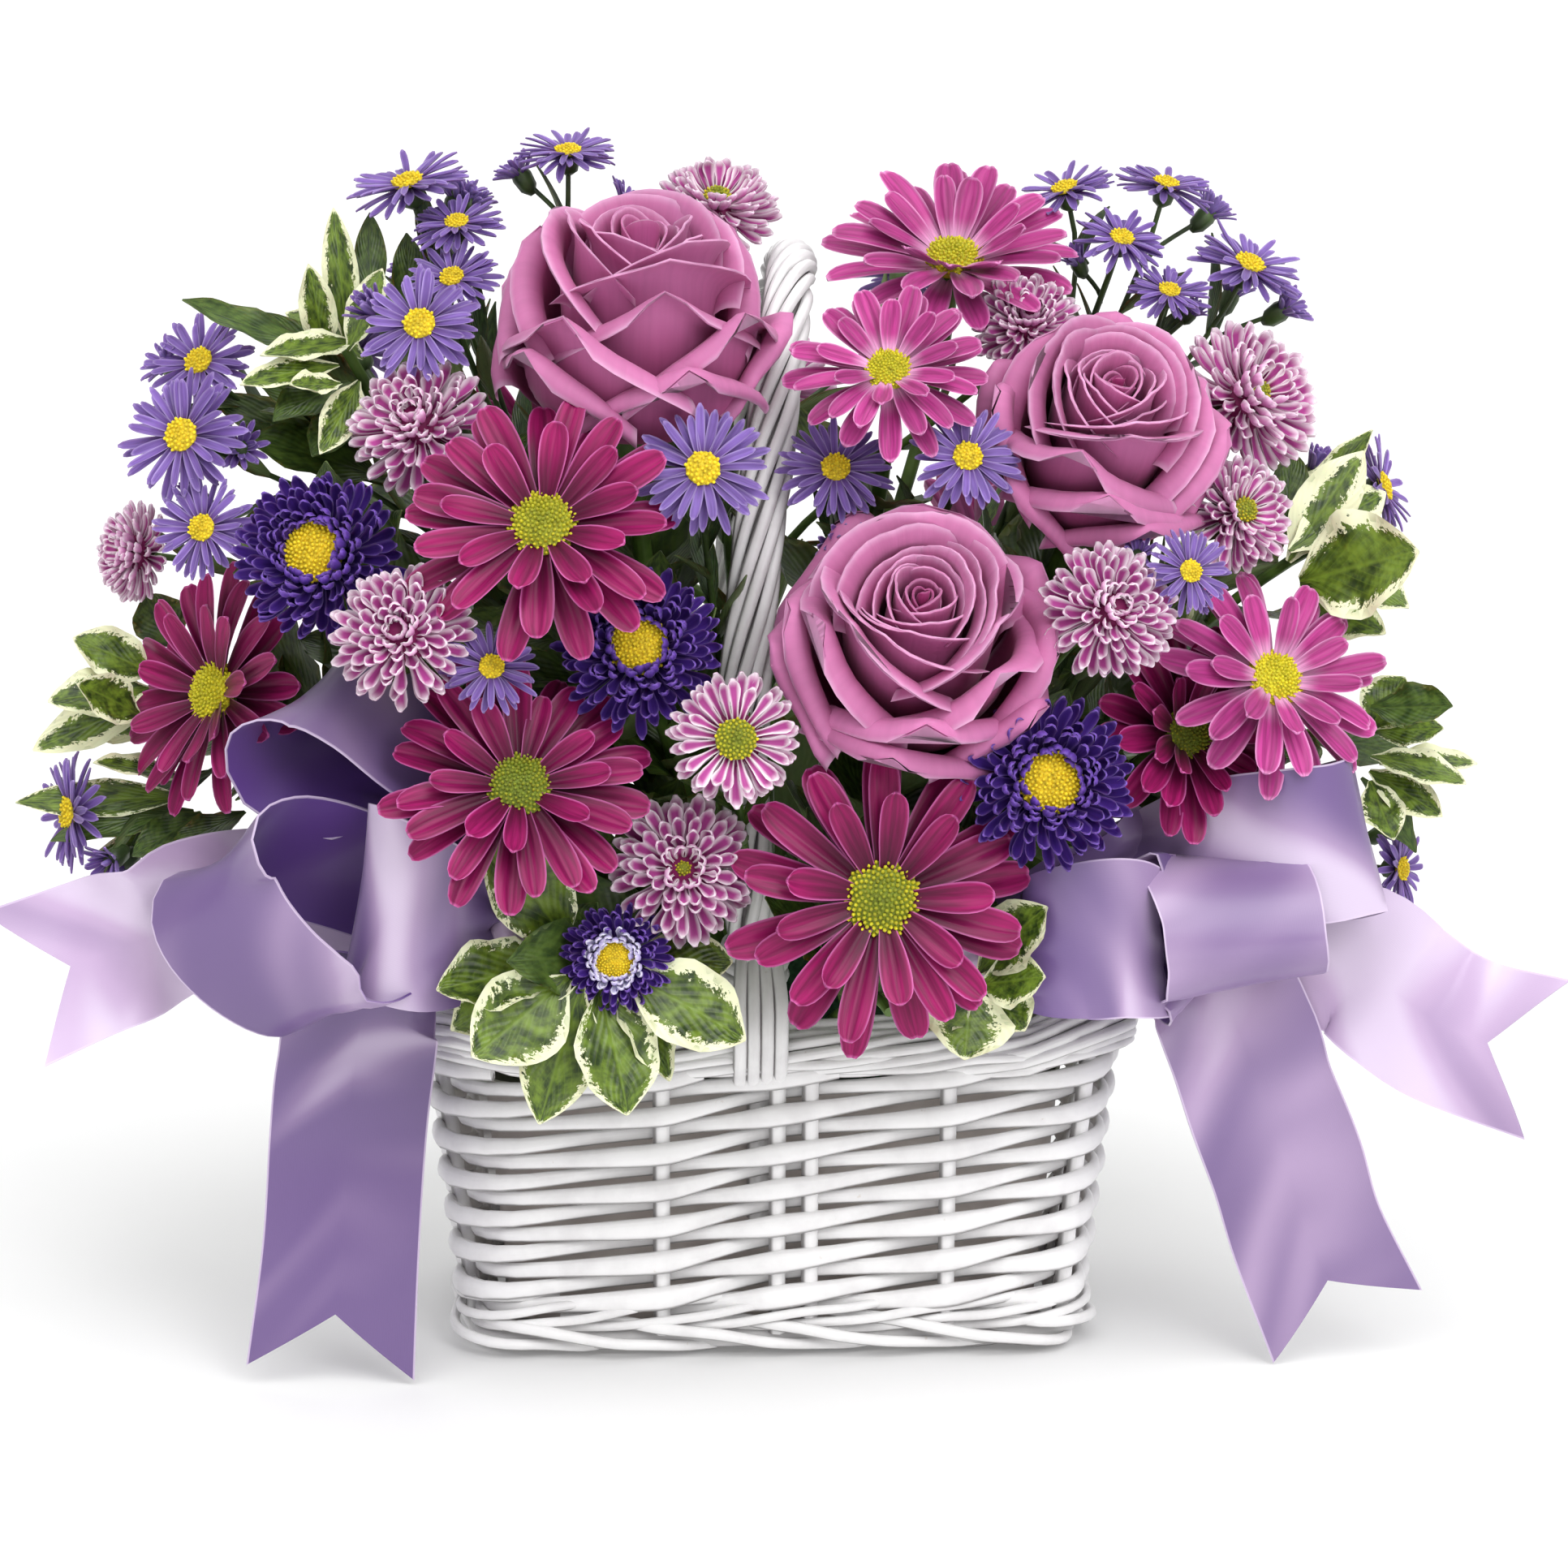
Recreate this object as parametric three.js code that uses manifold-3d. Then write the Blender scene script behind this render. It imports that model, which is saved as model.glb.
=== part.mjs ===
// A flower basket arrangement: a white willow basket with an over-handle, a liner and a block of wet foam,
// and roses, daisy chrysanthemums, china asters, cushion chrysanthemums, small lilac asters, variegated
// leaves and two satin bows, whose stems and picks stand in plain holes in the foam.
// Millimetres, +Z up. The origin is the centre of the basket's underside, and -Y is the front.
import * as THREE from "three";
import { mergeVertices } from "three/addons/utils/BufferGeometryUtils.js";
import Module from "manifold-3d";

const wasm = await Module();
wasm.setup();
const { Manifold } = wasm;

// ---------------------------------------------------------------- driving dimensions

const GAP = 0.35; // clearance that every two touching pieces keep
const TEST_GAP = 0.3; // what the clearance test asks for, a little under GAP
const TAU = 2 * Math.PI;

const BASKET = {
  halfWidth: 75, // at the foot, to the middle of the wall
  halfDepth: 43.5,
  cornerRadius: 13,
  flare: 7.5, // how far the wall leans out over its height
  wallLow: 13.6,
  wallHigh: 75.6,
  wallHalf: 2.6, // half the wall's thickness between the weavers
  weavers: 12, // rows of willow
  stakesWide: 4, // spaces between stakes along the front
  stakesDeep: 3,
  bulge: 2, // how far a weaver stands out where it passes a stake
  groove: 0.6,
};
const FLOOR = { thickness: 4, inset: 6.8 };
const FOOT = { middle: 6.8, wide: 6.4, slim: 5.4, steps: 34, turns: 9 };
const RIM = { middle: 81.6, wide: 6, slim: 5, steps: 36, turns: 9, lift: 5 };
const HANDLE = {
  top: 266, // middle of the rod at its highest point
  halfSpan: 50,
  lean: 8, // the arch leans to the right at its top
  footX: -4,
  radius: 5.6,
  ridge: 1.1, // how far the wound strands stand out
  strands: 3,
  twist: 5, // turns over the arch
  steps: 23,
};
const LINER = { thickness: 1.2, wallInset: 3.2, footInset: 8.2, depthInset: 11, low: 4.4, high: 68 };
const FOAM = { halfWidth: 62.5, halfDepth: 28.5, radius: 14, low: 5.9, high: 98 };
const HUB = new THREE.Vector3(0, 0, 66); // the point in the foam that every stem aims at
const STEM_DEPTH = 15; // how far a stem stands in the foam

// ---------------------------------------------------------------- colours

const finish = (color, roughness = 0.7) =>
  new THREE.MeshStandardMaterial({ color, roughness, metalness: 0 });
const WILLOW = () => finish(0xf1efee, 0.5);
const LINER_FILM = () => finish(0xb9b2a6, 0.4);
const WET_FOAM = () => finish(0x2f5a3a, 0.95);
const SATIN = () => finish(0x9273bd, 0.35);
const ROSE = () => finish(0xc06aa8, 0.6);
const MAGENTA = () => finish(0xb02a7c, 0.55);
const DEEP_VIOLET = () => finish(0x40248f, 0.6);
const SUN_YELLOW = () => finish(0xd9c21f, 0.8);
const LIME_EYE = () => finish(0x9aa52c, 0.8);
const CUSHION_PINK = () => finish(0xd88fc2, 0.6);
const LILAC = () => finish(0x7d6fc9, 0.6);
const STALK = () => finish(0x4f6f2c, 0.65);
const LEAF = () => finish(0x5d8a35, 0.5);

// ---------------------------------------------------------------- plain helpers

/** A repeatable random number from 0 to 1, from a seed (mulberry32). */
function dice(seed) {
  let state = seed >>> 0;
  return () => {
    state = (state + 0x6d2b79f5) >>> 0;
    let t = Math.imul(state ^ (state >>> 15), 1 | state);
    t = (t + Math.imul(t ^ (t >>> 7), 61 | t)) ^ t;
    return ((t ^ (t >>> 14)) >>> 0) / 4294967296;
  };
}

const vec = (x, y, z) => new THREE.Vector3(x, y, z);
const blend = (a, b, share) => a.clone().lerp(b, share);
const degrees = THREE.MathUtils.degToRad;

/** A heap of triangles, each three points, that becomes one closed geometry. */
class Faces {
  constructor() {
    this.corners = [];
  }
  add(a, b, c) {
    this.corners.push(a, b, c);
  }
  /** Walls from ring a to ring b. Both faces of a thin blade are split the same way. */
  wall(a, b) {
    const n = a.length;
    for (let i = 0; i < n; i++) {
      const j = (i + 1) % n;
      if (n === 4 && i === 2) {
        this.add(a[i], a[j], b[i]);
        this.add(a[j], b[j], b[i]);
      } else {
        this.add(a[i], a[j], b[j]);
        this.add(a[i], b[j], b[i]);
      }
    }
  }
  /** A flat or domed end: a fan over the ring, or a cone to a given peak. */
  cap(ring, peak) {
    for (let i = peak ? 0 : 1; i < ring.length - (peak ? 0 : 1); i++) {
      this.add(peak || ring[0], ring[i], ring[(i + 1) % ring.length]);
    }
  }
  geometry() {
    const position = this.corners.flatMap((p) => [p.x, p.y, p.z]);
    const loose = new THREE.BufferGeometry();
    loose.setAttribute("position", new THREE.Float32BufferAttribute(position, 3));
    return loose;
  }
}

/** A three.js geometry as a manifold-3d solid facing out. */
function solidOf(geometry) {
  const bare = new THREE.BufferGeometry();
  const flat = geometry.index ? geometry.toNonIndexed() : geometry;
  bare.setAttribute("position", flat.getAttribute("position"));
  const merged = mergeVertices(bare, 1e-3);
  const whole = [];
  for (let i = 0; i < merged.index.count; i += 3) {
    const [a, b, c] = [0, 1, 2].map((k) => merged.index.getX(i + k));
    if (a !== b && b !== c && c !== a) whole.push([a, b, c]);
  }
  const vertProperties = new Float32Array(merged.attributes.position.array);
  const build = (faces) =>
    new Manifold(new wasm.Mesh({ numProp: 3, vertProperties, triVerts: Uint32Array.from(faces.flat()) }));
  const solid = build(whole);
  return solid.volume() > 0 ? solid : build(whole.map(([a, b, c]) => [a, c, b]));
}

/** A manifold-3d solid back as a three.js geometry. */
function geometryOf(solid) {
  const made = solid.getMesh();
  const geometry = new THREE.BufferGeometry();
  geometry.setAttribute("position", new THREE.BufferAttribute(made.vertProperties.slice(), 3));
  geometry.setIndex(new THREE.BufferAttribute(made.triVerts.slice(), 1));
  geometry.computeVertexNormals();
  return geometry;
}

/** A closed body from rings of points, capped at both ends or closed on itself. */
function skin(rings, closed = false) {
  const faces = new Faces();
  for (let k = 0; k + 1 < rings.length; k++) faces.wall(rings[k], rings[k + 1]);
  if (closed) {
    faces.wall(rings[rings.length - 1], rings[0]);
  } else {
    faces.cap([...rings[0]].reverse());
    faces.cap(rings[rings.length - 1]);
  }
  return solidOf(faces.geometry());
}

/** The largest body of a solid: a scrap that a cut left loose is dropped. */
function mainBody(solid) {
  const bodies = solid.decompose();
  return bodies.reduce((best, body) => (body.volume() > best.volume() ? body : best));
}

// ---------------------------------------------------------------- the scene and its clearances

const arrangement = new THREE.Group();
arrangement.name = "flower_basket_arrangement";
const placed = []; // every finished solid with its box, in the part's frame

const boxOf = (solid) => {
  const { min, max } = solid.boundingBox();
  return new THREE.Box3(vec(...min), vec(...max));
};

/** Whether a solid keeps its clearance to every placed solid, apart from those of the names left out. */
function isClear(solid, except = []) {
  const near = boxOf(solid).expandByScalar(GAP);
  return placed.every(
    (other) =>
      except.includes(other.name) ||
      !near.intersectsBox(other.box) ||
      solid.minGap(other.solid, GAP) >= TEST_GAP,
  );
}

/** The first candidate shape that is clear, or the last one. */
function firstClear(candidates, make, except) {
  let made;
  for (const candidate of candidates) {
    made = make(candidate);
    if (isClear(made.solid, except)) break;
  }
  return made;
}

/** Adds a named mesh. The geometry is in the frame of `at`, a matrix. */
function place(name, solid, material, at = new THREE.Matrix4()) {
  const mesh = new THREE.Mesh(geometryOf(solid), material);
  mesh.name = name;
  mesh.applyMatrix4(at);
  arrangement.add(mesh);
  const world = solid.transform(at.toArray());
  placed.push({ name, solid: world, box: boxOf(world) });
  return mesh;
}

/** The matrix that puts a bloom's own +Z along `facing` and its origin at `at`. */
function seat(at, facing, spin = 0) {
  const turn = new THREE.Quaternion().setFromUnitVectors(vec(0, 0, 1), facing.clone().normalize());
  turn.multiply(new THREE.Quaternion().setFromAxisAngle(vec(0, 0, 1), spin));
  return new THREE.Matrix4().compose(at, turn, vec(1, 1, 1));
}

// ---------------------------------------------------------------- basket

/** Points and outward directions round the basket's plan, starting at a front corner stake. */
function planPoints(count) {
  const { halfWidth: w, halfDepth: d, cornerRadius: r } = BASKET;
  const path = new THREE.Path();
  path.moveTo(-w + r, -d);
  path.lineTo(w - r, -d);
  path.absarc(w - r, -d + r, r, -TAU / 4, 0);
  path.lineTo(w, d - r);
  path.absarc(w - r, d - r, r, 0, TAU / 4);
  path.lineTo(-w + r, d);
  path.absarc(-w + r, d - r, r, TAU / 4, TAU / 2);
  path.lineTo(-w, -d + r);
  path.absarc(-w + r, -d + r, r, TAU / 2, (TAU * 3) / 4);
  return Array.from({ length: count }, (_, i) => {
    const at = path.getPointAt(i / count);
    const along = path.getTangentAt(i / count);
    return { at, out: new THREE.Vector2(along.y, -along.x) };
  });
}

/** How far the wall's middle stands out of the foot's plan at a height. */
const leanAt = (z) => (BASKET.flare * (z - BASKET.wallLow)) / (BASKET.wallHigh - BASKET.wallLow);

const planRing = (points, z, offset) =>
  points.map(({ at, out }, i) => {
    const reach = typeof offset === "function" ? offset(i) : offset;
    return vec(at.x + out.x * reach, at.y + out.y * reach, z);
  });

/** The wall: weavers pass in front of one stake and behind the next, as relief on a closed wall. */
function weaveSolid() {
  const stakes = 2 * (BASKET.stakesWide + BASKET.stakesDeep);
  const plan = planPoints(stakes * 2);
  const rise = (BASKET.wallHigh - BASKET.wallLow) / BASKET.weavers;
  const inner = (z) => planRing(plan, z, leanAt(z) - BASKET.wallHalf);
  const rings = [inner(BASKET.wallLow)];
  rings.push(planRing(plan, BASKET.wallLow, BASKET.wallHalf - BASKET.groove));
  for (let row = 0; row < BASKET.weavers; row++) {
    const middle = BASKET.wallLow + (row + 0.5) * rise;
    const swing = (i) => (i % 2 ? 0 : Math.cos(Math.PI * (i / 2 + row)));
    rings.push(planRing(plan, middle, (i) => leanAt(middle) + BASKET.wallHalf + BASKET.bulge * swing(i)));
  }
  const top = BASKET.wallHigh;
  rings.push(planRing(plan, top, leanAt(top) + BASKET.wallHalf - BASKET.groove));
  rings.push(inner(top));
  return skin(rings, true);
}

/** A two-strand rope round the basket's plan. */
function ropeRound({ middle, wide, slim, steps, turns, lift = 0 }, reach) {
  const plan = planPoints(steps);
  const rings = plan.map(({ at, out }, i) => {
    const corner = Math.abs(out.x * out.y) * 2; // 1 at the middle of a corner
    const turn = (i / steps) * Math.PI * turns;
    return Array.from({ length: 4 }, (_, k) => {
      const angle = (k / 4) * TAU;
      const u = wide * Math.cos(angle);
      const v = slim * Math.sin(angle);
      const side = u * Math.cos(turn) - v * Math.sin(turn) + reach + corner * lift * 0.6;
      const up = u * Math.sin(turn) + v * Math.cos(turn) + middle + corner * lift;
      return vec(at.x + out.x * side, at.y + out.y * side, Math.max(up, 0));
    });
  });
  return skin(rings, true);
}

/** A flat slab with the plan's rounded outline. */
function slab(halfWidth, halfDepth, radius, low, high) {
  const shape = new THREE.Shape();
  shape.moveTo(-halfWidth + radius, -halfDepth);
  shape.lineTo(halfWidth - radius, -halfDepth);
  shape.absarc(halfWidth - radius, -halfDepth + radius, radius, -TAU / 4, 0);
  shape.lineTo(halfWidth, halfDepth - radius);
  shape.absarc(halfWidth - radius, halfDepth - radius, radius, 0, TAU / 4);
  shape.lineTo(-halfWidth + radius, halfDepth);
  shape.absarc(-halfWidth + radius, halfDepth - radius, radius, TAU / 4, TAU / 2);
  shape.lineTo(-halfWidth, -halfDepth + radius);
  shape.absarc(-halfWidth + radius, -halfDepth + radius, radius, TAU / 2, (TAU * 3) / 4);
  const body = new THREE.ExtrudeGeometry(shape, {
    depth: high - low,
    bevelEnabled: false,
    curveSegments: 2,
  });
  body.translate(0, 0, low);
  return solidOf(body);
}

/** The handle's middle line: both legs rise inside the rim and meet over the flowers. */
function handleLine() {
  const { top, halfSpan, lean, footX } = HANDLE;
  const side = (y, z, x) => vec(x, y, z);
  const low = halfSpan - 14;
  return new THREE.CatmullRomCurve3([
    side(-low, 82, footX),
    side(-halfSpan + 3, 112, footX - 2),
    side(-halfSpan - 2, 155, footX - 4),
    side(-halfSpan, 198, footX - 1),
    side(-halfSpan * 0.78, 236, footX + lean * 0.5),
    side(-halfSpan * 0.4, 260, footX + lean),
    side(0, top, footX + lean * 1.2),
    side(halfSpan * 0.4, 260, footX + lean),
    side(halfSpan * 0.78, 236, footX + lean * 0.5),
    side(halfSpan, 198, footX - 1),
    side(halfSpan + 2, 155, footX - 4),
    side(halfSpan - 3, 112, footX - 2),
    side(low, 82, footX),
  ]);
}

/** A tube through stations, each a point, a radius and the direction of the tube there. */
function tube(stations, sides = 6) {
  let across = vec(1, 0, 0);
  const rings = stations.map(({ at, radius, along, swell }) => {
    const forward = along.clone().normalize();
    across = across.clone().addScaledVector(forward, -across.dot(forward));
    if (across.lengthSq() < 1e-6) across = vec(0, 1, 0).addScaledVector(forward, -forward.y);
    across.normalize();
    const third = forward.clone().cross(across);
    return Array.from({ length: sides }, (_, k) => {
      const angle = (k / sides) * TAU;
      const reach = swell ? swell(angle, radius) : radius;
      return at
        .clone()
        .addScaledVector(across, reach * Math.cos(angle))
        .addScaledVector(third, reach * Math.sin(angle));
    });
  });
  return skin(rings);
}

/** Stations along a curve, all of one radius. */
const along = (curve, steps, radius) =>
  curve.getSpacedPoints(steps).map((at, i) => ({ at, radius, along: curve.getTangentAt(i / steps) }));

function handleSolid() {
  const { radius, ridge, strands, twist, steps } = HANDLE;
  const stations = along(handleLine(), steps, radius).map((station, i) => ({
    ...station,
    swell: (angle, r) => r + ridge * Math.cos(strands * angle + (i / steps) * twist * TAU),
  }));
  const parts = [tube(stations, 6)];
  for (const front of [-1, 1]) {
    const y = (z) => front * (BASKET.halfDepth + leanAt(z) - BASKET.wallHalf - GAP - 3.9);
    const leg = [34, 72, 90].map((z) => vec(HANDLE.footX, z > 80 ? front * 38 : y(z), z));
    parts.push(tube(along(new THREE.CatmullRomCurve3(leg), 2, 2.9), 4));
    for (const x of [-3.6, 3.6]) {
      const lash = new THREE.CatmullRomCurve3([
        vec(HANDLE.footX + x * 0.5, front * 43, 102),
        vec(HANDLE.footX + x * 0.9, front * 57, 96),
        vec(HANDLE.footX + x, front * 62.2, 84),
        vec(HANDLE.footX + x, front * 61, 74),
        vec(HANDLE.footX + x, front * 58, 62),
      ]);
      parts.push(tube(along(lash, 4, 2.6), 4));
    }
  }
  return mainBody(Manifold.union(parts));
}

/** The liner: a plain open tray inside the weave. */
function linerSolid() {
  const { thickness, wallInset, footInset, depthInset, low, high } = LINER;
  const { halfWidth: w, halfDepth: d, cornerRadius: r } = BASKET;
  const ring = (z, inset) => {
    const wide = w - (z < high ? footInset : wallInset) + leanAt(z) - inset;
    const deep = d - depthInset + leanAt(z) - inset;
    const bend = r - 3;
    return [
      [wide - bend, -deep], [wide, -deep + bend], [wide, deep - bend], [wide - bend, deep],
      [-wide + bend, deep], [-wide, deep - bend], [-wide, -deep + bend], [-wide + bend, -deep],
    ].map(([x, y]) => vec(x, y, z));
  };
  const faces = new Faces();
  const rings = [ring(low, 0), ring(high, 0), ring(high, thickness), ring(low + thickness, thickness)];
  faces.cap([...rings[0]].reverse());
  for (let k = 0; k < 3; k++) faces.wall(rings[k], rings[k + 1]);
  faces.cap(rings[3]);
  return solidOf(faces.geometry());
}

// ---------------------------------------------------------------- what stands in the foam

const holes = []; // the holes that the stems stand in, cut from the foam at the end
const foamBox = new THREE.Box3(
  vec(-FOAM.halfWidth, -FOAM.halfDepth, FOAM.low),
  vec(FOAM.halfWidth, FOAM.halfDepth, FOAM.high),
);

/** Where a straight stem from a point enters the foam on its way to the hub. */
function entryOf(target, shift) {
  const aim = HUB.clone().add(shift);
  const toAim = new THREE.Ray(target, aim.clone().sub(target).normalize());
  return { entry: toAim.intersectBox(foamBox, vec(0, 0, 0)), inward: toAim.direction };
}

// ---------------------------------------------------------------- ribbon bows

// Each strip of a bow, as stations of [middle of the ribbon, the way its width runs, share of its width].
// A loop leaves the pinch and comes back to it, gathered at both ends; a tail ends in two points.
const BOWS = {
  bow_left: {
    pinch: [-62, -70, 115],
    loops: [
      [
        [[-69, -69, 140], [0, 0.7, 0.7], 0.6],
        [[-82, -73, 158], [0, 0.66, 0.74], 0.9],
        [[-96, -71, 170], [0.1, 0.9, 0.4]],
        [[-108, -66, 175], [0.12, 0.97, 0.17]],
        [[-120, -61, 166], [0.08, 1, 0]],
        [[-122, -58, 157], [0.07, 1, 0]],
        [[-114, -55, 146], [0.1, 1, 0]],
        [[-92, -56, 136], [0.15, 0.98, 0.1], 0.7],
      ],
      [
        [[-80, -72, 103], [-0.5, 0.73, -0.46], 0.6],
        [[-99, -77, 96], [-0.6, 0.6, -0.45], 0.9],
        [[-114, -81, 103], [-0.6, 0.52, -0.6]],
        [[-124, -84, 110], [-0.66, 0.42, -0.6]],
        [[-132, -83, 119], [-0.73, 0.33, -0.6]],
        [[-134, -78, 127], [-0.72, 0.3, -0.62]],
        [[-130, -71, 133], [-0.7, 0.3, -0.65]],
        [[-118, -63, 135], [-0.66, 0.36, -0.65]],
        [[-92, -60, 127], [-0.54, 0.5, -0.65], 0.6],
      ],
      [
        [[-70, -80, 121], [0.17, 0, 1], 0.5],
        [[-79, -87, 125], [0.16, -0.06, 1], 0.9],
        [[-91, -88, 130], [0.14, -0.1, 1], 1.1],
        [[-97, -81, 131], [0.18, -0.05, 1], 1.1],
        [[-90, -75, 127], [0.2, -0.05, 1], 0.9],
        [[-74, -71, 121], [0.2, 0, 1], 0.5],
      ],
    ],
    tails: [
      [
        [[-82, -57, 117], [0, 0.1, 1], 0.6],
        [[-106, -52, 117], [0, 0.15, 1], 0.9],
        [[-128, -51, 116], [0, 0.05, 1]],
        [[-142, -57, 115], [0, 0.05, 1]],
        [[-151, -57, 111], [0.05, -0.25, 1]],
        [[-165, -57, 106], [-0.1, 0.2, 1]],
        [[-183, -63, 100], [-0.2, 0.3, 0.95], 1.05],
      ],
      [
        [[-84, -66, 107], [0.7, 0, 0.5], 0.6],
        [[-98, -61, 95], [0.99, -0.1, 0.1], 0.95],
        [[-102, -59, 78], [1, -0.08, 0.05]],
        [[-104, -59, 61], [1, 0, 0]],
        [[-106, -62, 34], [1, 0.05, 0]],
        [[-109, -64, 3.4], [1, -0.05, 0.03], 1.08],
      ],
    ],
  },
  bow_right: {
    pinch: [48, -70, 110],
    loops: [
      [
        [[57, -84, 113], [0, 0, 1], 0.8],
        [[70, -90, 116], [-0.1, 0, 1]],
        [[82, -87, 116], [-0.14, 0, 1]],
        [[91, -78, 112], [-0.13, 0, 1], 0.9],
        [[84, -70, 111], [-0.1, 0, 1], 0.8],
        [[66, -67, 110], [0, 0, 1], 0.6],
      ],
      [
        [[66, -63, 116], [0.2, -0.1, 0.9], 0.5],
        [[88, -60, 126], [0.7, -0.1, 0.6], 0.8],
        [[101, -64, 131], [0.99, -0.1, 0.04]],
        [[105, -78, 131], [0.99, -0.1, 0.06]],
        [[108, -88, 125], [0.99, -0.1, 0.1]],
        [[109, -93, 116], [0.99, -0.1, 0.08]],
        [[110, -91, 106], [0.98, -0.1, 0.12]],
        [[109, -83, 98], [0.97, -0.1, 0.2]],
        [[104, -71, 93], [0.98, -0.06, 0.2], 0.9],
        [[88, -66, 97], [0.9, 0, 0.4], 0.7],
      ],
      [
        [[66, -62, 117], [0, 0.1, 1], 0.6],
        [[86, -62, 124], [0, 0.1, 1], 0.8],
        [[104, -70, 131], [0, 0.06, 1]],
        [[121, -80, 136], [-0.08, 0.05, 1]],
        [[132, -79, 137], [-0.1, 0.05, 1]],
        [[141, -69, 137], [-0.24, 0.05, 0.97]],
        [[133, -58, 132], [-0.12, 0.05, 1]],
        [[112, -54, 126], [-0.07, 0.06, 1], 0.8],
        [[84, -56, 119], [0, 0.1, 1], 0.5],
      ],
    ],
    tails: [
      [
        [[88, -56, 112], [0, 0, 1], 0.6],
        [[120, -58, 107], [0.25, 0.07, 0.97], 0.9],
        [[139, -61, 104], [0.31, 0.1, 0.95]],
        [[149, -66, 97], [0.4, 0.28, 0.85]],
        [[158, -70, 91], [0.36, 0.24, 0.9]],
        [[169, -70, 86], [0.3, 0.2, 0.93]],
        [[184, -77, 83], [0.24, 0.25, 0.93], 1.05],
      ],
      [
        [[80, -66, 100], [0.6, 0, 0.6], 0.6],
        [[107, -65, 92], [0.99, 0, 0.14], 0.9],
        [[115, -67, 81], [0.97, 0.2, 0.11]],
        [[119, -67, 69], [0.96, 0.25, 0.03]],
        [[124, -64, 53], [0.97, 0.2, 0.08]],
        [[130, -59, 34], [0.97, 0.16, 0.15]],
        [[141, -54, 9], [0.95, 0.1, 0.3], 1.08],
      ],
    ],
  },
};
const RIBBON = {
  width: 38,
  thickness: 0.8,
  pinched: 0.24, // share of the width that is left where it is gathered
  stacking: 0.7,
  loopSteps: 9,
  tailSteps: 6,
  notch: 15,
  knot: 7, // radius of the gathered middle
  pick: 1.6, // radius of the wooden pick that holds the bow in the foam
};

/** A ribbon through its stations: its edges follow the widths, and a tail is cut to two points. */
function ribbonSolid(stations, steps, notch = 0) {
  const middle = new THREE.CatmullRomCurve3(stations.map(([at]) => vec(...at)));
  const width = new THREE.CatmullRomCurve3(stations.map(([, wide]) => vec(...wide).normalize()));
  const share = new THREE.CatmullRomCurve3(stations.map(([, , part = 1]) => vec(part, 0, 0)));
  const ring = (t) => {
    const half = width.getPoint(t).normalize().multiplyScalar((RIBBON.width * share.getPoint(t).x) / 2);
    const normal = middle.getTangent(t).cross(half).normalize().multiplyScalar(RIBBON.thickness / 2);
    const corner = (side, up) => middle.getPoint(t).addScaledVector(half, side).addScaledVector(normal, up);
    return [corner(-1, -1), corner(1, -1), corner(1, 1), corner(-1, 1)];
  };
  const uncut = 1 - notch / middle.getLength();
  const rings = Array.from({ length: steps + 1 }, (_, i) => ring((uncut * i) / steps));
  const faces = new Faces();
  for (let k = 0; k + 1 < steps; k++) faces.wall(rings[k], rings[k + 1]);
  faces.cap([...rings[0]].reverse());
  const [[e, f, g, h], [a, b, c, d]] = rings.slice(-2);
  if (notch) {
    const [low, high] = [blend(a, b, 0.5), blend(d, c, 0.5)];
    const [left, right, rightTop, leftTop] = ring(1);
    for (const [start, end, from, middleEnd, to] of [[e, f, a, low, b], [g, h, c, high, d]]) {
      faces.add(start, end, middleEnd);
      faces.add(start, middleEnd, from);
      faces.add(end, to, middleEnd);
    }
    faces.add(f, g, c);
    faces.add(f, c, b);
    faces.add(h, e, a);
    faces.add(h, a, d);
    faces.wall([a, low, high, d], [left, left, leftTop, leftTop]);
    faces.wall([low, b, c, high], [right, right, rightTop, rightTop]);
  } else {
    faces.wall([e, f, g, h], [a, b, c, d]);
    faces.cap([a, b, c, d]);
  }
  return solidOf(faces.geometry());
}

/** One bow: its loops and tails meet at the pinch, which is wired to a pick that stands in the foam. */
function bowSolid({ pinch, loops, tails }) {
  const at = vec(...pinch);
  const { entry, inward } = entryOf(at, vec(0, 0, 0));
  const gathered = ([middle, way]) => {
    const behind = (middle[1] - pinch[1]) * RIBBON.stacking; // strips lie behind one another in the knot
    return [at.clone().addScaledVector(inward, behind).toArray(), way, RIBBON.pinched];
  };
  const strips = [
    ...loops.map((loop) =>
      ribbonSolid([gathered(loop[0]), ...loop, gathered(loop[loop.length - 1])], RIBBON.loopSteps),
    ),
    ...tails.map((tail) => ribbonSolid([gathered(tail[0]), ...tail], RIBBON.tailSteps, RIBBON.notch)),
  ];
  const pick = (from, to, radius) =>
    tube([{ at: from, radius, along: inward }, { at: to, radius, along: inward }], 4);
  const [front, back] = [-9, 12].map((reach) => at.clone().addScaledVector(inward, reach));
  const knot = pick(front, back, RIBBON.knot);
  const deep = entry.clone().addScaledVector(inward, STEM_DEPTH);
  const mouth = entry.clone().addScaledVector(inward, -4);
  const bottom = deep.clone().addScaledVector(inward, GAP);
  holes.push(pick(mouth, bottom, (RIBBON.pick + GAP) * Math.SQRT2));
  return mainBody(Manifold.union([...strips, knot, pick(at, deep, RIBBON.pick)]));
}

// ---------------------------------------------------------------- whorls of blades

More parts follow.
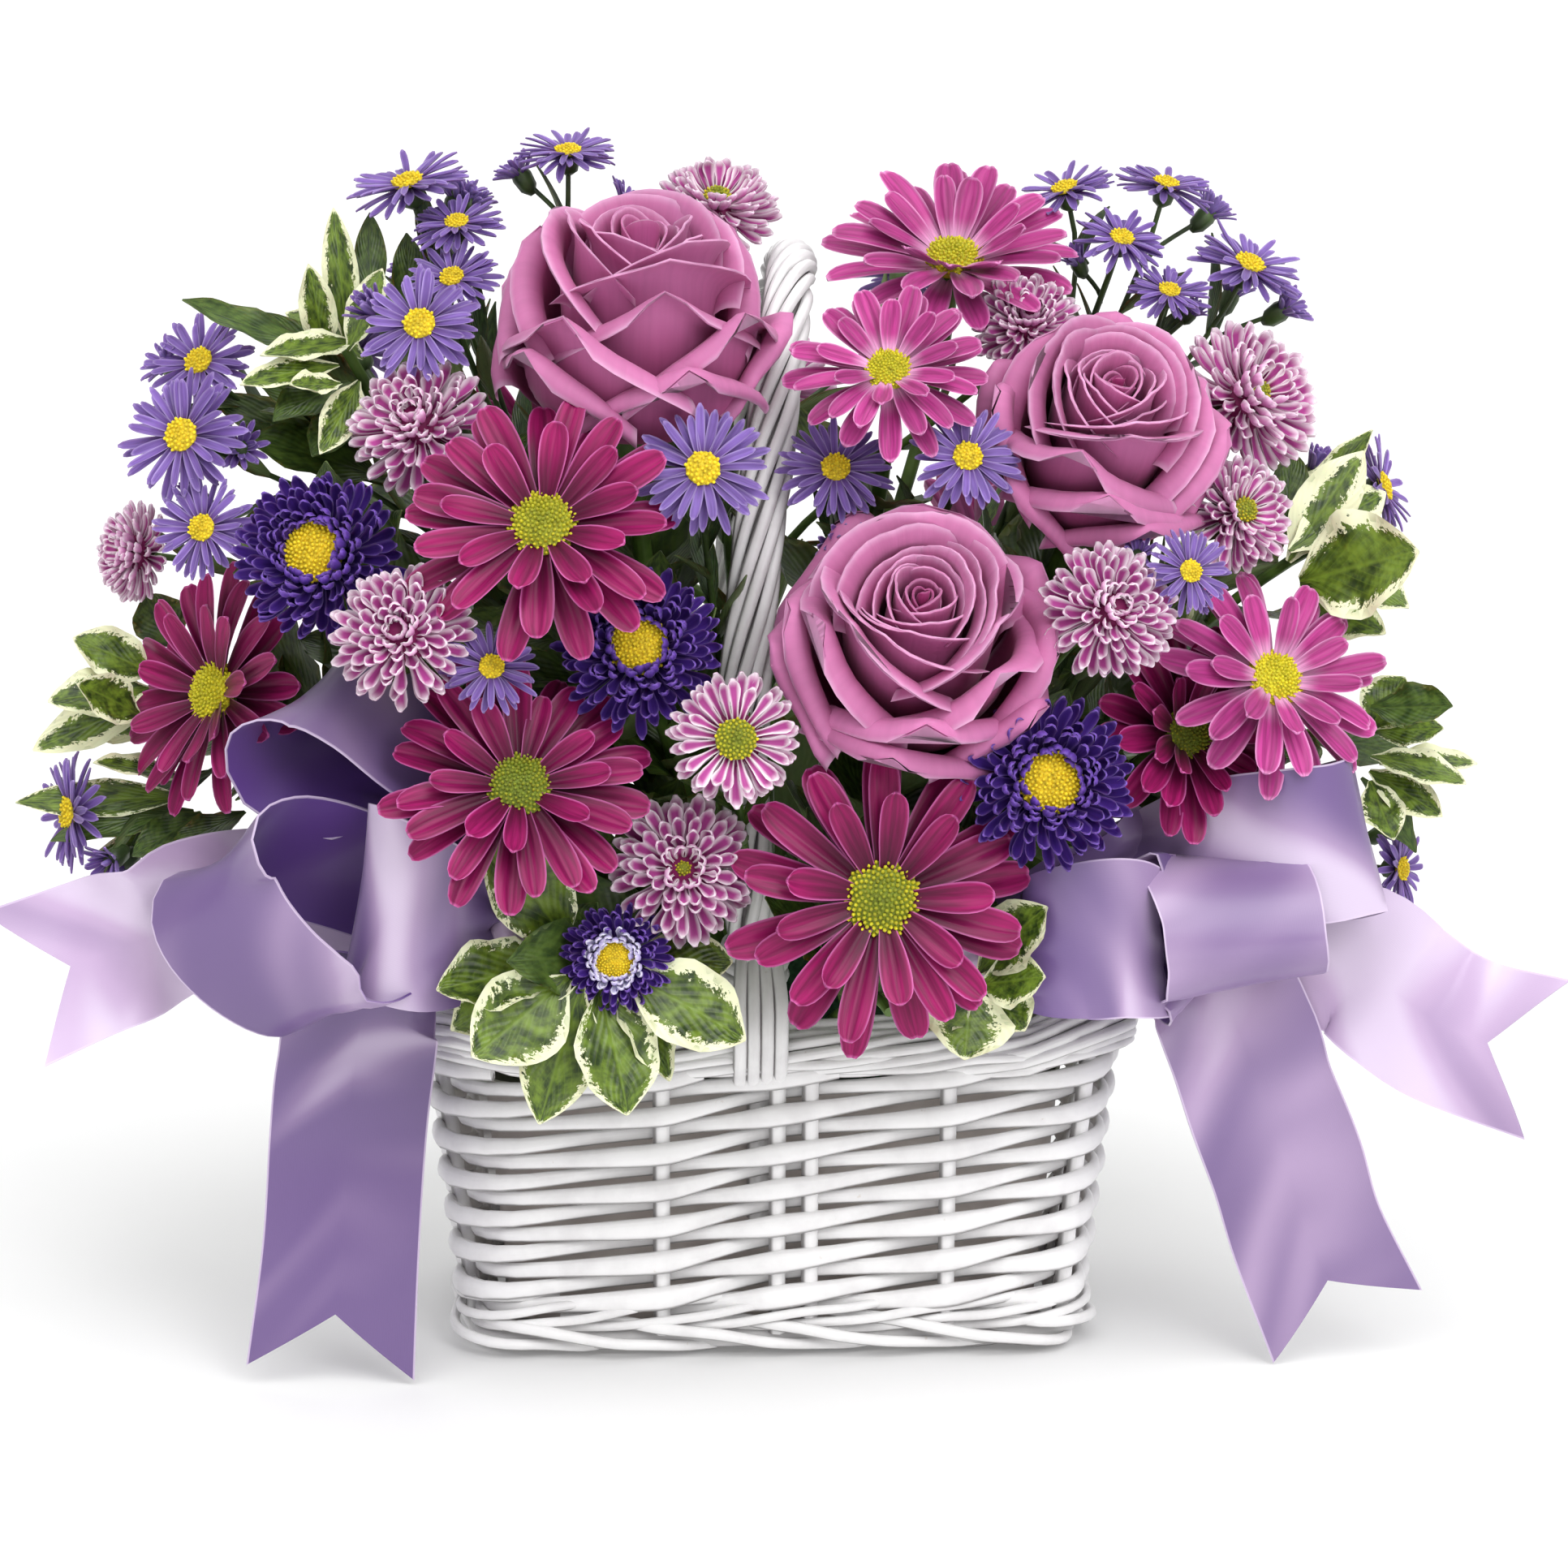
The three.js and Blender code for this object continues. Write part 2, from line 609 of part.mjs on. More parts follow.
/**
 * One blade of a whorl, in the bloom's own frame: rings of four points from its base outwards, then its
 * point. `base` is the quad on the core that it grows from; it leaves at `lift` and turns by `curl`.
 */
function bladeOf(base, heading, spec) {
  const middle = base[0].clone().add(base[1]).add(base[2]).add(base[3]).multiplyScalar(0.25);
  const out = vec(Math.cos(heading), Math.sin(heading), 0);
  const side = vec(-Math.sin(heading), Math.cos(heading), 0);
  const rings = [base];
  let at = middle.clone();
  let reached = 0;
  for (const [share, widthShare, wave = 0, thin = 1] of spec.stations) {
    const angle = degrees(spec.lift + spec.curl * (share + reached) * 0.5);
    const step = (share - reached) * spec.length;
    at = at.clone().addScaledVector(out, step * Math.cos(angle));
    at.z += step * Math.sin(angle);
    reached = share;
    const normal = out.clone().multiplyScalar(-Math.sin(angle)).add(vec(0, 0, Math.cos(angle)));
    const half = (spec.width * widthShare) / 2;
    const thick = (spec.thickness * thin) / 2;
    const corner = (sideways, up) =>
      at
        .clone()
        .addScaledVector(side, sideways * half)
        .addScaledVector(normal, up * thick + sideways * wave + spec.cup * Math.abs(sideways) * widthShare);
    if (widthShare > 0) rings.push([corner(-1, -1), corner(1, -1), corner(1, 1), corner(-1, 1)]);
    else rings.push([corner(0, -1), corner(0, 1)]);
  }
  return rings;
}

/** The surface of a blade from its base to its point, a short edge across the blade's thickness. */
function addBlade(faces, rings) {
  for (let r = 0; r + 2 < rings.length; r++) faces.wall(rings[r], rings[r + 1]);
  const [[a, b, c, d], [low, high]] = rings.slice(-2);
  faces.add(a, b, low);
  faces.add(b, c, high);
  faces.add(b, high, low);
  faces.add(c, d, high);
  faces.add(d, a, low);
  faces.add(d, low, high);
}

/** A closed solid of one blade, for the clearance test. */
function bladeSolid(rings) {
  const faces = new Faces();
  faces.cap([...rings[0]].reverse());
  addBlade(faces, rings);
  return solidOf(faces.geometry());
}

const SINGLE_BENDS = [0, 8, -8, 18, -18, 30, -30]; // degrees that a blade of a single whorl may be bent

/**
 * A head of one or more whorls on a stepped core, one closed surface with no joins.
 * Each blade that would meet a placed piece is bent clear of it, or shortened.
 */
function head(layers, { hole = 0, dome = 0 }, at, except = []) {
  const count = layers[0].count;
  const polygon = (radius, z, phase) =>
    Array.from({ length: count }, (_, i) => {
      const angle = ((i + phase) / count) * TAU;
      return vec(radius * Math.cos(angle), radius * Math.sin(angle), z);
    });
  const faces = new Faces();
  const toWorld = at.toArray();
  layers.forEach((layer, k) => {
    const low = polygon(layer.radius, layer.low, layer.phase);
    const high = polygon(layer.radius, layer.high, layer.phase);
    for (let i = 0; i < count; i++) {
      const j = (i + 1) % count;
      const base = [low[i], low[j], high[j], high[i]];
      const heading = ((i + 0.5 + layer.phase) / count) * TAU;
      const spec = layer.blade(i);
      const sign = layers.length > 1 && k < layers.length / 2 ? -1 : 1;
      const bends = layers.length > 1 ? [0, 8, 16, 26, 38].map((b) => b * sign) : SINGLE_BENDS;
      const tries = [1, 0.82, 0.64, 0.46, 0.28].flatMap((share) => bends.map((bend) => [share, bend]));
      const { rings } = firstClear(
        tries,
        ([share, bend]) => {
          const shape = { ...spec, length: spec.length * share, lift: spec.lift + bend };
          const made = bladeOf(base, heading, shape);
          return { rings: made, solid: bladeSolid(made).transform(toWorld) };
        },
        except,
      );
      addBlade(faces, rings);
    }
    const next = layers[k + 1];
    if (next) {
      const step = polygon(next.radius, next.low, next.phase);
      for (let i = 0; i < count; i++) {
        const j = (i + 1) % count;
        const m = next.phase > layer.phase ? i : j; // which corner of the next ring lies between i and j
        faces.add(high[i], high[j], step[m]);
        faces.add(high[j], step[(m + 1) % count], step[m]);
      }
    }
  });
  const bottom = polygon(layers[0].radius, layers[0].low, layers[0].phase);
  const last = layers[layers.length - 1];
  const top = polygon(last.radius, last.high, last.phase);
  if (hole) {
    const innerLow = polygon(hole, layers[0].low, layers[0].phase);
    const innerHigh = polygon(hole, last.high, last.phase);
    faces.wall(top, innerHigh);
    for (let i = 0; i < count; i++) {
      const j = (i + 1) % count;
      faces.add(bottom[j], bottom[i], innerLow[i]);
      faces.add(bottom[j], innerLow[i], innerLow[j]);
      const m = last.phase > layers[0].phase ? i : (i + count) % count;
      faces.add(innerLow[i], innerHigh[m], innerLow[j]);
      faces.add(innerHigh[m], innerHigh[(m + 1) % count], innerLow[j]);
    }
  } else {
    faces.cap(top, vec(0, 0, last.high + dome));
    faces.cap([...bottom].reverse());
  }
  return solidOf(faces.geometry());
}

// ---------------------------------------------------------------- the plan of the flowers

// Each bloom: name, the middle of its face, the way it faces and its outer radius.
const DAISIES = [
  ["daisy_1", [-55, -90, 216], [-0.02, -0.8, 0.6], 33],
  ["daisy_2", [-61, -96, 156], [0.05, -0.82, 0.57], 31],
  ["daisy_3", [23, -98, 129], [0.02, -0.97, 0.22], 36],
  ["daisy_4", [44, -18, 269], [0, -0.5, 0.86], 31],
  ["daisy_5", [26, -64, 248], [-0.05, -0.7, 0.71], 26],
  ["daisy_6", [118, -62, 174], [0.35, -0.74, 0.57], 29],
  ["daisy_7", [-135, -42, 168], [-0.72, -0.62, 0.3], 31],
  ["daisy_8", [92, -74, 157], [0.3, -0.88, 0.35], 26],
  ["daisy_9", [-58, 76, 208], [-0.3, 0.78, 0.55], 32],
  ["daisy_10", [60, 80, 176], [0.3, 0.85, 0.43], 32],
];
const CHINA_ASTERS = [
  ["china_aster_1", [-108, -74, 207], [-0.25, -0.9, 0.35], 22],
  ["china_aster_2", [-33, -89, 187], [-0.05, -0.93, 0.35], 21],
  ["china_aster_3", [62, -96, 156], [0.05, -0.97, 0.22], 22],
  ["china_aster_4", [-39, -94, 114], [-0.1, -0.98, 0.15], 14],
];
const CUSHIONS = {
  cushion_spray_left: [
    [[-85, -58, 236], [-0.25, -0.75, 0.6], 18],
    [[-88, -96, 192], [-0.15, -0.9, 0.4], 17.5],
    [[-157, -16, 198], [-0.85, -0.5, 0.2], 13],
  ],
  cushion_spray_front: [
    [[-11, -103, 168], [0.05, -0.98, 0.2], 16],
    [[-19, -88, 133], [0.02, -0.95, 0.3], 16],
  ],
  cushion_spray_right: [
    [[77, -92, 196], [0.3, -0.87, 0.38], 17],
    [[116, -34, 238], [0.55, -0.68, 0.48], 20],
    [[111, -56, 213], [0.45, -0.8, 0.4], 15],
  ],
  cushion_spray_top: [
    [[-13, -12, 283], [0.05, -0.45, 0.9], 16],
    [[63, -30, 251], [0.1, -0.7, 0.7], 12],
  ],
  cushion_spray_back: [
    [[2, 84, 226], [0, 0.85, 0.52], 19],
    [[104, 48, 214], [0.65, 0.62, 0.43], 18],
  ],
};
const LILACS = {
  lilac_spray_top_left: [
    [[-88, -6, 287], [-0.25, -0.25, 0.93], 14],
    [[-76, -14, 278], [-0.1, -0.4, 0.9], 11],
    [[-77, -26, 266], [-0.2, -0.6, 0.75], 11],
    [[-49, -2, 294], [0, -0.2, 0.98], 12],
  ],
  lilac_spray_left: [
    [[-84, -52, 258], [-0.1, -0.85, 0.5], 14],
    [[-141, -46, 231], [-0.35, -0.85, 0.35], 15],
    [[-138, -26, 246], [-0.35, -0.7, 0.6], 13],
    [[-136, -54, 210], [-0.35, -0.85, 0.3], 12],
    [[-172, -30, 136], [-0.88, -0.45, 0.1], 14],
  ],
  lilac_spray_middle_left: [
    [[-18, -84, 228], [0.02, -0.93, 0.35], 15],
    [[-67, -96, 184], [0.05, -0.85, 0.5], 11],
  ],
  lilac_spray_middle_right: [
    [[44, -74, 229], [0.1, -0.85, 0.5], 13],
    [[14, -57, 224], [0, -0.8, 0.6], 13],
  ],
  lilac_spray_top_right: [
    [[86, -8, 273], [0.2, -0.5, 0.84], 11],
    [[73, 4, 284], [-0.3, -0.2, 0.93], 12],
    [[98, 4, 285], [0.2, -0.2, 0.95], 12],
    [[97, -16, 261], [0.15, -0.45, 0.88], 10],
    [[118, -4, 266], [0.35, -0.35, 0.87], 14],
  ],
  lilac_spray_right: [
    [[95, -88, 204], [0.3, -0.88, 0.35], 10],
    [[151, -12, 212], [0.9, -0.25, 0.35], 13],
    [[156, -24, 118], [0.85, -0.5, 0.1], 11],
  ],
  lilac_spray_back: [
    [[-104, 40, 240], [-0.5, 0.6, 0.62], 14],
    [[-84, 52, 258], [-0.2, 0.7, 0.7], 12],
    [[38, 66, 256], [0.2, 0.65, 0.72], 13],
  ],
};
// Each rose: the base of its head, its axis, its radius and its height.
const ROSES = [
  ["rose_1", [-33, -40, 232], [0.02, -0.42, 0.9], 35, 54],
  ["rose_2", [74, -41, 214], [0.12, -0.68, 0.73], 29.5, 48],
  ["rose_3", [31, -64, 170], [0.03, -0.74, 0.67], 34, 50],
];
// Each leafy sprig: the end of its stem, the way it points, the length of its leaves and how many.
const SPRIGS = {
  leaves_left_top: [[-104, -20, 250], [-0.45, -0.15, 0.88], 42, 3],
  leaves_left_low: [[-150, -22, 160], [-0.93, -0.2, -0.1], 34, 3],
  leaves_front_left: [[-58, -80, 101], [-0.25, -0.9, -0.35], 36, 3],
  leaves_front_right: [[26, -80, 97], [0.3, -0.85, -0.4], 28, 3],
  leaves_right: [[132, -30, 200], [0.75, -0.4, 0.5], 34, 3],
  leaves_right_low: [[146, -30, 156], [0.92, -0.35, 0.1], 32, 3],
  leaves_back_left: [[-78, 62, 148], [-0.5, 0.85, 0.2], 50, 3],
  leaves_back_right: [[92, 50, 150], [0.65, 0.75, 0.2], 50, 3],
  leaves_back_low: [[4, 70, 122], [0.02, 0.98, 0.1], 50, 3],
};

// ---------------------------------------------------------------- stems

const SHIFTS = [0, 5, -5, 9, -9, 14, -14, 19, -19, 25, -25];

/** Every way that a stem may take: its aim in the foam shifted sideways, and its bend pushed aside. */
const stemTries = SHIFTS.flatMap((x) =>
  [0, 6, -6, 12, -12].flatMap((y) => [0, 7, -7].map((bow) => [x, y, bow])),
);

/** A stem from the foam to the back of a bloom, followed by the bloom's own stations. */
function stemTo(base, facing, radius, tail, sides) {
  const back = facing.clone().negate();
  return firstClear(
    stemTries,
    ([x, y, bow]) => {
      const { entry, inward } = entryOf(base, vec(x, y, 0));
      const inner = entry.clone().addScaledVector(inward, STEM_DEPTH);
      const outer = entry.clone().addScaledVector(inward, -6);
      const length = outer.distanceTo(base);
      const sideways = inward.clone().cross(vec(0, 0, 1)).normalize().multiplyScalar(bow);
      const curve = new THREE.CubicBezierCurve3(
        outer,
        outer.clone().addScaledVector(inward, -length * 0.35).add(sideways),
        base.clone().addScaledVector(back, length * 0.3).add(sideways),
        base,
      );
      const run = along(curve, sides > 4 ? 3 : 2, radius);
      run[0].along = inward.clone().negate();
      const stations = [{ at: inner, radius, along: run[0].along }, ...run, ...tail];
      const bore = (radius + GAP) * Math.SQRT2;
      const hole = [
        { at: inner.clone().addScaledVector(inward, GAP), radius: bore, along: run[0].along },
        { at: outer.clone().addScaledVector(inward, -3), radius: bore, along: run[0].along },
      ];
      const solid = tube(stations, sides);
      return { solid, hole: tube(hole, 4), curve };
    },
    ["foam"],
  );
}

/** The receptacle, neck and eye that a ring of rays sits on, as stations along the bloom's axis. */
function eyeStations(at, facing, { back, low, high, neck, cup, eye, rise }) {
  const station = (z, radius) => ({ at: at.clone().addScaledVector(facing, z), radius, along: facing });
  return [
    station(low - GAP - back, cup * 0.6),
    station(low - GAP, cup),
    station(low - GAP, neck),
    station(high + GAP, neck),
    station(high + GAP, eye),
    station(high + GAP + rise, eye * 0.6),
  ];
}

// ---------------------------------------------------------------- blooms

const RAY = [[0.7, 1], [1, 0]]; // a daisy's ray: how far out, how wide
const STRAP = [[1, 0]]; // a short pointed floret
const LEAF_BLADE = [[0.35, 0.9, 0.8], [0.7, 1, -0.8], [1, 0]];

/** Whorls of blades from the lowest to the highest, set half a step apart. */
const whorls = (count, rows) => rows.map((row, k) => ({ count, phase: (k % 2) / 2, ...row }));

function daisyLayers(radius, random) {
  const ray = (length, lift) => () => ({
    length: length * (0.94 + 0.12 * random()),
    width: radius * 0.36,
    lift: lift + 8 * (random() - 0.5),
    curl: 10 * (random() - 0.7),
    thickness: 1.1,
    cup: 0.7,
    stations: RAY,
  });
  const base = radius * 0.275;
  return whorls(8, [
    { radius: base, low: -2.4, high: -1, blade: ray(radius - base, 6) },
    { radius: base * 0.97, low: -0.4, high: 1, blade: ray(radius * 0.95 - base, 22) },
  ]);
}

function chinaLayers(radius, random) {
  const strap = (share, lift) => () => ({
    length: radius * share * (0.92 + 0.14 * random()),
    width: radius * 0.2,
    lift: lift + 8 * (random() - 0.5),
    curl: 14,
    thickness: 0.9,
    cup: 0,
    stations: STRAP,
  });
  return whorls(10, [
    { radius: radius * 0.56, low: -4.4, high: -2.6, blade: strap(0.46, 0) },
    { radius: radius * 0.56, low: -1.8, high: 0, blade: strap(0.44, 24) },
    { radius: radius * 0.5, low: 0.8, high: 2.3, blade: strap(0.36, 48) },
  ]);
}

function cushionLayers(radius, random) {
  const strap = (share, lift) => () => ({
    length: radius * share * (0.92 + 0.14 * random()),
    width: radius * 0.34,
    lift: lift + 8 * (random() - 0.5),
    curl: 16,
    thickness: 1.2,
    cup: 0,
    stations: STRAP,
  });
  return whorls(7, [
    { radius: radius * 0.52, low: -radius * 0.2, high: -radius * 0.06, blade: strap(0.5, -6) },
    { radius: radius * 0.54, low: 0, high: radius * 0.14, blade: strap(0.46, 22) },
    { radius: radius * 0.42, low: radius * 0.2, high: radius * 0.32, blade: strap(0.42, 52) },
  ]);
}

function lilacLayers(radius, random) {
  const strap = () => ({
    length: radius * 0.68 * (0.9 + 0.16 * random()),
    width: radius * 0.24,
    lift: 8 + 10 * (random() - 0.5),
    curl: 6,
    thickness: 1,
    cup: 0,
    stations: STRAP,
  });
  return whorls(7, [{ radius: radius * 0.34, low: -0.8, high: 0.8, blade: strap }]);
}

/** A rose: whorls of cupped petals with lobed, rolled lips round a bud, as one closed surface. */
function roseSolid(radius, height, turn) {
  // Each row: share of the radius, share of the height, how much it is lobed, and the whorl's own turn.
  const rows = [
    [0.2, 0, 0, 0], [0.62, 0.16, 0.1, 0], [0.86, 0.5, 0.5, 0], [1, 0.68, 1, 0], [0.9, 0.72, 1, 0],
    [0.68, 0.44, 0.2, 0.5], [0.73, 0.7, 0.6, 0.5], [0.8, 0.85, 1, 0.5], [0.7, 0.85, 1, 0.5],
    [0.48, 0.56, 0.2, 0.1], [0.54, 0.9, 0.7, 0.1], [0.46, 0.95, 0.8, 0.1],
    [0.3, 0.7, 0.1, 0.6], [0.33, 0.98, 0.5, 0.6], [0.22, 0.98, 0.5, 0.6], [0.1, 0.84, 0, 0],
  ];
  const lobes = 5;
  const steps = 15;
  const rings = rows.map(([out, up, lobed, phase]) =>
    Array.from({ length: steps }, (_, i) => {
      const angle = (i / steps) * TAU;
      const lobe = lobed * Math.cos(lobes * angle + phase * TAU + turn);
      const reach = radius * out * (1 + 0.07 * lobe);
      return vec(reach * Math.cos(angle), reach * Math.sin(angle), height * (up + 0.055 * lobe));
    }),
  );
  const faces = new Faces();
  for (let k = 0; k + 1 < rings.length; k++) faces.wall(rings[k], rings[k + 1]);
  faces.cap([...rings[0]].reverse());
  faces.cap(rings[rings.length - 1], vec(0, 0, height * 0.97));
  return solidOf(faces.geometry());
}

// ---------------------------------------------------------------- putting it together

// The basket and what it holds.
place("basket_weave", weaveSolid(), WILLOW());
place("basket_rim", ropeRound(RIM, BASKET.flare), WILLOW());
place("basket_foot", ropeRound(FOOT, 0), WILLOW());
const floorHalf = [BASKET.halfWidth - FLOOR.inset, BASKET.halfDepth - FLOOR.inset];
place("basket_floor", slab(...floorHalf, BASKET.cornerRadius - 6, 0, FLOOR.thickness), WILLOW());
place("basket_handle", handleSolid(), WILLOW());
place("liner", linerSolid(), LINER_FILM());
const foamBlock = slab(FOAM.halfWidth, FOAM.halfDepth, FOAM.radius, FOAM.low, FOAM.high);
placed.push({ name: "foam", solid: foamBlock, box: boxOf(foamBlock) });

const point = (xyz) => vec(...xyz);
const direction = (xyz) => vec(...xyz).normalize();

for (const [name, bow] of Object.entries(BOWS)) place(name, bowSolid(bow), SATIN());

// Roses: the head sits on the calyx of its own stem.
for (const [index, [name, at, axis, radius, height]] of ROSES.entries()) {
  const [base, facing] = [point(at), direction(axis)];
  place(`${name}_petals`, roseSolid(radius, height, index), ROSE(), seat(base, facing));
}
for (const [name, at, axis, radius] of ROSES) {
  const [base, facing] = [point(at), direction(axis)];
  const station = (z, r) => ({ at: base.clone().addScaledVector(facing, z), radius: r, along: facing });
  const tail = [station(-9, 3.4), station(-4.5, 5.6), station(-GAP, radius * 0.18)];
  const { solid, hole } = stemTo(base.clone().addScaledVector(facing, -12), facing, 2.3, tail, 5);
  holes.push(hole);
  place(`${name}_stem`, solid, STALK());
}

/** The stems of one spray: one trunk from the foam, and a branch from it to each further bloom. */
function sprayStem(blooms, radius, tailOf, sides) {
  const parts = [];
  let trunk;
  blooms.forEach((bloom, i) => {
    const { at, facing, back } = bloom;
    const base = at.clone().addScaledVector(facing, -back);
    if (i === 0) {
      const made = stemTo(base, facing, radius, tailOf(bloom), sides);
      holes.push(made.hole);
      trunk = made.curve;
      parts.push(made.solid);
      return;
    }
    const tries = [0.35, 0.5, 0.2, 0.65, 0.08].flatMap((from) =>
      [0, 8, -8, 16, -16].map((bow) => [from, bow]),
    );
    const { solid } = firstClear(
      tries,
      ([from, bow]) => {
        const start = trunk.getPointAt(from);
        const length = start.distanceTo(base);
        const toBase = base.clone().sub(start).normalize();
        const sideways = toBase.clone().cross(vec(0, 0, 1)).normalize().multiplyScalar(bow);
        const curve = new THREE.CubicBezierCurve3(
          start,
          start.clone().addScaledVector(toBase, length * 0.35).add(sideways),
          base.clone().addScaledVector(facing, -length * 0.25).add(sideways),
          base,
        );
        const stations = [...along(curve, sides > 4 ? 3 : 2, radius * 0.85), ...tailOf(bloom)];
        return { solid: tube(stations, sides) };
      },
      ["foam"],
    );
    parts.push(solid);
  });
  return mainBody(Manifold.union(parts));
}

// Daisies: the stem ends in a lime eye that the rings of rays sit on.
const daisyEye = (radius) => ({
  back: 3,
  low: -2.4,
  high: 1,
  neck: radius * 0.12,
  cup: radius * 0.18,
  eye: radius * 0.235,
  rise: radius * 0.1,
});
const daisyBloom = (name) => {
  const [, at, facing, radius] = DAISIES.find((row) => row[0] === name);
  return { name, at: point(at), facing: direction(facing), radius, back: 7 };
};
const DAISY_SPRAYS = {
  daisy_stem_left: ["daisy_1", "daisy_2"],
  daisy_stem_front: ["daisy_3"],
  daisy_stem_top: ["daisy_5", "daisy_4"],
  daisy_stem_right: ["daisy_6", "daisy_8"],
  daisy_stem_far_left: ["daisy_7"],
  daisy_stem_back: ["daisy_10", "daisy_9"],
};
for (const [name, members] of Object.entries(DAISY_SPRAYS)) {
  const blooms = members.map(daisyBloom);
  const tail = ({ at, facing, radius }) => eyeStations(at, facing, daisyEye(radius));
  place(name, sprayStem(blooms, 1.8, tail, 5), LIME_EYE());
}

// China asters: a yellow eye on its own stem.
const chinaEye = (radius) => ({
  back: 3,
  low: -4.4,
  high: 2.3,
  neck: radius * 0.2,
  cup: radius * 0.28,
  eye: radius * 0.32,
  rise: 2,
});
for (const [name, at, axis, radius] of CHINA_ASTERS) {
  const bloom = { at: point(at), facing: direction(axis), radius, back: 9 };
  const tail = () => eyeStations(bloom.at, bloom.facing, chinaEye(radius));
  place(`${name}_stem`, sprayStem([bloom], 1.7, tail, 5), SUN_YELLOW());
}

/** A spray whose stems and heads are one body: heads are made after the stems, bent clear of the rest. */
function spray(name, rows, layersOf, options, stemRadius, sides, seed) {
  const blooms = rows.map(([at, facing, radius]) => ({
    at: point(at),
    facing: direction(facing),
    radius,
    back: 3,
  }));
  const tail = ({ at, facing }) => [
    { at: at.clone().addScaledVector(facing, -0.2), radius: stemRadius, along: facing },
  ];
  const stems = sprayStem(blooms, stemRadius, tail, sides);
  placed.push({ name, solid: stems, box: boxOf(stems) });
  return () => {
    const random = dice(seed);
    const heads = blooms.map(({ at, facing, radius }) => {
      const where = seat(at, facing, random() * TAU);
      const made = head(layersOf(radius, random), options(radius), where, [name]);
      const world = made.transform(where.toArray());
      placed.push({ name, solid: world, box: boxOf(world) });
      return world;
    });
    return mainBody(Manifold.union([stems, ...heads]));
  };
}

const cushionJobs = Object.entries(CUSHIONS).map(([name, rows], i) => [
  name,
  spray(name, rows, cushionLayers, (radius) => ({ dome: radius * 0.14 }), 1.4, 4, 50 + i),
]);
const lilacJobs = Object.entries(LILACS).map(([name, rows], i) => [
  name,
  spray(name, rows, lilacLayers, (radius) => ({ dome: radius * 0.16 }), 1, 3, 80 + i),
]);

// Leafy sprigs: their stems come with the others, and their leaves last of all.
const sprigJobs = Object.entries(SPRIGS).map(([name, [at, axis, length, count]], i) => {
  const [tip, facing] = [point(at), direction(axis)];
  const station = { at: tip.clone().addScaledVector(facing, -2), radius: 0.9, along: facing };
  const { solid: stem, hole } = stemTo(tip.clone().addScaledVector(facing, -6), facing, 1.4, [station], 4);
  holes.push(hole);
  placed.push({ name, solid: stem, box: boxOf(stem) });
  return [name, { stem, tip, facing, length, count, seed: 120 + i }];
});

/** One sprig's whorl of waved leaves on its stem. */
function sprigSolid(name, { stem, tip, facing, length, count, seed }) {
  const random = dice(seed);
  const leaf = (lift) => () => ({
    length: length * (0.85 + 0.25 * random()),
    width: length * 0.46,
    lift: lift + 16 * (random() - 0.5),
    curl: -24 * random(),
    thickness: 0.9,
    cup: 1,
    stations: LEAF_BLADE,
  });
  const layers = whorls(count, [
    { radius: 3.2, low: -4, high: -2.4, blade: leaf(4) },
    { radius: 3, low: -1.2, high: 0.4, blade: leaf(38) },
  ]);
  const where = seat(tip, facing, random() * TAU);
  const made = head(layers, { dome: 0.8 }, where, [name]);
  return mainBody(Manifold.union([stem, made.transform(where.toArray())]));
}

// Rays and heads, from the largest blooms to the smallest.
const holeOf = (neck, count) => (neck + GAP) / Math.cos(Math.PI / count);
for (const [index, [name, at, axis, radius]] of DAISIES.entries()) {
  const random = dice(10 + index);
  const where = seat(point(at), direction(axis), random() * TAU);
  const rays = head(daisyLayers(radius, random), { hole: holeOf(radius * 0.12, 8) }, where);
  place(`${name}_rays`, rays, MAGENTA(), where);
}
for (const [index, [name, at, axis, radius]] of CHINA_ASTERS.entries()) {
  const random = dice(30 + index);
  const where = seat(point(at), direction(axis), random() * TAU);
  const rays = head(chinaLayers(radius, random), { hole: holeOf(radius * 0.2, 10) }, where);
  place(`${name}_rays`, rays, DEEP_VIOLET(), where);
}
for (const [name, finishSpray] of cushionJobs) place(name, finishSpray(), CUSHION_PINK());
for (const [name, finishSpray] of lilacJobs) place(name, finishSpray(), LILAC());
for (const [name, job] of sprigJobs) place(name, sprigSolid(name, job), LEAF());

// The foam, last, with a plain hole for each stem.
place("foam", foamBlock.subtract(Manifold.union(holes)), WET_FOAM());

export default arrangement;
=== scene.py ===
"""A flower basket arrangement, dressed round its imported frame.

A white willow basket with an arched handle holds a lined block of wet foam. Roses, daisies, china
asters, cushion chrysanthemums, small lilac asters and variegated leaves stand in the foam, and two
bows of lavender satin are picked into its front. Sizes in the classes are millimetres, and a mesh is
turned to metres as it is made. +Z is up and -Y is the front.
"""

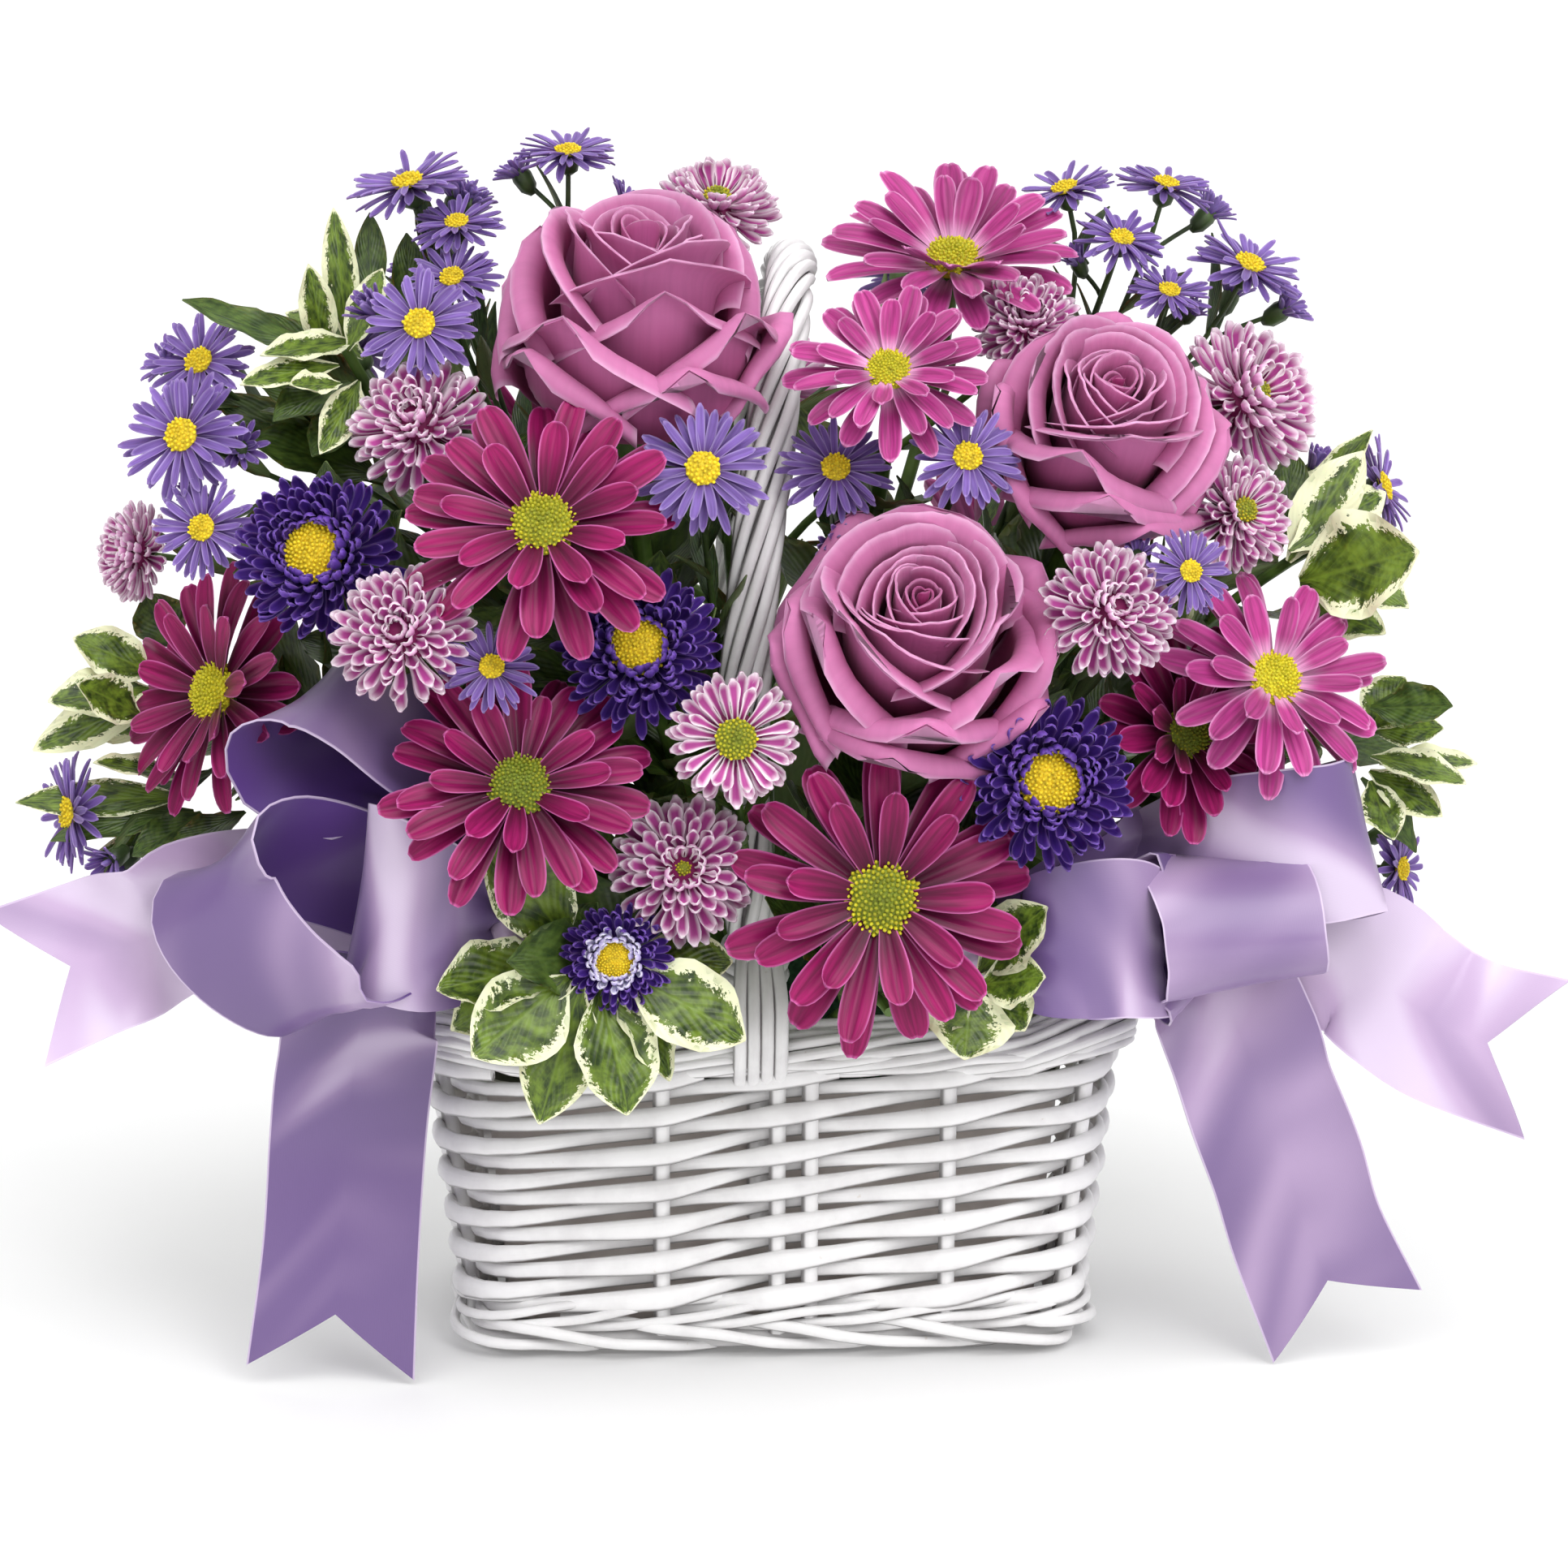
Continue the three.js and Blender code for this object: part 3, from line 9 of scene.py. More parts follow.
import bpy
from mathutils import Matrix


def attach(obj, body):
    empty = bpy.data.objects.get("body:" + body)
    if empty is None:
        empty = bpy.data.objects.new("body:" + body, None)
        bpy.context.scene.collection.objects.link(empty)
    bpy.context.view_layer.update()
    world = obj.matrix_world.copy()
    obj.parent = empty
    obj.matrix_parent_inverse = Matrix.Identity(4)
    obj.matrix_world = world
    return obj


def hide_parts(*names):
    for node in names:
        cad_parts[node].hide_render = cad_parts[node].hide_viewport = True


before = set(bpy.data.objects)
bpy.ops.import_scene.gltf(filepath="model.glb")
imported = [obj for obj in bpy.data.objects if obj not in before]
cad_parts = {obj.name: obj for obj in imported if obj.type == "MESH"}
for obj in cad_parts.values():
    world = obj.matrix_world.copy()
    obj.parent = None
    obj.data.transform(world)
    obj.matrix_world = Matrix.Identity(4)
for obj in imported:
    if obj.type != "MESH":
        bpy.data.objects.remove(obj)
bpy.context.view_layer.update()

import logging
import math
from dataclasses import dataclass, field, replace
from enum import Enum

import bpy
import numpy as np
from mathutils import Vector

LOG = logging.getLogger("flower_basket")
MM = 0.001
TAU = 2 * math.pi
GOLDEN_TURN = math.radians(137.508)
HUB = np.array([0.0, 0.0, 66.0])  # the point in the foam that every stem aims at
FOAM_HALF = np.array([62.5, 28.5])
FOAM_TOP = 98.0
# Point attribute of three numbers: a blade's own tint, its place from heart to rim, and 1 on its back.
# Eyes, willow and ribbon use the first two in their own way, as their finishes say.
MARK = "mark"
Array = np.ndarray
Random = np.random.Generator
Material = bpy.types.Material
Looks = dict[str, Material]
Point = tuple[float, float, float]
Profile = tuple[tuple[float, float], ...]
Place = tuple[Point, Point, float]  # middle, way and size


# ---- plain geometry


def unit(vectors: Array) -> Array:
    """Vectors scaled to length one along the last axis."""
    return vectors / np.maximum(np.linalg.norm(vectors, axis=-1, keepdims=True), 1e-9)


def frame_of(axis: Array, spin: float = 0.0) -> Array:
    """A square frame standing on an axis.

    Args:
        axis: the direction of the frame's own third axis.
        spin: turn about that axis, in radians.

    Returns:
        Three rows: the first and second axes and the unit axis.
    """
    axis = unit(np.asarray(axis, float))
    guide = np.array([0.0, 0.0, 1.0]) if abs(axis[2]) < 0.95 else np.array([0.0, 1.0, 0.0])
    side = unit(np.cross(guide, axis))
    other = np.cross(axis, side)
    c, s = math.cos(spin), math.sin(spin)
    return np.stack([c * side + s * other, c * other - s * side, axis])


def ease(low: float, high: float, value: Array) -> Array:
    """0 below low, 1 above high, and the smooth cubic 3x^2 - 2x^3 between them."""
    x = np.clip((value - low) / (high - low), 0, 1)
    return x * x * (3 - 2 * x)


def through(points: Array, count: int) -> Array:
    """A Catmull-Rom curve: each stretch is the cubic set by four neighbouring points.

    Args:
        points: (m, k) values to pass through.
        count: how many samples to give, even in the points' own numbering.

    Returns:
        (count, k) samples from the first point to the last.
    """
    p = np.asarray(points, float)
    padded = np.vstack([2 * p[0] - p[1], p, 2 * p[-1] - p[-2]])
    t = np.linspace(0, len(p) - 1, count)
    i = np.minimum(t.astype(int), len(p) - 2)
    u = (t - i)[:, None]
    a, b, c, d = (padded[i + k] for k in range(4))
    return 0.5 * (
        2 * b
        + (c - a) * u
        + (2 * a - 5 * b + 4 * c - d) * u**2
        + (3 * b - a - 3 * c + d) * u**3
    )


def bezier(a: Array, b: Array, c: Array, d: Array, count: int) -> Array:
    """Samples of the cubic Bezier curve with these four handles."""
    t = np.linspace(0, 1, count)[:, None]
    return (1 - t) ** 3 * a + 3 * t * (1 - t) ** 2 * b + 3 * t**2 * (1 - t) * c + t**3 * d


def distances(line: Array) -> Array:
    """How far along a line each of its points is."""
    return np.concatenate([[0], np.cumsum(np.linalg.norm(np.diff(line, axis=0), axis=1))])


def sweep(path: Array, radii: Array | float, sides: int, guide: Array, flat: float = 1.0) -> Array:
    """A tube along a path: each ring is an ellipse across the path.

    Args:
        path: (rows, 3) middles of the rings.
        radii: radius of each ring, or one for all.
        sides: points of a ring.
        guide: the direction that the ring's second axis stays near.
        flat: the first axis's share of the second.

    Returns:
        (rows, sides, 3) points.
    """
    ahead = unit(np.gradient(path, axis=0))
    across = unit(np.cross(np.broadcast_to(guide, path.shape), ahead))
    up = np.cross(ahead, across)
    angle = np.linspace(0, TAU, sides, endpoint=False)[:, None]
    ring = flat * np.cos(angle) * across[:, None] + np.sin(angle) * up[:, None]
    return path[:, None] + np.broadcast_to(radii, len(path))[:, None, None] * ring


def wavy(seed: int, count: int, waves: int = 5) -> Array:
    """A smooth random line of values near -1 to 1: a sum of a few sines of random phase.

    Args:
        seed: of the phases.
        count: how many values.
        waves: how many sines.

    Returns:
        The values.
    """
    rng = np.random.default_rng(seed)
    t = np.linspace(0, TAU, count)[:, None]
    k = np.arange(1, waves + 1)
    return (np.sin(k * t + rng.uniform(0, TAU, waves)) / np.sqrt(k)).sum(axis=1) / 2


# ---- meshes


@dataclass
class Pile:
    """Grids of points heaped into one mesh of closed shells, with UVs, marks and looks."""

    points: list[Array] = field(default_factory=list)
    marks: list[Array] = field(default_factory=list)
    corners: list[Array] = field(default_factory=list)
    sizes: list[Array] = field(default_factory=list)
    uvs: list[Array] = field(default_factory=list)
    looks: list[Array] = field(default_factory=list)
    total: int = 0

    def grid(
        self, rings: Array, mark: Array = (0.5, 1.0, 0.0), u: Array | None = None, look: int = 0,
        folded: bool = False,
    ) -> None:
        """Adds closed tubes: quads between neighbouring rings, and an end on each.

        The faces are turned so that the volume of each tube, summed from the triple product of each face's
        corners, is positive, which makes them point outwards.

        Args:
            rings: (rows, sides, 3) points of one tube, or (n, rows, sides, 3) of n tubes.
            mark: three numbers that broadcast to the points' shape.
            u: the ring's own UV coordinate at each of its sides + 1 corners, 0 to 1 by default.
            look: index of the material.
            folded: True to close the ends of a folded ring with a row of quads, and False with one face.
        """
        if rings.ndim == 3:
            rings = rings[None]
        n, rows, sides, _ = rings.shape
        u = np.linspace(0, 1, sides + 1) if u is None else u
        v = np.linspace(0, 1, rows)
        self.points.append(rings.reshape(-1, 3))
        self.marks.append(np.broadcast_to(mark, rings.shape).reshape(-1, 3))
        a, c = rings[:, :-1], rings[:, 1:]
        b, d = np.roll(a, -1, axis=2), np.roll(c, -1, axis=2)
        centre = rings.mean(axis=(1, 2), keepdims=True)
        volume = np.cross(b - a, c - a) * (a - centre) + np.cross(d - b, c - b) * (b - centre)
        flip = (volume.sum(axis=(1, 2, 3)) < 0)[:, None, None]
        first = self.total + np.arange(n)[:, None, None] * rows * sides
        row = np.arange(rows - 1)[:, None]
        column = np.arange(sides)
        quad = [(row, column), (row, column + 1), (row + 1, column + 1), (row + 1, column)]
        ids = np.stack([first + i * sides + j % sides for i, j in quad], axis=-1)
        uv = np.stack([np.stack(np.broadcast_arrays(u[j], v[i]), axis=-1) for i, j in quad], axis=-2)
        self.add_faces(ids.reshape(n, -1, 4), uv.reshape(-1, 4, 2), flip, look)
        j = np.arange(sides // 2 - 1)
        near = np.stack([j, j + 1, sides - 2 - j, sides - 1 - j], axis=-1) if folded else column[None]
        ends = first[:, 0, 0][:, None, None] + np.concatenate([near[:, ::-1], near + (rows - 1) * sides])
        end_v = np.repeat([0.0, 1.0], len(near))[:, None] + 0.0 * ends[0]
        end_uv = np.stack([u[np.mod(ends[0] - first[0, 0, 0], sides)], end_v], axis=-1)
        self.add_faces(ends, end_uv, flip, look)
        self.total += n * rows * sides

    def add_faces(self, ids: Array, uv: Array, flip: Array, look: int) -> None:
        """Adds faces of one size, with their corners reversed where flip is true.

        Args:
            ids: (n, faces, corners) point numbers.
            uv: (faces, corners, 2) coordinates, the same for each of the n shells.
            flip: (n, 1, 1) truth values.
            look: index of the material.
        """
        uvs = np.broadcast_to(uv, (*ids.shape, 2))
        self.corners.append(np.where(flip, ids[..., ::-1], ids).reshape(-1))
        self.uvs.append(np.where(flip[..., None], uvs[..., ::-1, :], uvs).reshape(-1, 2))
        count = ids.shape[0] * ids.shape[1]
        self.sizes.append(np.full(count, ids.shape[2]))
        self.looks.append(np.full(count, look))

    def blades(
        self, surface: Array, thickness: float, mark: Array = (0.5, 1.0), look: int = 0, crisp: bool = False
    ) -> None:
        """Adds thin closed blades: each row runs over the surface and back again behind it.

        Args:
            surface: (n, rows, columns, 3) points of the front faces.
            thickness: between front and back at the middle.
            mark: tint and place of each blade, which broadcast to (n, 2).
            look: index of the material.
            crisp: True for a cut edge of full thickness, and False for one that thins to nothing.
        """
        n, _, columns, _ = surface.shape
        along, across = np.gradient(surface, axis=1), np.gradient(surface, axis=2)
        normal = unit(np.cross(along, across))
        s = np.linspace(-1, 1, columns)
        lens = np.ones(columns) if crisp else 1 - s**4
        back = surface - normal * (thickness * lens)[:, None]
        behind = back[:, :, ::-1] if crisp else back[:, :, -2:0:-1]
        rings = np.concatenate([surface, behind], axis=2)
        u = (s + 1) / 2
        turned = u[::-1] if crisp else u[-2:0:-1]
        side = np.concatenate([np.zeros(columns), np.ones(len(turned))])
        pair = np.broadcast_to(np.asarray(mark, float), (n, 2))[:, None, None]
        shape = rings.shape[:3]
        both = np.broadcast_to(pair, (*shape, 2)), np.broadcast_to(side[:, None], (*shape, 1))
        full = np.concatenate(both, axis=-1)
        self.grid(rings, full, np.concatenate([u, turned, u[:1]]), look, folded=crisp)

    def build(self, name: str, materials: list, crease: float = 50.0) -> bpy.types.Object:
        """Makes the mesh object, in metres, with edges sharp past an angle.

        Args:
            name: the object's name.
            materials: the looks, in the order of the indices used.
            crease: angle between faces, in degrees, from which an edge is sharp.

        Returns:
            The new object, linked to the scene.
        """
        mesh = bpy.data.meshes.new(name)
        points = np.concatenate(self.points) * MM
        corners = np.concatenate(self.corners).astype(np.int32)
        sizes = np.concatenate(self.sizes)
        mesh.vertices.add(len(points))
        mesh.vertices.foreach_set("co", points.astype(np.float32).ravel())
        mesh.loops.add(len(corners))
        mesh.loops.foreach_set("vertex_index", corners)
        mesh.polygons.add(len(sizes))
        mesh.polygons.foreach_set("loop_start", (np.cumsum(sizes) - sizes).astype(np.int32))
        mesh.polygons.foreach_set("material_index", np.concatenate(self.looks).astype(np.int32))
        mesh.polygons.foreach_set("use_smooth", np.ones(len(sizes), bool))
        uv = mesh.uv_layers.new(name="UVMap")
        uv.data.foreach_set("uv", np.concatenate(self.uvs).astype(np.float32).ravel())
        marks = np.concatenate(self.marks)
        colours = np.concatenate([marks, np.ones((len(marks), 1))], axis=1)
        mark = mesh.attributes.new(MARK, "FLOAT_COLOR", "POINT")
        mark.data.foreach_set("color", colours.astype(np.float32).ravel())
        for material in materials:
            mesh.materials.append(material)
        mesh.update(calc_edges=True)
        mesh.set_sharp_from_angle(angle=math.radians(crease))
        piece = bpy.data.objects.new(name, mesh)
        bpy.context.scene.collection.objects.link(piece)
        return piece


def hand_in(piece: bpy.types.Object, slot: str, *nodes: str) -> bpy.types.Object:
    """Rides a piece on the basket's one body, hides the CAD nodes that it stands for, and logs it.

    Args:
        piece: the mesh object.
        slot: not used.
        nodes: the CAD nodes that it stands for.

    Returns:
        The piece.
    """
    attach(piece, "root")
    if nodes:
        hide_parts(*nodes)
    LOG.info("%s: %d faces, for %s", piece.name, len(piece.data.polygons), ", ".join(nodes) or "no node")
    return piece


# ---- materials


def linear(code: str) -> tuple[float, float, float, float]:
    """An sRGB hex colour as linear RGB with full alpha."""
    values = [int(code[i : i + 2], 16) / 255 for i in (0, 2, 4)]
    return (*[v / 12.92 if v <= 0.04045 else ((v + 0.055) / 1.055) ** 2.4 for v in values], 1.0)


class Step(Enum):
    """The shader nodes used: each one's type, its output where that isn't the first, and its settings."""

    ABSOLUTE = "Math", "", {"operation": "ABSOLUTE"}
    ADD = "Math", "", {"operation": "ADD"}
    SUBTRACT = "Math", "", {"operation": "SUBTRACT"}
    MULTIPLY = "Math", "", {"operation": "MULTIPLY"}
    MULTIPLY_ADD = "Math", "", {"operation": "MULTIPLY_ADD"}
    MAXIMUM = "Math", "", {"operation": "MAXIMUM"}
    SINE = "Math", "", {"operation": "SINE"}
    MIX = "Mix", "", {"data_type": "RGBA"}
    RAMP = "MapRange", "", {"interpolation_type": "SMOOTHSTEP"}  # value, low, high, and what they become
    NOISE = "TexNoise", "", {}  # place, scale, detail, roughness
    SHADE = "HueSaturation", "", {}
    BUMP = "Bump", "", {}
    JOIN = "CombineXYZ", "", {}
    SPLIT = "SeparateXYZ", "", {}
    SPLIT_COLOUR = "SeparateColor", "", {}
    UV = "UVMap", "", {"uv_map": "UVMap"}
    MARKS = "Attribute", "", {"attribute_name": MARK}
    PLACE = "TexCoord", "Object", {}  # object coordinates, in metres


Socket = bpy.types.NodeSocket
Feed = Socket | str | float | tuple[float, ...]  # another node's output, a hex colour, or numbers


@dataclass
class Look:
    """One node material being made."""

    name: str
    material: Material = field(init=False)
    shader: bpy.types.Node = field(init=False)

    def __post_init__(self) -> None:
        """Starts the material with its Principled shader."""
        self.material = bpy.data.materials.new(self.name)
        self.material.use_nodes = True
        self.shader = self.material.node_tree.nodes["Principled BSDF"]

    def add(self, step: Step, *values: Feed, **named: Feed) -> Socket:
        """Adds a node with its settings and links.

        Args:
            step: which node.
            values: what goes into its inputs, in their order.
            named: what goes into inputs by their names, with _ for a space.

        Returns:
            The node's output.
        """
        kind, output, settings = step.value
        node = self.material.node_tree.nodes.new("ShaderNode" + kind)
        for key, value in settings.items():
            setattr(node, key, value)
        for socket, value in zip([socket for socket in node.inputs if socket.enabled], values):
            self.feed(socket, value)
        for key, value in named.items():
            self.feed(node.inputs[key.replace("_", " ")], value)
        return node.outputs[output] if output else next(socket for socket in node.outputs if socket.enabled)

    def feed(self, socket: Socket, value: Feed) -> None:
        """Links an input to an output, or sets its value."""
        if isinstance(value, Socket):
            self.material.node_tree.links.new(value, socket)
        else:
            socket.default_value = linear(value) if isinstance(value, str) else value

    def uv(self) -> list[Socket]:
        """The piece's own UV: across, 0 to 1, and along, 0 to 1; the third is always 0."""
        return list(self.add(Step.SPLIT, self.add(Step.UV)).node.outputs)

    def marks(self) -> list[Socket]:
        """The mark's three numbers."""
        return list(self.add(Step.SPLIT_COLOUR, self.add(Step.MARKS)).node.outputs)

    def off_middle(self, u: Socket) -> Socket:
        """How far from a blade's middle line, 0 to 1: the size of 2u - 1."""
        return self.add(Step.ABSOLUTE, self.add(Step.MULTIPLY_ADD, u, 2.0, -1.0))

    def finish(
        self, colour: Feed, bump: Socket | None = None, strength: float = 0.0, depth: float = 0.0,
        **named: Feed,
    ) -> Material:
        """Joins colour, bump and the shader's other inputs.

        Args:
            colour: of the surface.
            bump: its height, or None where it is smooth.
            strength: of the bump.
            depth: of the bump, in millimetres.
            named: what goes into the shader's inputs by their names, with _ for a space.

        Returns:
            The finished material.
        """
        for key, value in ({"Base Color": colour} | named).items():
            self.feed(self.shader.inputs[key.replace("_", " ")], value)
        if bump is not None:
            self.feed(self.shader.inputs["Normal"], self.add(Step.BUMP, strength, depth * MM, Height=bump))
        return self.material


@dataclass(frozen=True)
class PetalFinish:
    """A fresh petal: a soft, faintly velvety skin with fine veins along it and light showing through."""

    name: str
    base: str  # colour where it joins the bloom
    middle: str
    rim: str  # colour of its edges and tip: its own paler margin, and partly a painted highlight
    back: str
    deep: str  # colour of the innermost petals: their own deeper tone, and partly painted shade in the heart
    edge: float = 0.7  # share of the half width where the rim colour starts
    tip: float = 0.8  # share of the length where the rim colour starts
    rim_share: float = 0.6
    base_end: float = 0.45
    streaks: float = 9.0  # veins across the petal
    streak_depth: float = 0.22
    roughness: float = 0.5
    sheen: float = 0.25
    glow: float = 0.12

    def material(self) -> Material:
        """Builds the node material: colours by UV and mark, and veins as noise drawn out along it.

        Returns:
            The finished material.
        """
        look = Look(self.name)
        add = look.add
        u, v, _ = look.uv()
        tint, place, back = look.marks()
        across = look.off_middle(u)
        body = add(Step.MIX, add(Step.MULTIPLY, back, 0.85), self.middle, self.back)
        body = add(Step.MIX, add(Step.RAMP, v, 0.0, self.base_end), self.base, body)
        # the paler rim and tip: partly the petal's own margin, partly a painted highlight
        rim = add(Step.MAXIMUM, add(Step.RAMP, across, self.edge, 1.0), add(Step.RAMP, v, self.tip, 1.0))
        fainter_behind = add(Step.MULTIPLY_ADD, back, -0.6 * self.rim_share, self.rim_share)
        body = add(Step.MIX, add(Step.MULTIPLY, rim, fainter_behind), body, self.rim)
        # inner petals towards the deep colour: partly their own tone, partly painted shade
        body = add(Step.MIX, add(Step.RAMP, place, 0.45, 0.0), body, self.deep)
        lane, drift, own = (add(Step.MULTIPLY, *pair) for pair in ((u, self.streaks), (v, 1.4), (tint, 57.0)))
        veins = add(Step.NOISE, add(Step.JOIN, lane, drift, own), 1.0, 2.0, 0.55)
        shade = add(Step.RAMP, veins, 0.3, 0.7, 1.0 - self.streak_depth, 1.0 + self.streak_depth)
        shade = add(Step.MULTIPLY, shade, add(Step.RAMP, tint, 0.0, 1.0, 0.86, 1.12))
        return look.finish(
            add(Step.SHADE, Value=shade, Color=body), veins, 0.35, 0.25, Roughness=self.roughness, IOR=1.4,
            Specular_IOR_Level=0.35, Sheen_Weight=self.sheen, Sheen_Roughness=0.4, Subsurface_Scale=0.0015,
            Subsurface_Weight=self.glow, Subsurface_Radius=(1.0, 0.35, 0.6),
        )


@dataclass(frozen=True)
class DiscFinish:
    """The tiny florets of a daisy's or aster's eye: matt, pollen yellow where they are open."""

    name: str
    green: str
    yellow: str

    def material(self) -> Material:
        """Builds the node material: ripeness comes from the mark, and a speckle from fine noise.

        Returns:
            The finished material.
        """
        look = Look(self.name)
        ripe, _, _ = look.marks()
        speck = look.add(Step.NOISE, look.add(Step.PLACE), 900.0, 2.0, 0.55)
        colour = look.add(Step.MIX, ripe, self.green, self.yellow)
        colour = look.add(Step.SHADE, Value=look.add(Step.RAMP, speck, 0.3, 0.7, 0.75, 1.2), Color=colour)
        glow = {"Subsurface Weight": 0.1, "Subsurface Scale": 0.001}
        return look.finish(colour, speck, 0.4, 0.3, Roughness=0.7, **glow)


@dataclass(frozen=True)
class StalkFinish:
    """A fresh green stalk: waxy skin with faint ribs along it."""

    name: str
    dark: str
    light: str

    def material(self) -> Material:
        """Builds the node material: patches of two greens a few millimetres wide, ribs half a millimetre.

        Returns:
            The finished material.
        """
        look = Look(self.name)
        add = look.add
        patch = add(Step.NOISE, add(Step.PLACE), 120.0, 3.0, 0.55)
        u, _, _ = look.uv()
        ribs = add(Step.SINE, add(Step.MULTIPLY, u, TAU * 9))
        colour = add(Step.MIX, add(Step.RAMP, patch, 0.3, 0.7), self.dark, self.light)
        glow = {"Subsurface Weight": 0.05, "Subsurface Scale": 0.001}
        return look.finish(colour, ribs, 0.2, 0.1, Roughness=0.45, **glow)


@dataclass(frozen=True)
class LeafFinish:
    """A glossy leaf with a paler midrib and, on the variegated kind, a ragged cream margin."""

    name: str
    dark: str
    light: str
    cream: str
    margin: float  # share of the half width where cream may start; 2 for a plain green leaf
    back: str = "8fa36b"
    veins: float = 9.0  # side veins along the leaf

    def material(self) -> Material:
        """Builds the node material: cream where the edge distance plus a ragged noise passes the margin.

        Returns:
            The finished material.
        """
        look = Look(self.name)
        add = look.add
        u, v, _ = look.uv()
        tint, _, back = look.marks()
        across = look.off_middle(u)
        own = add(Step.MULTIPLY, tint, 31.0)
        lanes = add(Step.JOIN, add(Step.MULTIPLY, u, 5.0), add(Step.MULTIPLY_ADD, v, 9.0, across), own)
        ragged = add(Step.NOISE, lanes, 3.2, 4.0, 0.7)
        edge = add(Step.MAXIMUM, across, add(Step.RAMP, v, 0.72, 1.05))
        wider = add(Step.MULTIPLY_ADD, tint, 0.55, -0.66)
        reach = add(Step.MULTIPLY_ADD, ragged, 1.1, add(Step.ADD, edge, wider))
        cream = add(Step.RAMP, reach, self.margin, self.margin + 0.07)
        patch = add(Step.NOISE, lanes, 1.0, 3.0, 0.55)
        green = add(Step.MIX, add(Step.RAMP, patch, 0.3, 0.75), self.dark, self.light)
        slant = add(Step.MULTIPLY_ADD, across, -0.55, v)
        side_veins = add(Step.SINE, add(Step.MULTIPLY, slant, TAU * self.veins))
        midrib = add(Step.RAMP, across, 0.09, 0.0)
        paler = add(Step.MAXIMUM, midrib, add(Step.RAMP, side_veins, 0.86, 1.0, 0.0, 0.35))
        colour = add(Step.MIX, add(Step.MULTIPLY, paler, 0.6), green, self.light)
        colour = add(Step.MIX, cream, colour, self.cream)
        colour = add(Step.MIX, add(Step.MULTIPLY, back, 0.55), colour, self.back)
        height = add(Step.SUBTRACT, side_veins, add(Step.MULTIPLY, midrib, 4.0))
        return look.finish(
            colour, height, 0.25, 0.2, Roughness=0.38, Specular_IOR_Level=0.45, Subsurface_Weight=0.08,
            Subsurface_Scale=0.0012,
        )


@dataclass(frozen=True)
class WillowFinish:
    """Peeled willow under white spray paint: satin, with fine grain along the rod and painted shade below it.

    The mark's second number is how free a rod is of painted shade: 1 for none.
    """

    name: str = "white painted willow"
    white: str = "f7f6f6"
    shade: str = "d6d3d4"
    bare: str = "c9b9a2"
    painted_shade: str = "787474"  # painted shade, grey: along each rod's underside, and over rods marked as shaded

    def material(self) -> Material:
        """Builds the node material: grain every half millimetre along a rod, thin worn spots, and painted
        shade.

        Returns:
            The finished material.
        """
        look = Look(self.name)
        add = look.add
        u, v, _ = look.uv()
        _, clean, _ = look.marks()
        place = add(Step.PLACE)
        lanes = add(Step.JOIN, add(Step.MULTIPLY, u, 14.0), add(Step.MULTIPLY, v, 9.0))
        grain = add(Step.NOISE, lanes, 1.0, 4.0, 0.55)
        blotch = add(Step.NOISE, place, 90.0, 4.0, 0.55)
        worn = add(Step.RAMP, add(Step.NOISE, place, 260.0, 5.0, 0.7), 0.66, 0.74, 0.0, 0.35)
        colour = add(Step.MIX, add(Step.RAMP, blotch, 0.35, 0.8, 0.0, 0.5), self.white, self.shade)
        colour = add(Step.MIX, add(Step.RAMP, grain, 0.6, 0.8, 0.0, 0.3), colour, self.shade)
        colour = add(Step.MIX, worn, colour, self.bare)
        # painted shade: a grey band along the underside of each rod
        off_underside = add(Step.ABSOLUTE, add(Step.ADD, u, -0.75))
        colour = add(Step.MIX, add(Step.RAMP, off_underside, 0.15, 0.05, 0.0, 0.8), colour, self.painted_shade)
        # painted shade over a whole rod, as far as its mark says
        colour = add(Step.MIX, add(Step.RAMP, clean, 1.0, 0.0), colour, self.painted_shade)
        height = add(Step.ADD, grain, add(Step.MULTIPLY, blotch, 0.6))
        return look.finish(colour, height, 0.35, 0.4, Roughness=0.42)


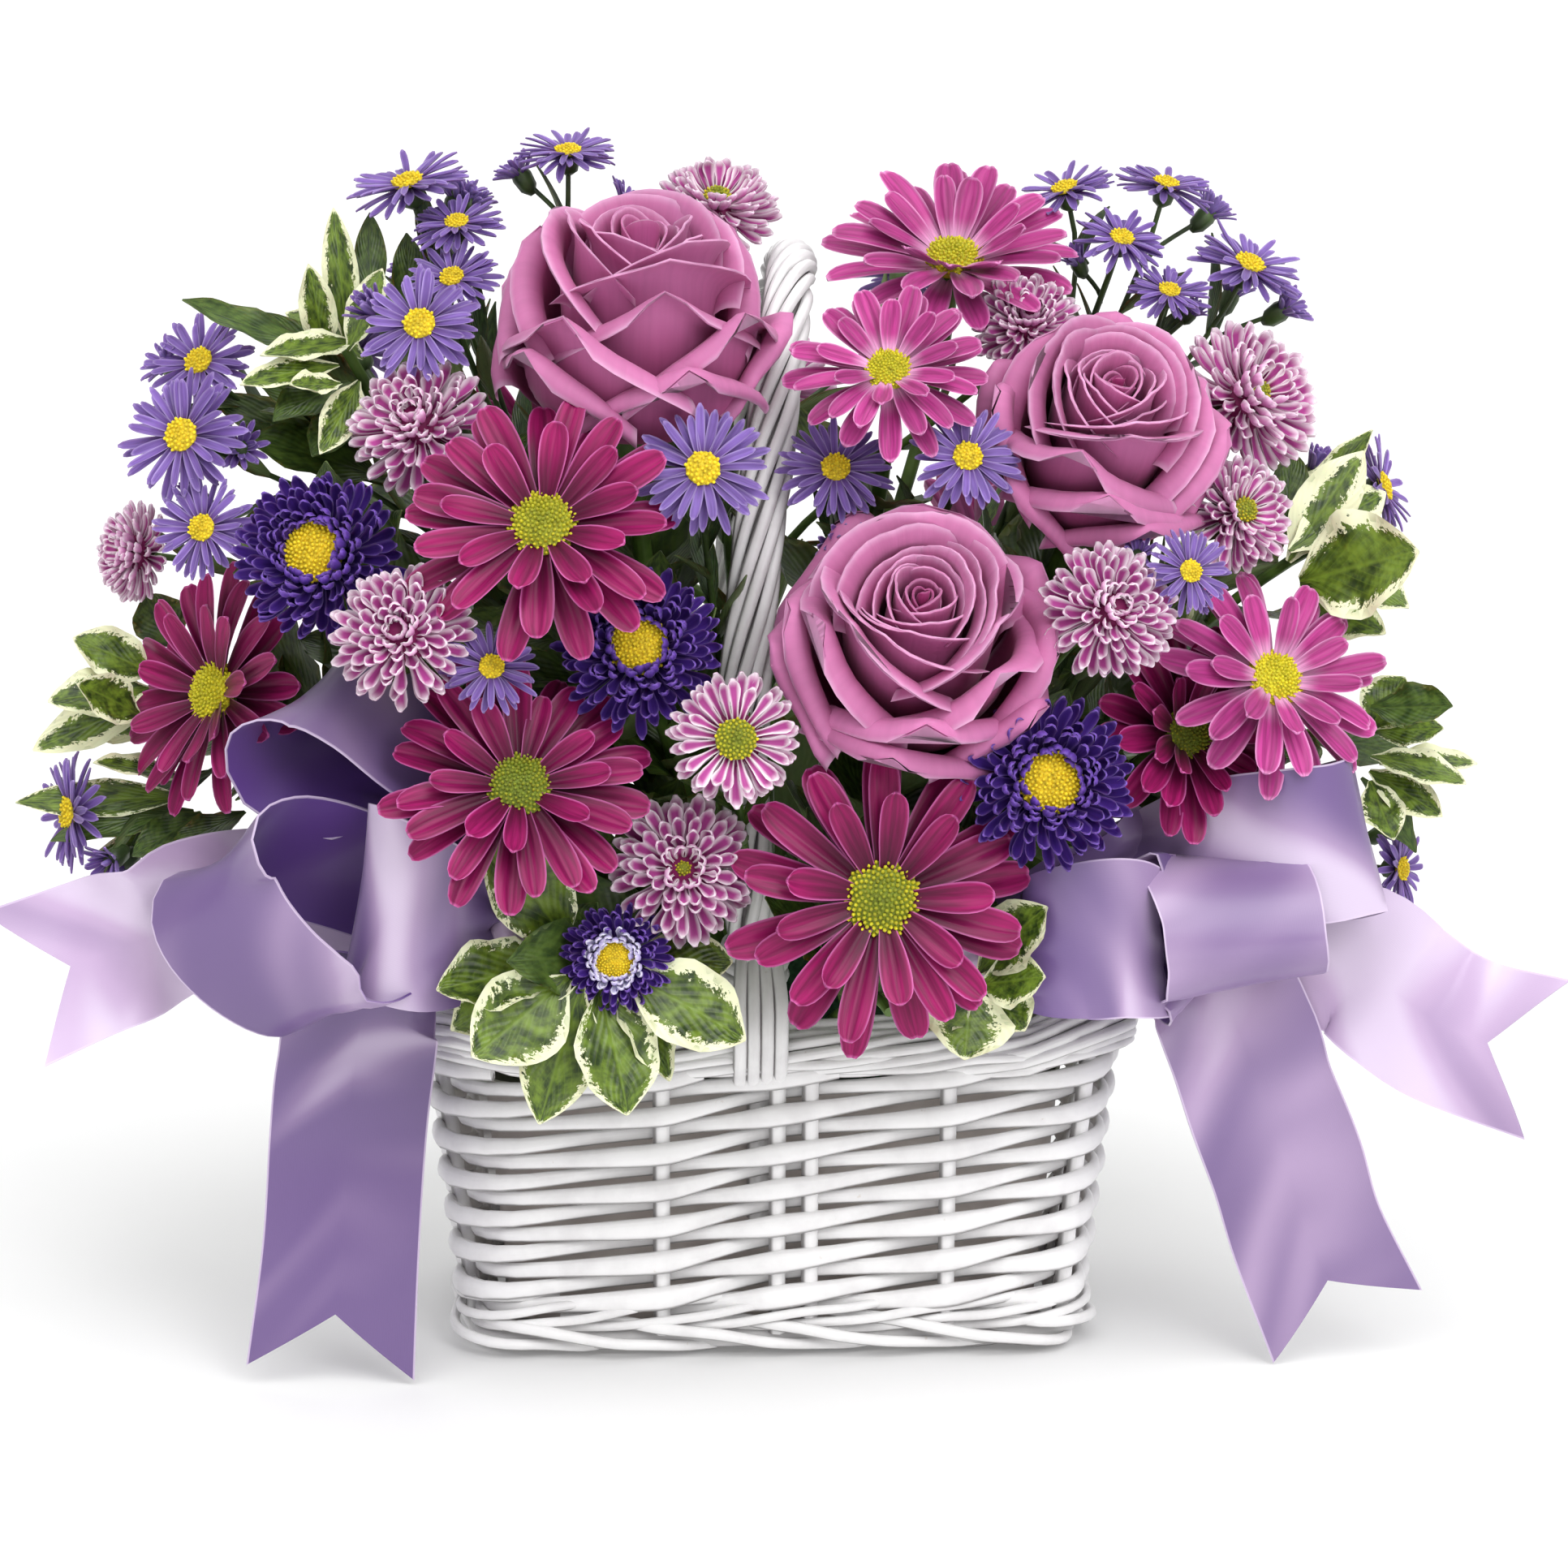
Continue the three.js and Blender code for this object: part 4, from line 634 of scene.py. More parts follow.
@dataclass(frozen=True)
class SatinFinish:
    """Double-faced polyester satin: a soft directional gloss, fine ribs across, and a paler woven edge.

    The mark's second number is how brightly lit a strip is painted, and its bands of gloss are painted
    highlights.
    """

    name: str = "lavender satin ribbon"
    # the ribbon painted from in shade (dark) to lit (light), strip by strip and band by band
    dark: str = "6c5488"
    light: str = "c2a8cb"
    # painted highlight on the brightest bands
    gleam: str = "ebe0f2"
    deep: str = "5a3788"  # painted shade inside the loops, which see only more ribbon, and near the knot
    edge: str = "d8c6e0"
    threads: float = 90.0  # across the ribbon, which is coarser than real ones so that they show

    def material(self) -> Material:
        """Builds the node material: broad bands of painted gloss about 40 mm apart, and threads 0.4 mm apart.

        Returns:
            The finished material.
        """
        look = Look(self.name)
        add = look.add
        u, v, _ = look.uv()
        tint, light, back = look.marks()
        selvedge = add(Step.RAMP, look.off_middle(u), 0.972, 0.985)
        out_of_knot = add(Step.RAMP, v, 0.22, 0.36)
        thread = add(Step.SINE, add(Step.MULTIPLY, u, TAU * self.threads))
        slant = add(Step.MULTIPLY_ADD, u, 0.9, add(Step.MULTIPLY, v, 5.5))
        lanes = add(Step.JOIN, slant, add(Step.MULTIPLY, u, 0.5), add(Step.MULTIPLY, tint, 37.0))
        band = add(Step.NOISE, lanes, 1.0, 1.0, 0.4)
        # painted light: the strip's own lightness and the bands of painted gloss
        share = add(Step.ADD, light, add(Step.RAMP, band, 0.3, 0.7, -0.32, 0.34))
        colour = add(Step.MIX, add(Step.RAMP, share, 0.0, 1.0), self.dark, self.light)
        # painted highlight
        colour = add(Step.MIX, add(Step.RAMP, band, 0.56, 0.72, 0.0, 0.5), colour, self.gleam)
        # painted shade on the backs, which are the insides of the loops
        colour = add(Step.MIX, add(Step.MULTIPLY, back, 0.8), colour, self.deep)
        # painted shade near the knot
        colour = add(Step.MIX, add(Step.RAMP, v, 0.3, 0.08, 0.0, 0.75), colour, self.deep)
        # the pale woven edge is left out near the knot, inside the painted shade
        shown = add(Step.MULTIPLY, out_of_knot, selvedge)
        colour = add(Step.MIX, add(Step.MULTIPLY, shown, 0.7), colour, self.edge)
        return look.finish(
            colour, thread, 0.06, 0.05, Roughness=0.32, Specular_IOR_Level=0.7, Anisotropic=0.4,
            Sheen_Weight=0.12, Sheen_Roughness=0.3,
        )


@dataclass(frozen=True)
class PlainFinish:
    """A plain thing seen in glimpses: one speckled colour with a fine bump."""

    name: str
    body: str
    speck: str
    scale: float
    roughness: float
    strength: float = 0.4

    def material(self) -> Material:
        """Builds the node material: two colours mixed by noise, which is also the bump.

        Returns:
            The finished material.
        """
        look = Look(self.name)
        noise = look.add(Step.NOISE, look.add(Step.PLACE), self.scale, 4.0, 0.55)
        colour = look.add(Step.MIX, look.add(Step.RAMP, noise, 0.35, 0.7), self.body, self.speck)
        return look.finish(colour, noise, self.strength, 0.5, Roughness=self.roughness)


# The looks of all pieces of the arrangement.
FINISHES = {
    "willow": WillowFinish(),
    "satin": SatinFinish(),
    # Rose petals: velvety and matt on the face, and paler where the rim turns over, partly as a painted
    # highlight.
    "rose_petal": PetalFinish(
        "rose petal, dusty mauve", "96225f", "c878a8", "e0accf", "c070a2", "a83a7a",
        edge=0.94, tip=0.88, rim_share=0.8, base_end=0.82, streaks=26.0, streak_depth=0.04, roughness=0.55,
        sheen=0.08, glow=0.14,
    ),
    # Daisy rays: ribbed along their length, with a satin gloss.
    "magenta_ray": PetalFinish(
        "daisy ray, magenta", "4a0329", "8c1455", "c864a4", "92336b", "5c0a3a",
        edge=0.82, tip=0.94, rim_share=0.75, base_end=0.8, streaks=7.0, streak_depth=0.28, roughness=0.38,
        sheen=0.06,
    ),
    "pink_ray": PetalFinish(
        "daisy ray, orchid pink", "dba6cc", "a8387e", "d890c0", "aa6296", "82205a",
        edge=0.76, tip=0.9, rim_share=0.75, base_end=0.34, streaks=7.0, streak_depth=0.26, roughness=0.38,
        sheen=0.06,
    ),
    # China aster florets: small, curled and velvety, so that they look deep and dark between their lit backs.
    "pale_ray": PetalFinish(
        "china aster floret, white tipped", "c9c2e2", "dcd6ee", "f6f3fb", "a79ad2", "d8d3ea",
        edge=0.5, tip=0.6, rim_share=0.6, streaks=4.0, streak_depth=0.06, sheen=0.05,
    ),
    "violet_ray": PetalFinish(
        "china aster floret, deep violet", "2c145a", "472882", "8a6cc0", "603c9e", "2c1458",
        edge=0.6, tip=0.8, rim_share=0.55, streaks=4.0, streak_depth=0.14, sheen=0.08,
    ),
    # Cushion florets: a magenta stripe inside a nearly white margin.
    "cushion_petal": PetalFinish(
        "cushion chrysanthemum floret, pink with white margins",
        "7c1a56", "b04a94", "fdf3f9", "cf88bb", "7c1a54",
        edge=0.3, tip=0.64, rim_share=0.95, base_end=0.35, streaks=3.0, streak_depth=0.08, sheen=0.05,
    ),
    "lilac_ray": PetalFinish(
        "aster ray, lilac blue", "523478", "765aa2", "ac99cc", "8a76b6", "503678",
        edge=0.5, tip=0.8, rim_share=0.55, streaks=4.0, streak_depth=0.18, sheen=0.05,
    ),
    "lime_disc": DiscFinish("daisy eye, lime to yellow", "74821d", "dccf22"),
    "gold_disc": DiscFinish("aster eye, golden", "cdb01c", "f7dd2a"),
    "stalk": StalkFinish("green stalk", "39511f", "5f7f34"),
    "dark_stalk": StalkFinish("dark aster stalk", "27371a", "48602c"),
    "variegated": LeafFinish("variegated pittosporum leaf", "22360e", "748e2c", "efefc8", 0.84),
    "leaf": LeafFinish("plain green leaf", "2a3f18", "5b7430", "8ca457", 2.0),
    "dark_leaf": LeafFinish("narrow aster leaf", "1f3316", "40592a", "8ca457", 2.0),
    # Floral foam: crumbly phenolic foam, dark green when it is soaked.
    "wet_foam": PlainFinish("wet floral foam", "1f4026", "35603c", 700.0, 0.9, 0.8),
    # Liner: thin polythene film with a dull grey-brown face.
    "liner_film": PlainFinish("liner film", "cfc5bf", "dfd7d1", 60.0, 0.4),
}


# ---- blades and blooms


@dataclass(frozen=True)
class Cut:
    """How one kind of petal or leaf is cut; depths are shares of its half width."""

    outline: Profile  # share of the length to share of the width
    rows: int = 8
    columns: int = 5
    cup: float = 0.3  # how hollow it is across
    furrow: float = 0.0  # depth of its two furrows
    ripple: float = 0.0  # height of the waves of its edges
    waves: float = 2.0  # their number along it
    thickness: float = 0.5  # in millimetres

    def surface(self, rng: Random, lie: dict[str, Array]) -> Array:
        """Front faces of n blades that start at the origin and head along +X.

        The middle line turns from the lift by the curl, evenly, and by the tip's curl as the fourth power of
        the share of the length. Across, the blade is a shallow parabola, with two furrows as a cosine, and
        edge waves as a sine that grows with the square of the distance from the middle.

        Args:
            rng: for the waves' phases.
            lie: arrays of n: length, width, lift, curl, tip, sway and twist, in millimetres and degrees.

        Returns:
            (n, rows, columns, 3) points.
        """
        even = np.linspace(0, 1, self.rows)
        share = 0.45 * even + 0.55 * np.sin(even * math.pi / 2)
        cut = through(np.array(self.outline), 60)
        wide = np.interp(share, cut[:, 0], cut[:, 1])
        value = {key: np.asarray(item, float)[:, None] for key, item in lie.items()}
        angle = np.radians(value["lift"] + value["curl"] * share + value["tip"] * share**4)
        step = value["length"] * np.diff(share)
        middle = (angle[:, 1:] + angle[:, :-1]) / 2
        start = np.zeros((len(angle), 1))
        x = np.concatenate([start, np.cumsum(np.cos(middle) * step, axis=1)], axis=1)
        z = np.concatenate([start, np.cumsum(np.sin(middle) * step, axis=1)], axis=1)
        y = value["sway"] * value["length"] * share**2
        nil = np.zeros_like(angle)
        normal = np.stack([-np.sin(angle), nil, np.cos(angle)], axis=-1)
        side = np.stack([nil, nil + 1, nil], axis=-1)
        turn = np.radians(value["twist"] * share)[..., None]
        c, sine = np.cos(turn), np.sin(turn)
        side, normal = side * c + normal * sine, normal * c - side * sine
        s = np.linspace(-1, 1, self.columns)
        half = (value["width"] * wide / 2)[..., None]
        phase = rng.uniform(0, TAU, (len(angle), 1, 1))
        wave = np.sin(TAU * self.waves * share[None, :, None] + phase + 2.0 * s)
        lift = self.cup * (s**2 - 0.3) - self.furrow * np.cos(TAU * s) + self.ripple * s**2 * wave
        centre, side, normal = (part[:, :, None] for part in (np.stack([x, y, z], axis=-1), side, normal))
        return centre + side * (half * s)[..., None] + normal * (half * lift)[..., None]


def lie_of(rng: Random, count: int, spread: float, **means: float) -> dict[str, Array]:
    """Slightly different lies for a count of blades: each mean, and a share or a few degrees more or less.

    Args:
        rng: the random source.
        count: number of blades.
        spread: how uneven they are; 1 is lively.
        means: length, width, lift, curl, tip, sway and twist of the usual blade.

    Returns:
        Arrays for Cut.surface.
    """
    noise = rng.uniform(-1, 1, (7, count)) * spread
    mean = {"curl": 0.0, "tip": 0.0, "sway": 0.0, "twist": 0.0} | means
    return {
        "length": mean["length"] * (1 + 0.07 * noise[0]),
        "width": mean["width"] * (1 + 0.09 * noise[1]),
        "lift": mean["lift"] + 6 * noise[2],
        "curl": mean["curl"] + 8 * noise[3],
        "tip": mean["tip"] + 10 * noise[4],
        "sway": mean["sway"] + 0.06 * noise[5],
        "twist": mean["twist"] + 14 * noise[6],
    }


@dataclass(frozen=True)
class Ring:
    """One ring of a bloom's blades; start, level, length and width are shares of the bloom's radius."""

    count: int
    start: float  # how far from the axis they start
    level: float  # how far up the axis they start
    place: float  # 0 for the innermost ring to 1 for the outermost, for the finish
    length: float
    width: float
    lift: float  # degrees up from square to the axis
    curl: float = 0.0  # degrees further up over their length
    tip: float = 0.0  # degrees more at their tips


@dataclass
class Bloom:
    """Where one flower sits: the middle of its face, the way it faces and its outer radius."""

    at: Array
    facing: Array
    radius: float
    seed: int
    axes: Array = field(init=False)
    rng: Random = field(init=False)

    def __post_init__(self) -> None:
        """Sets the bloom's own frame and random source."""
        self.at = np.asarray(self.at, float)
        self.facing = unit(np.asarray(self.facing, float))
        self.rng = np.random.default_rng(self.seed)
        self.axes = frame_of(self.facing, self.rng.uniform(0, TAU))

    def world(self, points: Array) -> Array:
        """Points from the bloom's frame, whose +Z is its facing, into the part's frame."""
        return self.at + points @ self.axes

    def whorl(
        self, pile: Pile, cut: Cut, ring: Ring, spread: float = 1.0, look: int = 0, lean: float = 0.0
    ) -> None:
        """Adds a ring of blades: each one's surface, turned about the axis by its own heading.

        Args:
            pile: where the blades go.
            cut: their shape.
            ring: how many there are, where they start and how they lie.
            spread: how uneven they are.
            look: index of the material.
            lean: degrees added to the ring's lift.
        """
        rng, count = self.rng, ring.count
        size = {"length": ring.length * self.radius, "width": ring.width * self.radius}
        lie = lie_of(rng, count, spread, **size, lift=ring.lift + lean, curl=ring.curl, tip=ring.tip)
        surface = cut.surface(rng, lie)
        heading = np.arange(count) + rng.uniform(0, 1) + rng.uniform(-0.22, 0.22, count) * spread
        heading = heading * TAU / count
        c, s = (turn(heading)[:, None, None] for turn in (np.cos, np.sin))
        reach, sideways = surface[..., 0] + ring.start * self.radius, surface[..., 1]
        up = surface[..., 2] + ring.level * self.radius
        turned = np.stack([reach * c - sideways * s, reach * s + sideways * c, up], axis=-1)
        mark = np.stack([rng.uniform(0, 1, count), np.full(count, ring.place)], axis=1)
        pile.blades(self.world(turned), cut.thickness, mark, look)

    def dome(
        self, pile: Pile, profile: Array, sides: int = 20, mark: Array = (0.5, 1.0, 0.0), look: int = 0
    ) -> None:
        """Adds a turned shape: its profile is (radius, height) pairs carried round the axis.

        Args:
            pile: where it goes.
            profile: from one end to the other.
            sides: points of a ring.
            mark: see Pile.grid.
            look: index of the material.
        """
        profile = np.asarray(profile, float)
        angle = np.linspace(0, TAU, sides, endpoint=False)
        r, z = profile[:, :1], profile[:, 1:]
        rings = np.stack([r * np.cos(angle), r * np.sin(angle), z + 0 * angle], axis=-1)
        pile.grid(self.world(rings), mark, look=look)

    def eye(
        self, pile: Pile, radius: float, rise: float, count: int, look: int, ripe: tuple[float, float],
        base: float, height: float,
    ) -> None:
        """Adds a disc of florets, set in a sunflower spiral on a low dome.

        Args:
            pile: where they go.
            radius: of the disc.
            rise: height of the dome at its middle.
            count: florets.
            look: index of the material.
            ripe: how yellow the middle and the edge are, 0 to 1.
            base: level of the disc's edge on the axis.
            height: of a floret as a share of the radius.
        """
        k = np.arange(count)
        share = np.sqrt((k + 0.5) / count)
        angle = k * GOLDEN_TURN
        top = base + rise * (1 - share**2)
        size = 0.86 * radius / math.sqrt(count)
        tall = height * radius * self.rng.uniform(0.6, 1.3, count)
        around = np.linspace(0, TAU, FLORET_SIDES, endpoint=False)
        ring = np.stack([np.cos(around), np.sin(around)], axis=-1)
        middle = (share * radius)[:, None] * np.stack([np.cos(angle), np.sin(angle)], axis=-1)
        rings = np.empty((count, len(FLORET), FLORET_SIDES, 3))
        for row, (wide, up) in enumerate(FLORET):
            rings[:, row, :, :2] = middle[:, None] * (1 + 0.05 * up) + size * wide * ring
            rings[:, row, :, 2] = (top + tall * up)[:, None]
        ripeness = ripe[0] + (ripe[1] - ripe[0]) * share**1.5 + self.rng.uniform(-0.12, 0.12, count)
        mark = np.stack([np.clip(ripeness, 0, 1), share, 0 * share], axis=1)[:, None, None]
        pile.grid(self.world(rings), mark, look=look)
        s = np.linspace(1, 0.05, 6)
        under = np.stack([s * radius, base + rise * (1 - s**2)], axis=-1)
        rim = [[0.05 * radius, base - 1.2], [radius, base - 0.8]]
        self.dome(pile, np.vstack([rim, under]), 16, (ripe[0], 1, 0), look)


# A floret of an eye, from its foot up: half width as a share of its cell, and level as a share of its height.
FLORET = ((0.7, -0.8), (0.95, 0.3), (0.75, 0.8), (0.25, 1.0))
FLORET_SIDES = 5


# Outlines: (share of the length, share of the width).
RAY_OUTLINE = (
    (0, 0.42), (0.18, 0.62), (0.42, 0.88), (0.66, 1.0), (0.82, 0.95), (0.92, 0.78), (0.98, 0.5), (1, 0.3),
)
SPOON_OUTLINE = ((0, 0.45), (0.35, 0.55), (0.6, 0.86), (0.78, 1.0), (0.9, 0.9), (0.97, 0.62), (1, 0.35))
LINE_OUTLINE = ((0, 0.5), (0.3, 0.9), (0.7, 1.0), (0.88, 0.85), (0.97, 0.5), (1, 0.25))
LEAF_OUTLINE = ((0, 0.1), (0.07, 0.2), (0.25, 0.74), (0.48, 1.0), (0.7, 0.86), (0.88, 0.46), (1, 0.03))
LANCE_OUTLINE = ((0, 0.25), (0.25, 0.85), (0.5, 1.0), (0.8, 0.55), (1, 0.05))

DAISY_RAY = Cut(RAY_OUTLINE, rows=11, columns=9, cup=0.3, furrow=0.1, ripple=0.05, waves=1.2, thickness=0.5)
CHINA_FLORET = Cut(SPOON_OUTLINE, rows=7, columns=5, cup=0.6, thickness=0.4)
CUSHION_FLORET = Cut(SPOON_OUTLINE, rows=7, columns=5, cup=0.7, thickness=0.45)
ASTER_RAY = Cut(LINE_OUTLINE, rows=7, columns=5, cup=0.3, thickness=0.35)
BRACT = Cut(LANCE_OUTLINE, rows=4, columns=3, cup=0.2, thickness=0.5)
BROAD_LEAF = Cut(LEAF_OUTLINE, rows=14, columns=9, cup=0.22, ripple=0.16, waves=2.6, thickness=0.4)
NARROW_LEAF = Cut(LANCE_OUTLINE, rows=8, columns=5, cup=0.3, ripple=0.05, thickness=0.35)

DAISY_RINGS = (
    Ring(13, 0.16, -0.06, 1.0, 0.85, 0.235, -8, -4, -14),
    Ring(12, 0.15, 0.0, 0.95, 0.79, 0.225, 5, -8, -12),
    Ring(9, 0.15, 0.03, 0.85, 0.56, 0.2, 18, -10, 10),
)
CHINA_RINGS = (
    Ring(27, 0.3, -0.24, 1.0, 0.66, 0.135, -16, 42, 30),
    Ring(27, 0.3, -0.17, 1.0, 0.63, 0.135, -2, 42, 30),
    Ring(26, 0.3, -0.1, 0.95, 0.57, 0.135, 12, 42, 30),
    Ring(25, 0.3, -0.04, 0.85, 0.5, 0.135, 26, 42, 30),
    Ring(23, 0.3, 0.0, 0.75, 0.42, 0.135, 38, 42, 30),
    Ring(21, 0.29, 0.03, 0.65, 0.33, 0.135, 50, 42, 30),
    Ring(18, 0.28, 0.05, 0.6, 0.24, 0.135, 60, 42, 30),
)
CUSHION_RINGS = (
    Ring(20, 0.3, -0.24, 1.0, 0.66, 0.185, -18, 18, 24),
    Ring(20, 0.3, -0.15, 1.0, 0.65, 0.185, -4, 18, 24),
    Ring(19, 0.28, -0.06, 0.95, 0.6, 0.185, 12, 18, 24),
    Ring(17, 0.25, 0.01, 0.9, 0.52, 0.185, 26, 18, 24),
    Ring(15, 0.21, 0.06, 0.8, 0.43, 0.185, 40, 18, 24),
    Ring(12, 0.15, 0.1, 0.6, 0.33, 0.185, 54, 18, 24),
    Ring(9, 0.09, 0.12, 0.35, 0.22, 0.185, 68, 18, 24),
)
LILAC_RINGS = (
    Ring(22, 0.18, -0.08, 1.0, 0.86, 0.158, 0, -6),
    Ring(19, 0.17, 0.0, 0.95, 0.77, 0.145, 13, -8),
)
# Cups under a bloom, as shares of its radius: (radius, height).
LILAC_CUP = np.array([(0.07, -0.5), (0.2, -0.4), (0.24, -0.2), (0.15, -0.04)])
BUD_CUP = np.array([(0.1, -0.9), (0.34, -0.6), (0.4, -0.1), (0.3, 0.25)])
BUD_RINGS = (Ring(12, 0.22, 0.0, 1.0, 0.95, 0.24, 0, -10), Ring(9, 0.12, 0.05, 0.9, 0.85, 0.24, 12, -6))
SEPALS = Ring(5, 0.1, -0.05, 1.0, 0.55, 0.2, 55, -75, -50)
DAISY_BRACTS = Ring(14, 0.12, -0.14, 1.0, 0.14, 0.09, 35)
CHINA_BRACTS = Ring(12, 0.25, -0.25, 1.0, 0.4, 0.14, -10)
CUSHION_BRACTS = Ring(10, 0.16, -0.36, 1.0, 0.3, 0.16, 0)


# ---- stems


def foam_entry(target: Array) -> tuple[Array, Array]:
    """Where a straight stem from a point enters the foam on its way to the hub.

    Args:
        target: the point outside.

    Returns:
        The entry point and the unit direction inwards.
    """
    inward = unit(HUB - target)
    low = np.array([-FOAM_HALF[0], -FOAM_HALF[1], 6.0])
    high = np.array([FOAM_HALF[0], FOAM_HALF[1], FOAM_TOP])
    slope = np.where(np.abs(inward) < 1e-6, 1e-6, inward)
    near = np.minimum((low - target) / slope, (high - target) / slope)
    return target + inward * near.max(), inward


def stem_path(base: Array, facing: Array, count: int = 14) -> Array:
    """A stem's middle line: from inside the foam, out and over in one bend to the back of its bloom.

    Args:
        base: the back of its bloom.
        facing: the way the bloom looks.
        count: how many points.

    Returns:
        (count, 3) points.
    """
    entry, inward = foam_entry(base)
    reach = np.linalg.norm(base - entry)
    inside = entry + inward * 12
    return bezier(inside, entry - inward * reach * 0.35, base - facing * reach * 0.3, base, count)


def branch_path(trunk: Array, share: float, base: Array, facing: Array, count: int = 10) -> Array:
    """A side stem's middle line, from a share of the trunk to the back of its bloom.

    Args:
        trunk: the main stem's middle line.
        share: how far up the trunk it starts.
        base: the back of its bloom.
        facing: the way the bloom looks.
        count: how many points.

    Returns:
        (count, 3) points.
    """
    start = trunk[int(share * (len(trunk) - 1))]
    reach = np.linalg.norm(base - start)
    toward = unit(unit(base - start) + unit(start - trunk[max(0, int(share * (len(trunk) - 1)) - 1)]))
    return bezier(start, start + toward * reach * 0.35, base - facing * reach * 0.3, base, count)


def stalk(pile: Pile, path: Array, radius: float, look: int = 0, end: float = 1.0) -> None:
    """Adds a round stalk along a path; its last ring has the given share of the radius.

    Args:
        pile: where it goes.
        path: its middle line.
        radius: at its start.
        look: index of the material.
        end: its last ring's share of the radius.
    """
    ahead = path[-1] - path[0]
    guide = np.array([1.0, 0.0, 0.0]) if abs(unit(ahead)[0]) < 0.8 else np.array([0.0, 1.0, 0.0])
    radii = radius * np.linspace(1, end, len(path))
    pile.grid(sweep(path, radii, 8, guide), look=look)


def leaf(
    pile: Pile, cut: Cut, rng: Random, base: Array, tip: Array, face: Array, width: float,
    look: int = 0, curl: float = -18.0, cream: float | None = None,
) -> None:
    """Adds one leaf from its base to its tip.

    Args:
        pile: where it goes.
        cut: its shape.
        rng: the random source.
        base: where it joins its stem.
        tip: where it ends.
        face: the way its upper face looks.
        width: its full width.
        look: index of the material.
        curl: how far it bends down over its length, in degrees.
        cream: how much of it is cream, 0 to 1; random by default.
    """
    base, tip = np.asarray(base, float), np.asarray(tip, float)
    ahead = unit(tip - base)
    side = unit(np.cross(np.asarray(face, float), ahead))
    up = np.cross(ahead, side)
    length = float(np.linalg.norm(tip - base)) * 1.03
    lie = lie_of(rng, 1, 0.5, length=length, width=width, lift=-curl * 0.5, curl=curl)
    surface = cut.surface(rng, lie)[0]
    turned = base + surface[..., :1] * ahead + surface[..., 1:2] * side + surface[..., 2:] * up
    pile.blades(turned[None], cut.thickness, (rng.uniform(0, 0.6) if cream is None else cream, 1.0), look)


@dataclass
class Room:
    """The room that the blooms fill, as cylinders, so that no stem leaf is set through a bloom."""

    middle: list[Array] = field(default_factory=list)
    axis: list[Array] = field(default_factory=list)
    size: list[tuple[float, float]] = field(default_factory=list)

    def add(self, at: Array, axis: Array, radius: float, low: float, high: float) -> None:
        """Adds a bloom that reaches from low to high along its axis.

        Args:
            at: its middle.
            axis: the way it faces.
            radius: of the cylinder.
            low: how far along the axis it starts.
            high: how far along the axis it ends.
        """
        axis = unit(np.asarray(axis, float))
        self.middle.append(np.asarray(at, float) + axis * (low + high) / 2)
        self.axis.append(axis)
        self.size.append((radius, (high - low) / 2))

    def free(self, points: Array) -> bool:
        """True where none of the points is inside a bloom.

        Args:
            points: (n, 3) points.

        Returns:
            Whether all are free.
        """
        away = points[:, None] - np.array(self.middle)[None]
        axial = np.sum(away * np.array(self.axis)[None], axis=-1)
        radial = np.linalg.norm(away - axial[..., None] * np.array(self.axis)[None], axis=-1)
        radius, half = np.array(self.size).T
        return not bool(np.any((np.abs(axial) < half) & (radial < radius)))


ROOM = Room()


def leafy(
    pile: Pile, rng: Random, path: Array, cut: Cut, length: float, width: float, shares: Array,
    look: int, lean: float = 45.0,
) -> None:
    """Adds leaves in a spiral up a stem.

    Args:
        pile: where they go.
        rng: the random source.
        path: the stem's middle line.
        cut: their shape.
        length: of the usual leaf.
        width: of the usual leaf.
        shares: where on the stem each one joins it.
        look: index of the material.
        lean: how far they stand out from the stem, in degrees.
    """
    turn = rng.uniform(0, TAU)
    for k, share in enumerate(shares):
        i = min(int(share * (len(path) - 1)), len(path) - 2)
        base = path[i] + (path[i + 1] - path[i]) * (share * (len(path) - 1) - i)
        axes = frame_of(path[i + 1] - path[i], turn + k * GOLDEN_TURN)
        tilt = math.radians(lean + rng.uniform(-12, 12))
        ahead = axes[2] * math.cos(tilt) + axes[0] * math.sin(tilt)
        face = axes[2] * math.sin(tilt) - axes[0] * math.cos(tilt)
        size = rng.uniform(0.75, 1.15)
        end = base + ahead * length * size
        over_rim = end[2] < 106 and abs(end[1]) > 50
        if over_rim or not ROOM.free(base + (end - base) * np.array([[0.4], [0.7], [1.0]])):
            continue
        leaf(pile, cut, rng, base, end, face, width * size, look, rng.uniform(-30, 0))


# ---- roses


@dataclass(frozen=True)
class RosePetals:
    """One ring of a rose's petals; reach is a share of the rose's radius, and top a share of its height."""

    count: int
    reach: float
    top: float
    half: float  # half of the angle that a petal spans, in degrees
    flare: float  # radius at its top as a share of its reach
    roll: float  # how far its rim turns over, in degrees
    square: float  # how far its sides stand out past its middle, as a share of its radius
    place: float  # 0 for the innermost ring to 1 for the outermost, for the finish

    @property
    def broad(self) -> bool:
        """True for the outer rings, whose petals come to a soft point."""
        return self.reach > 0.55


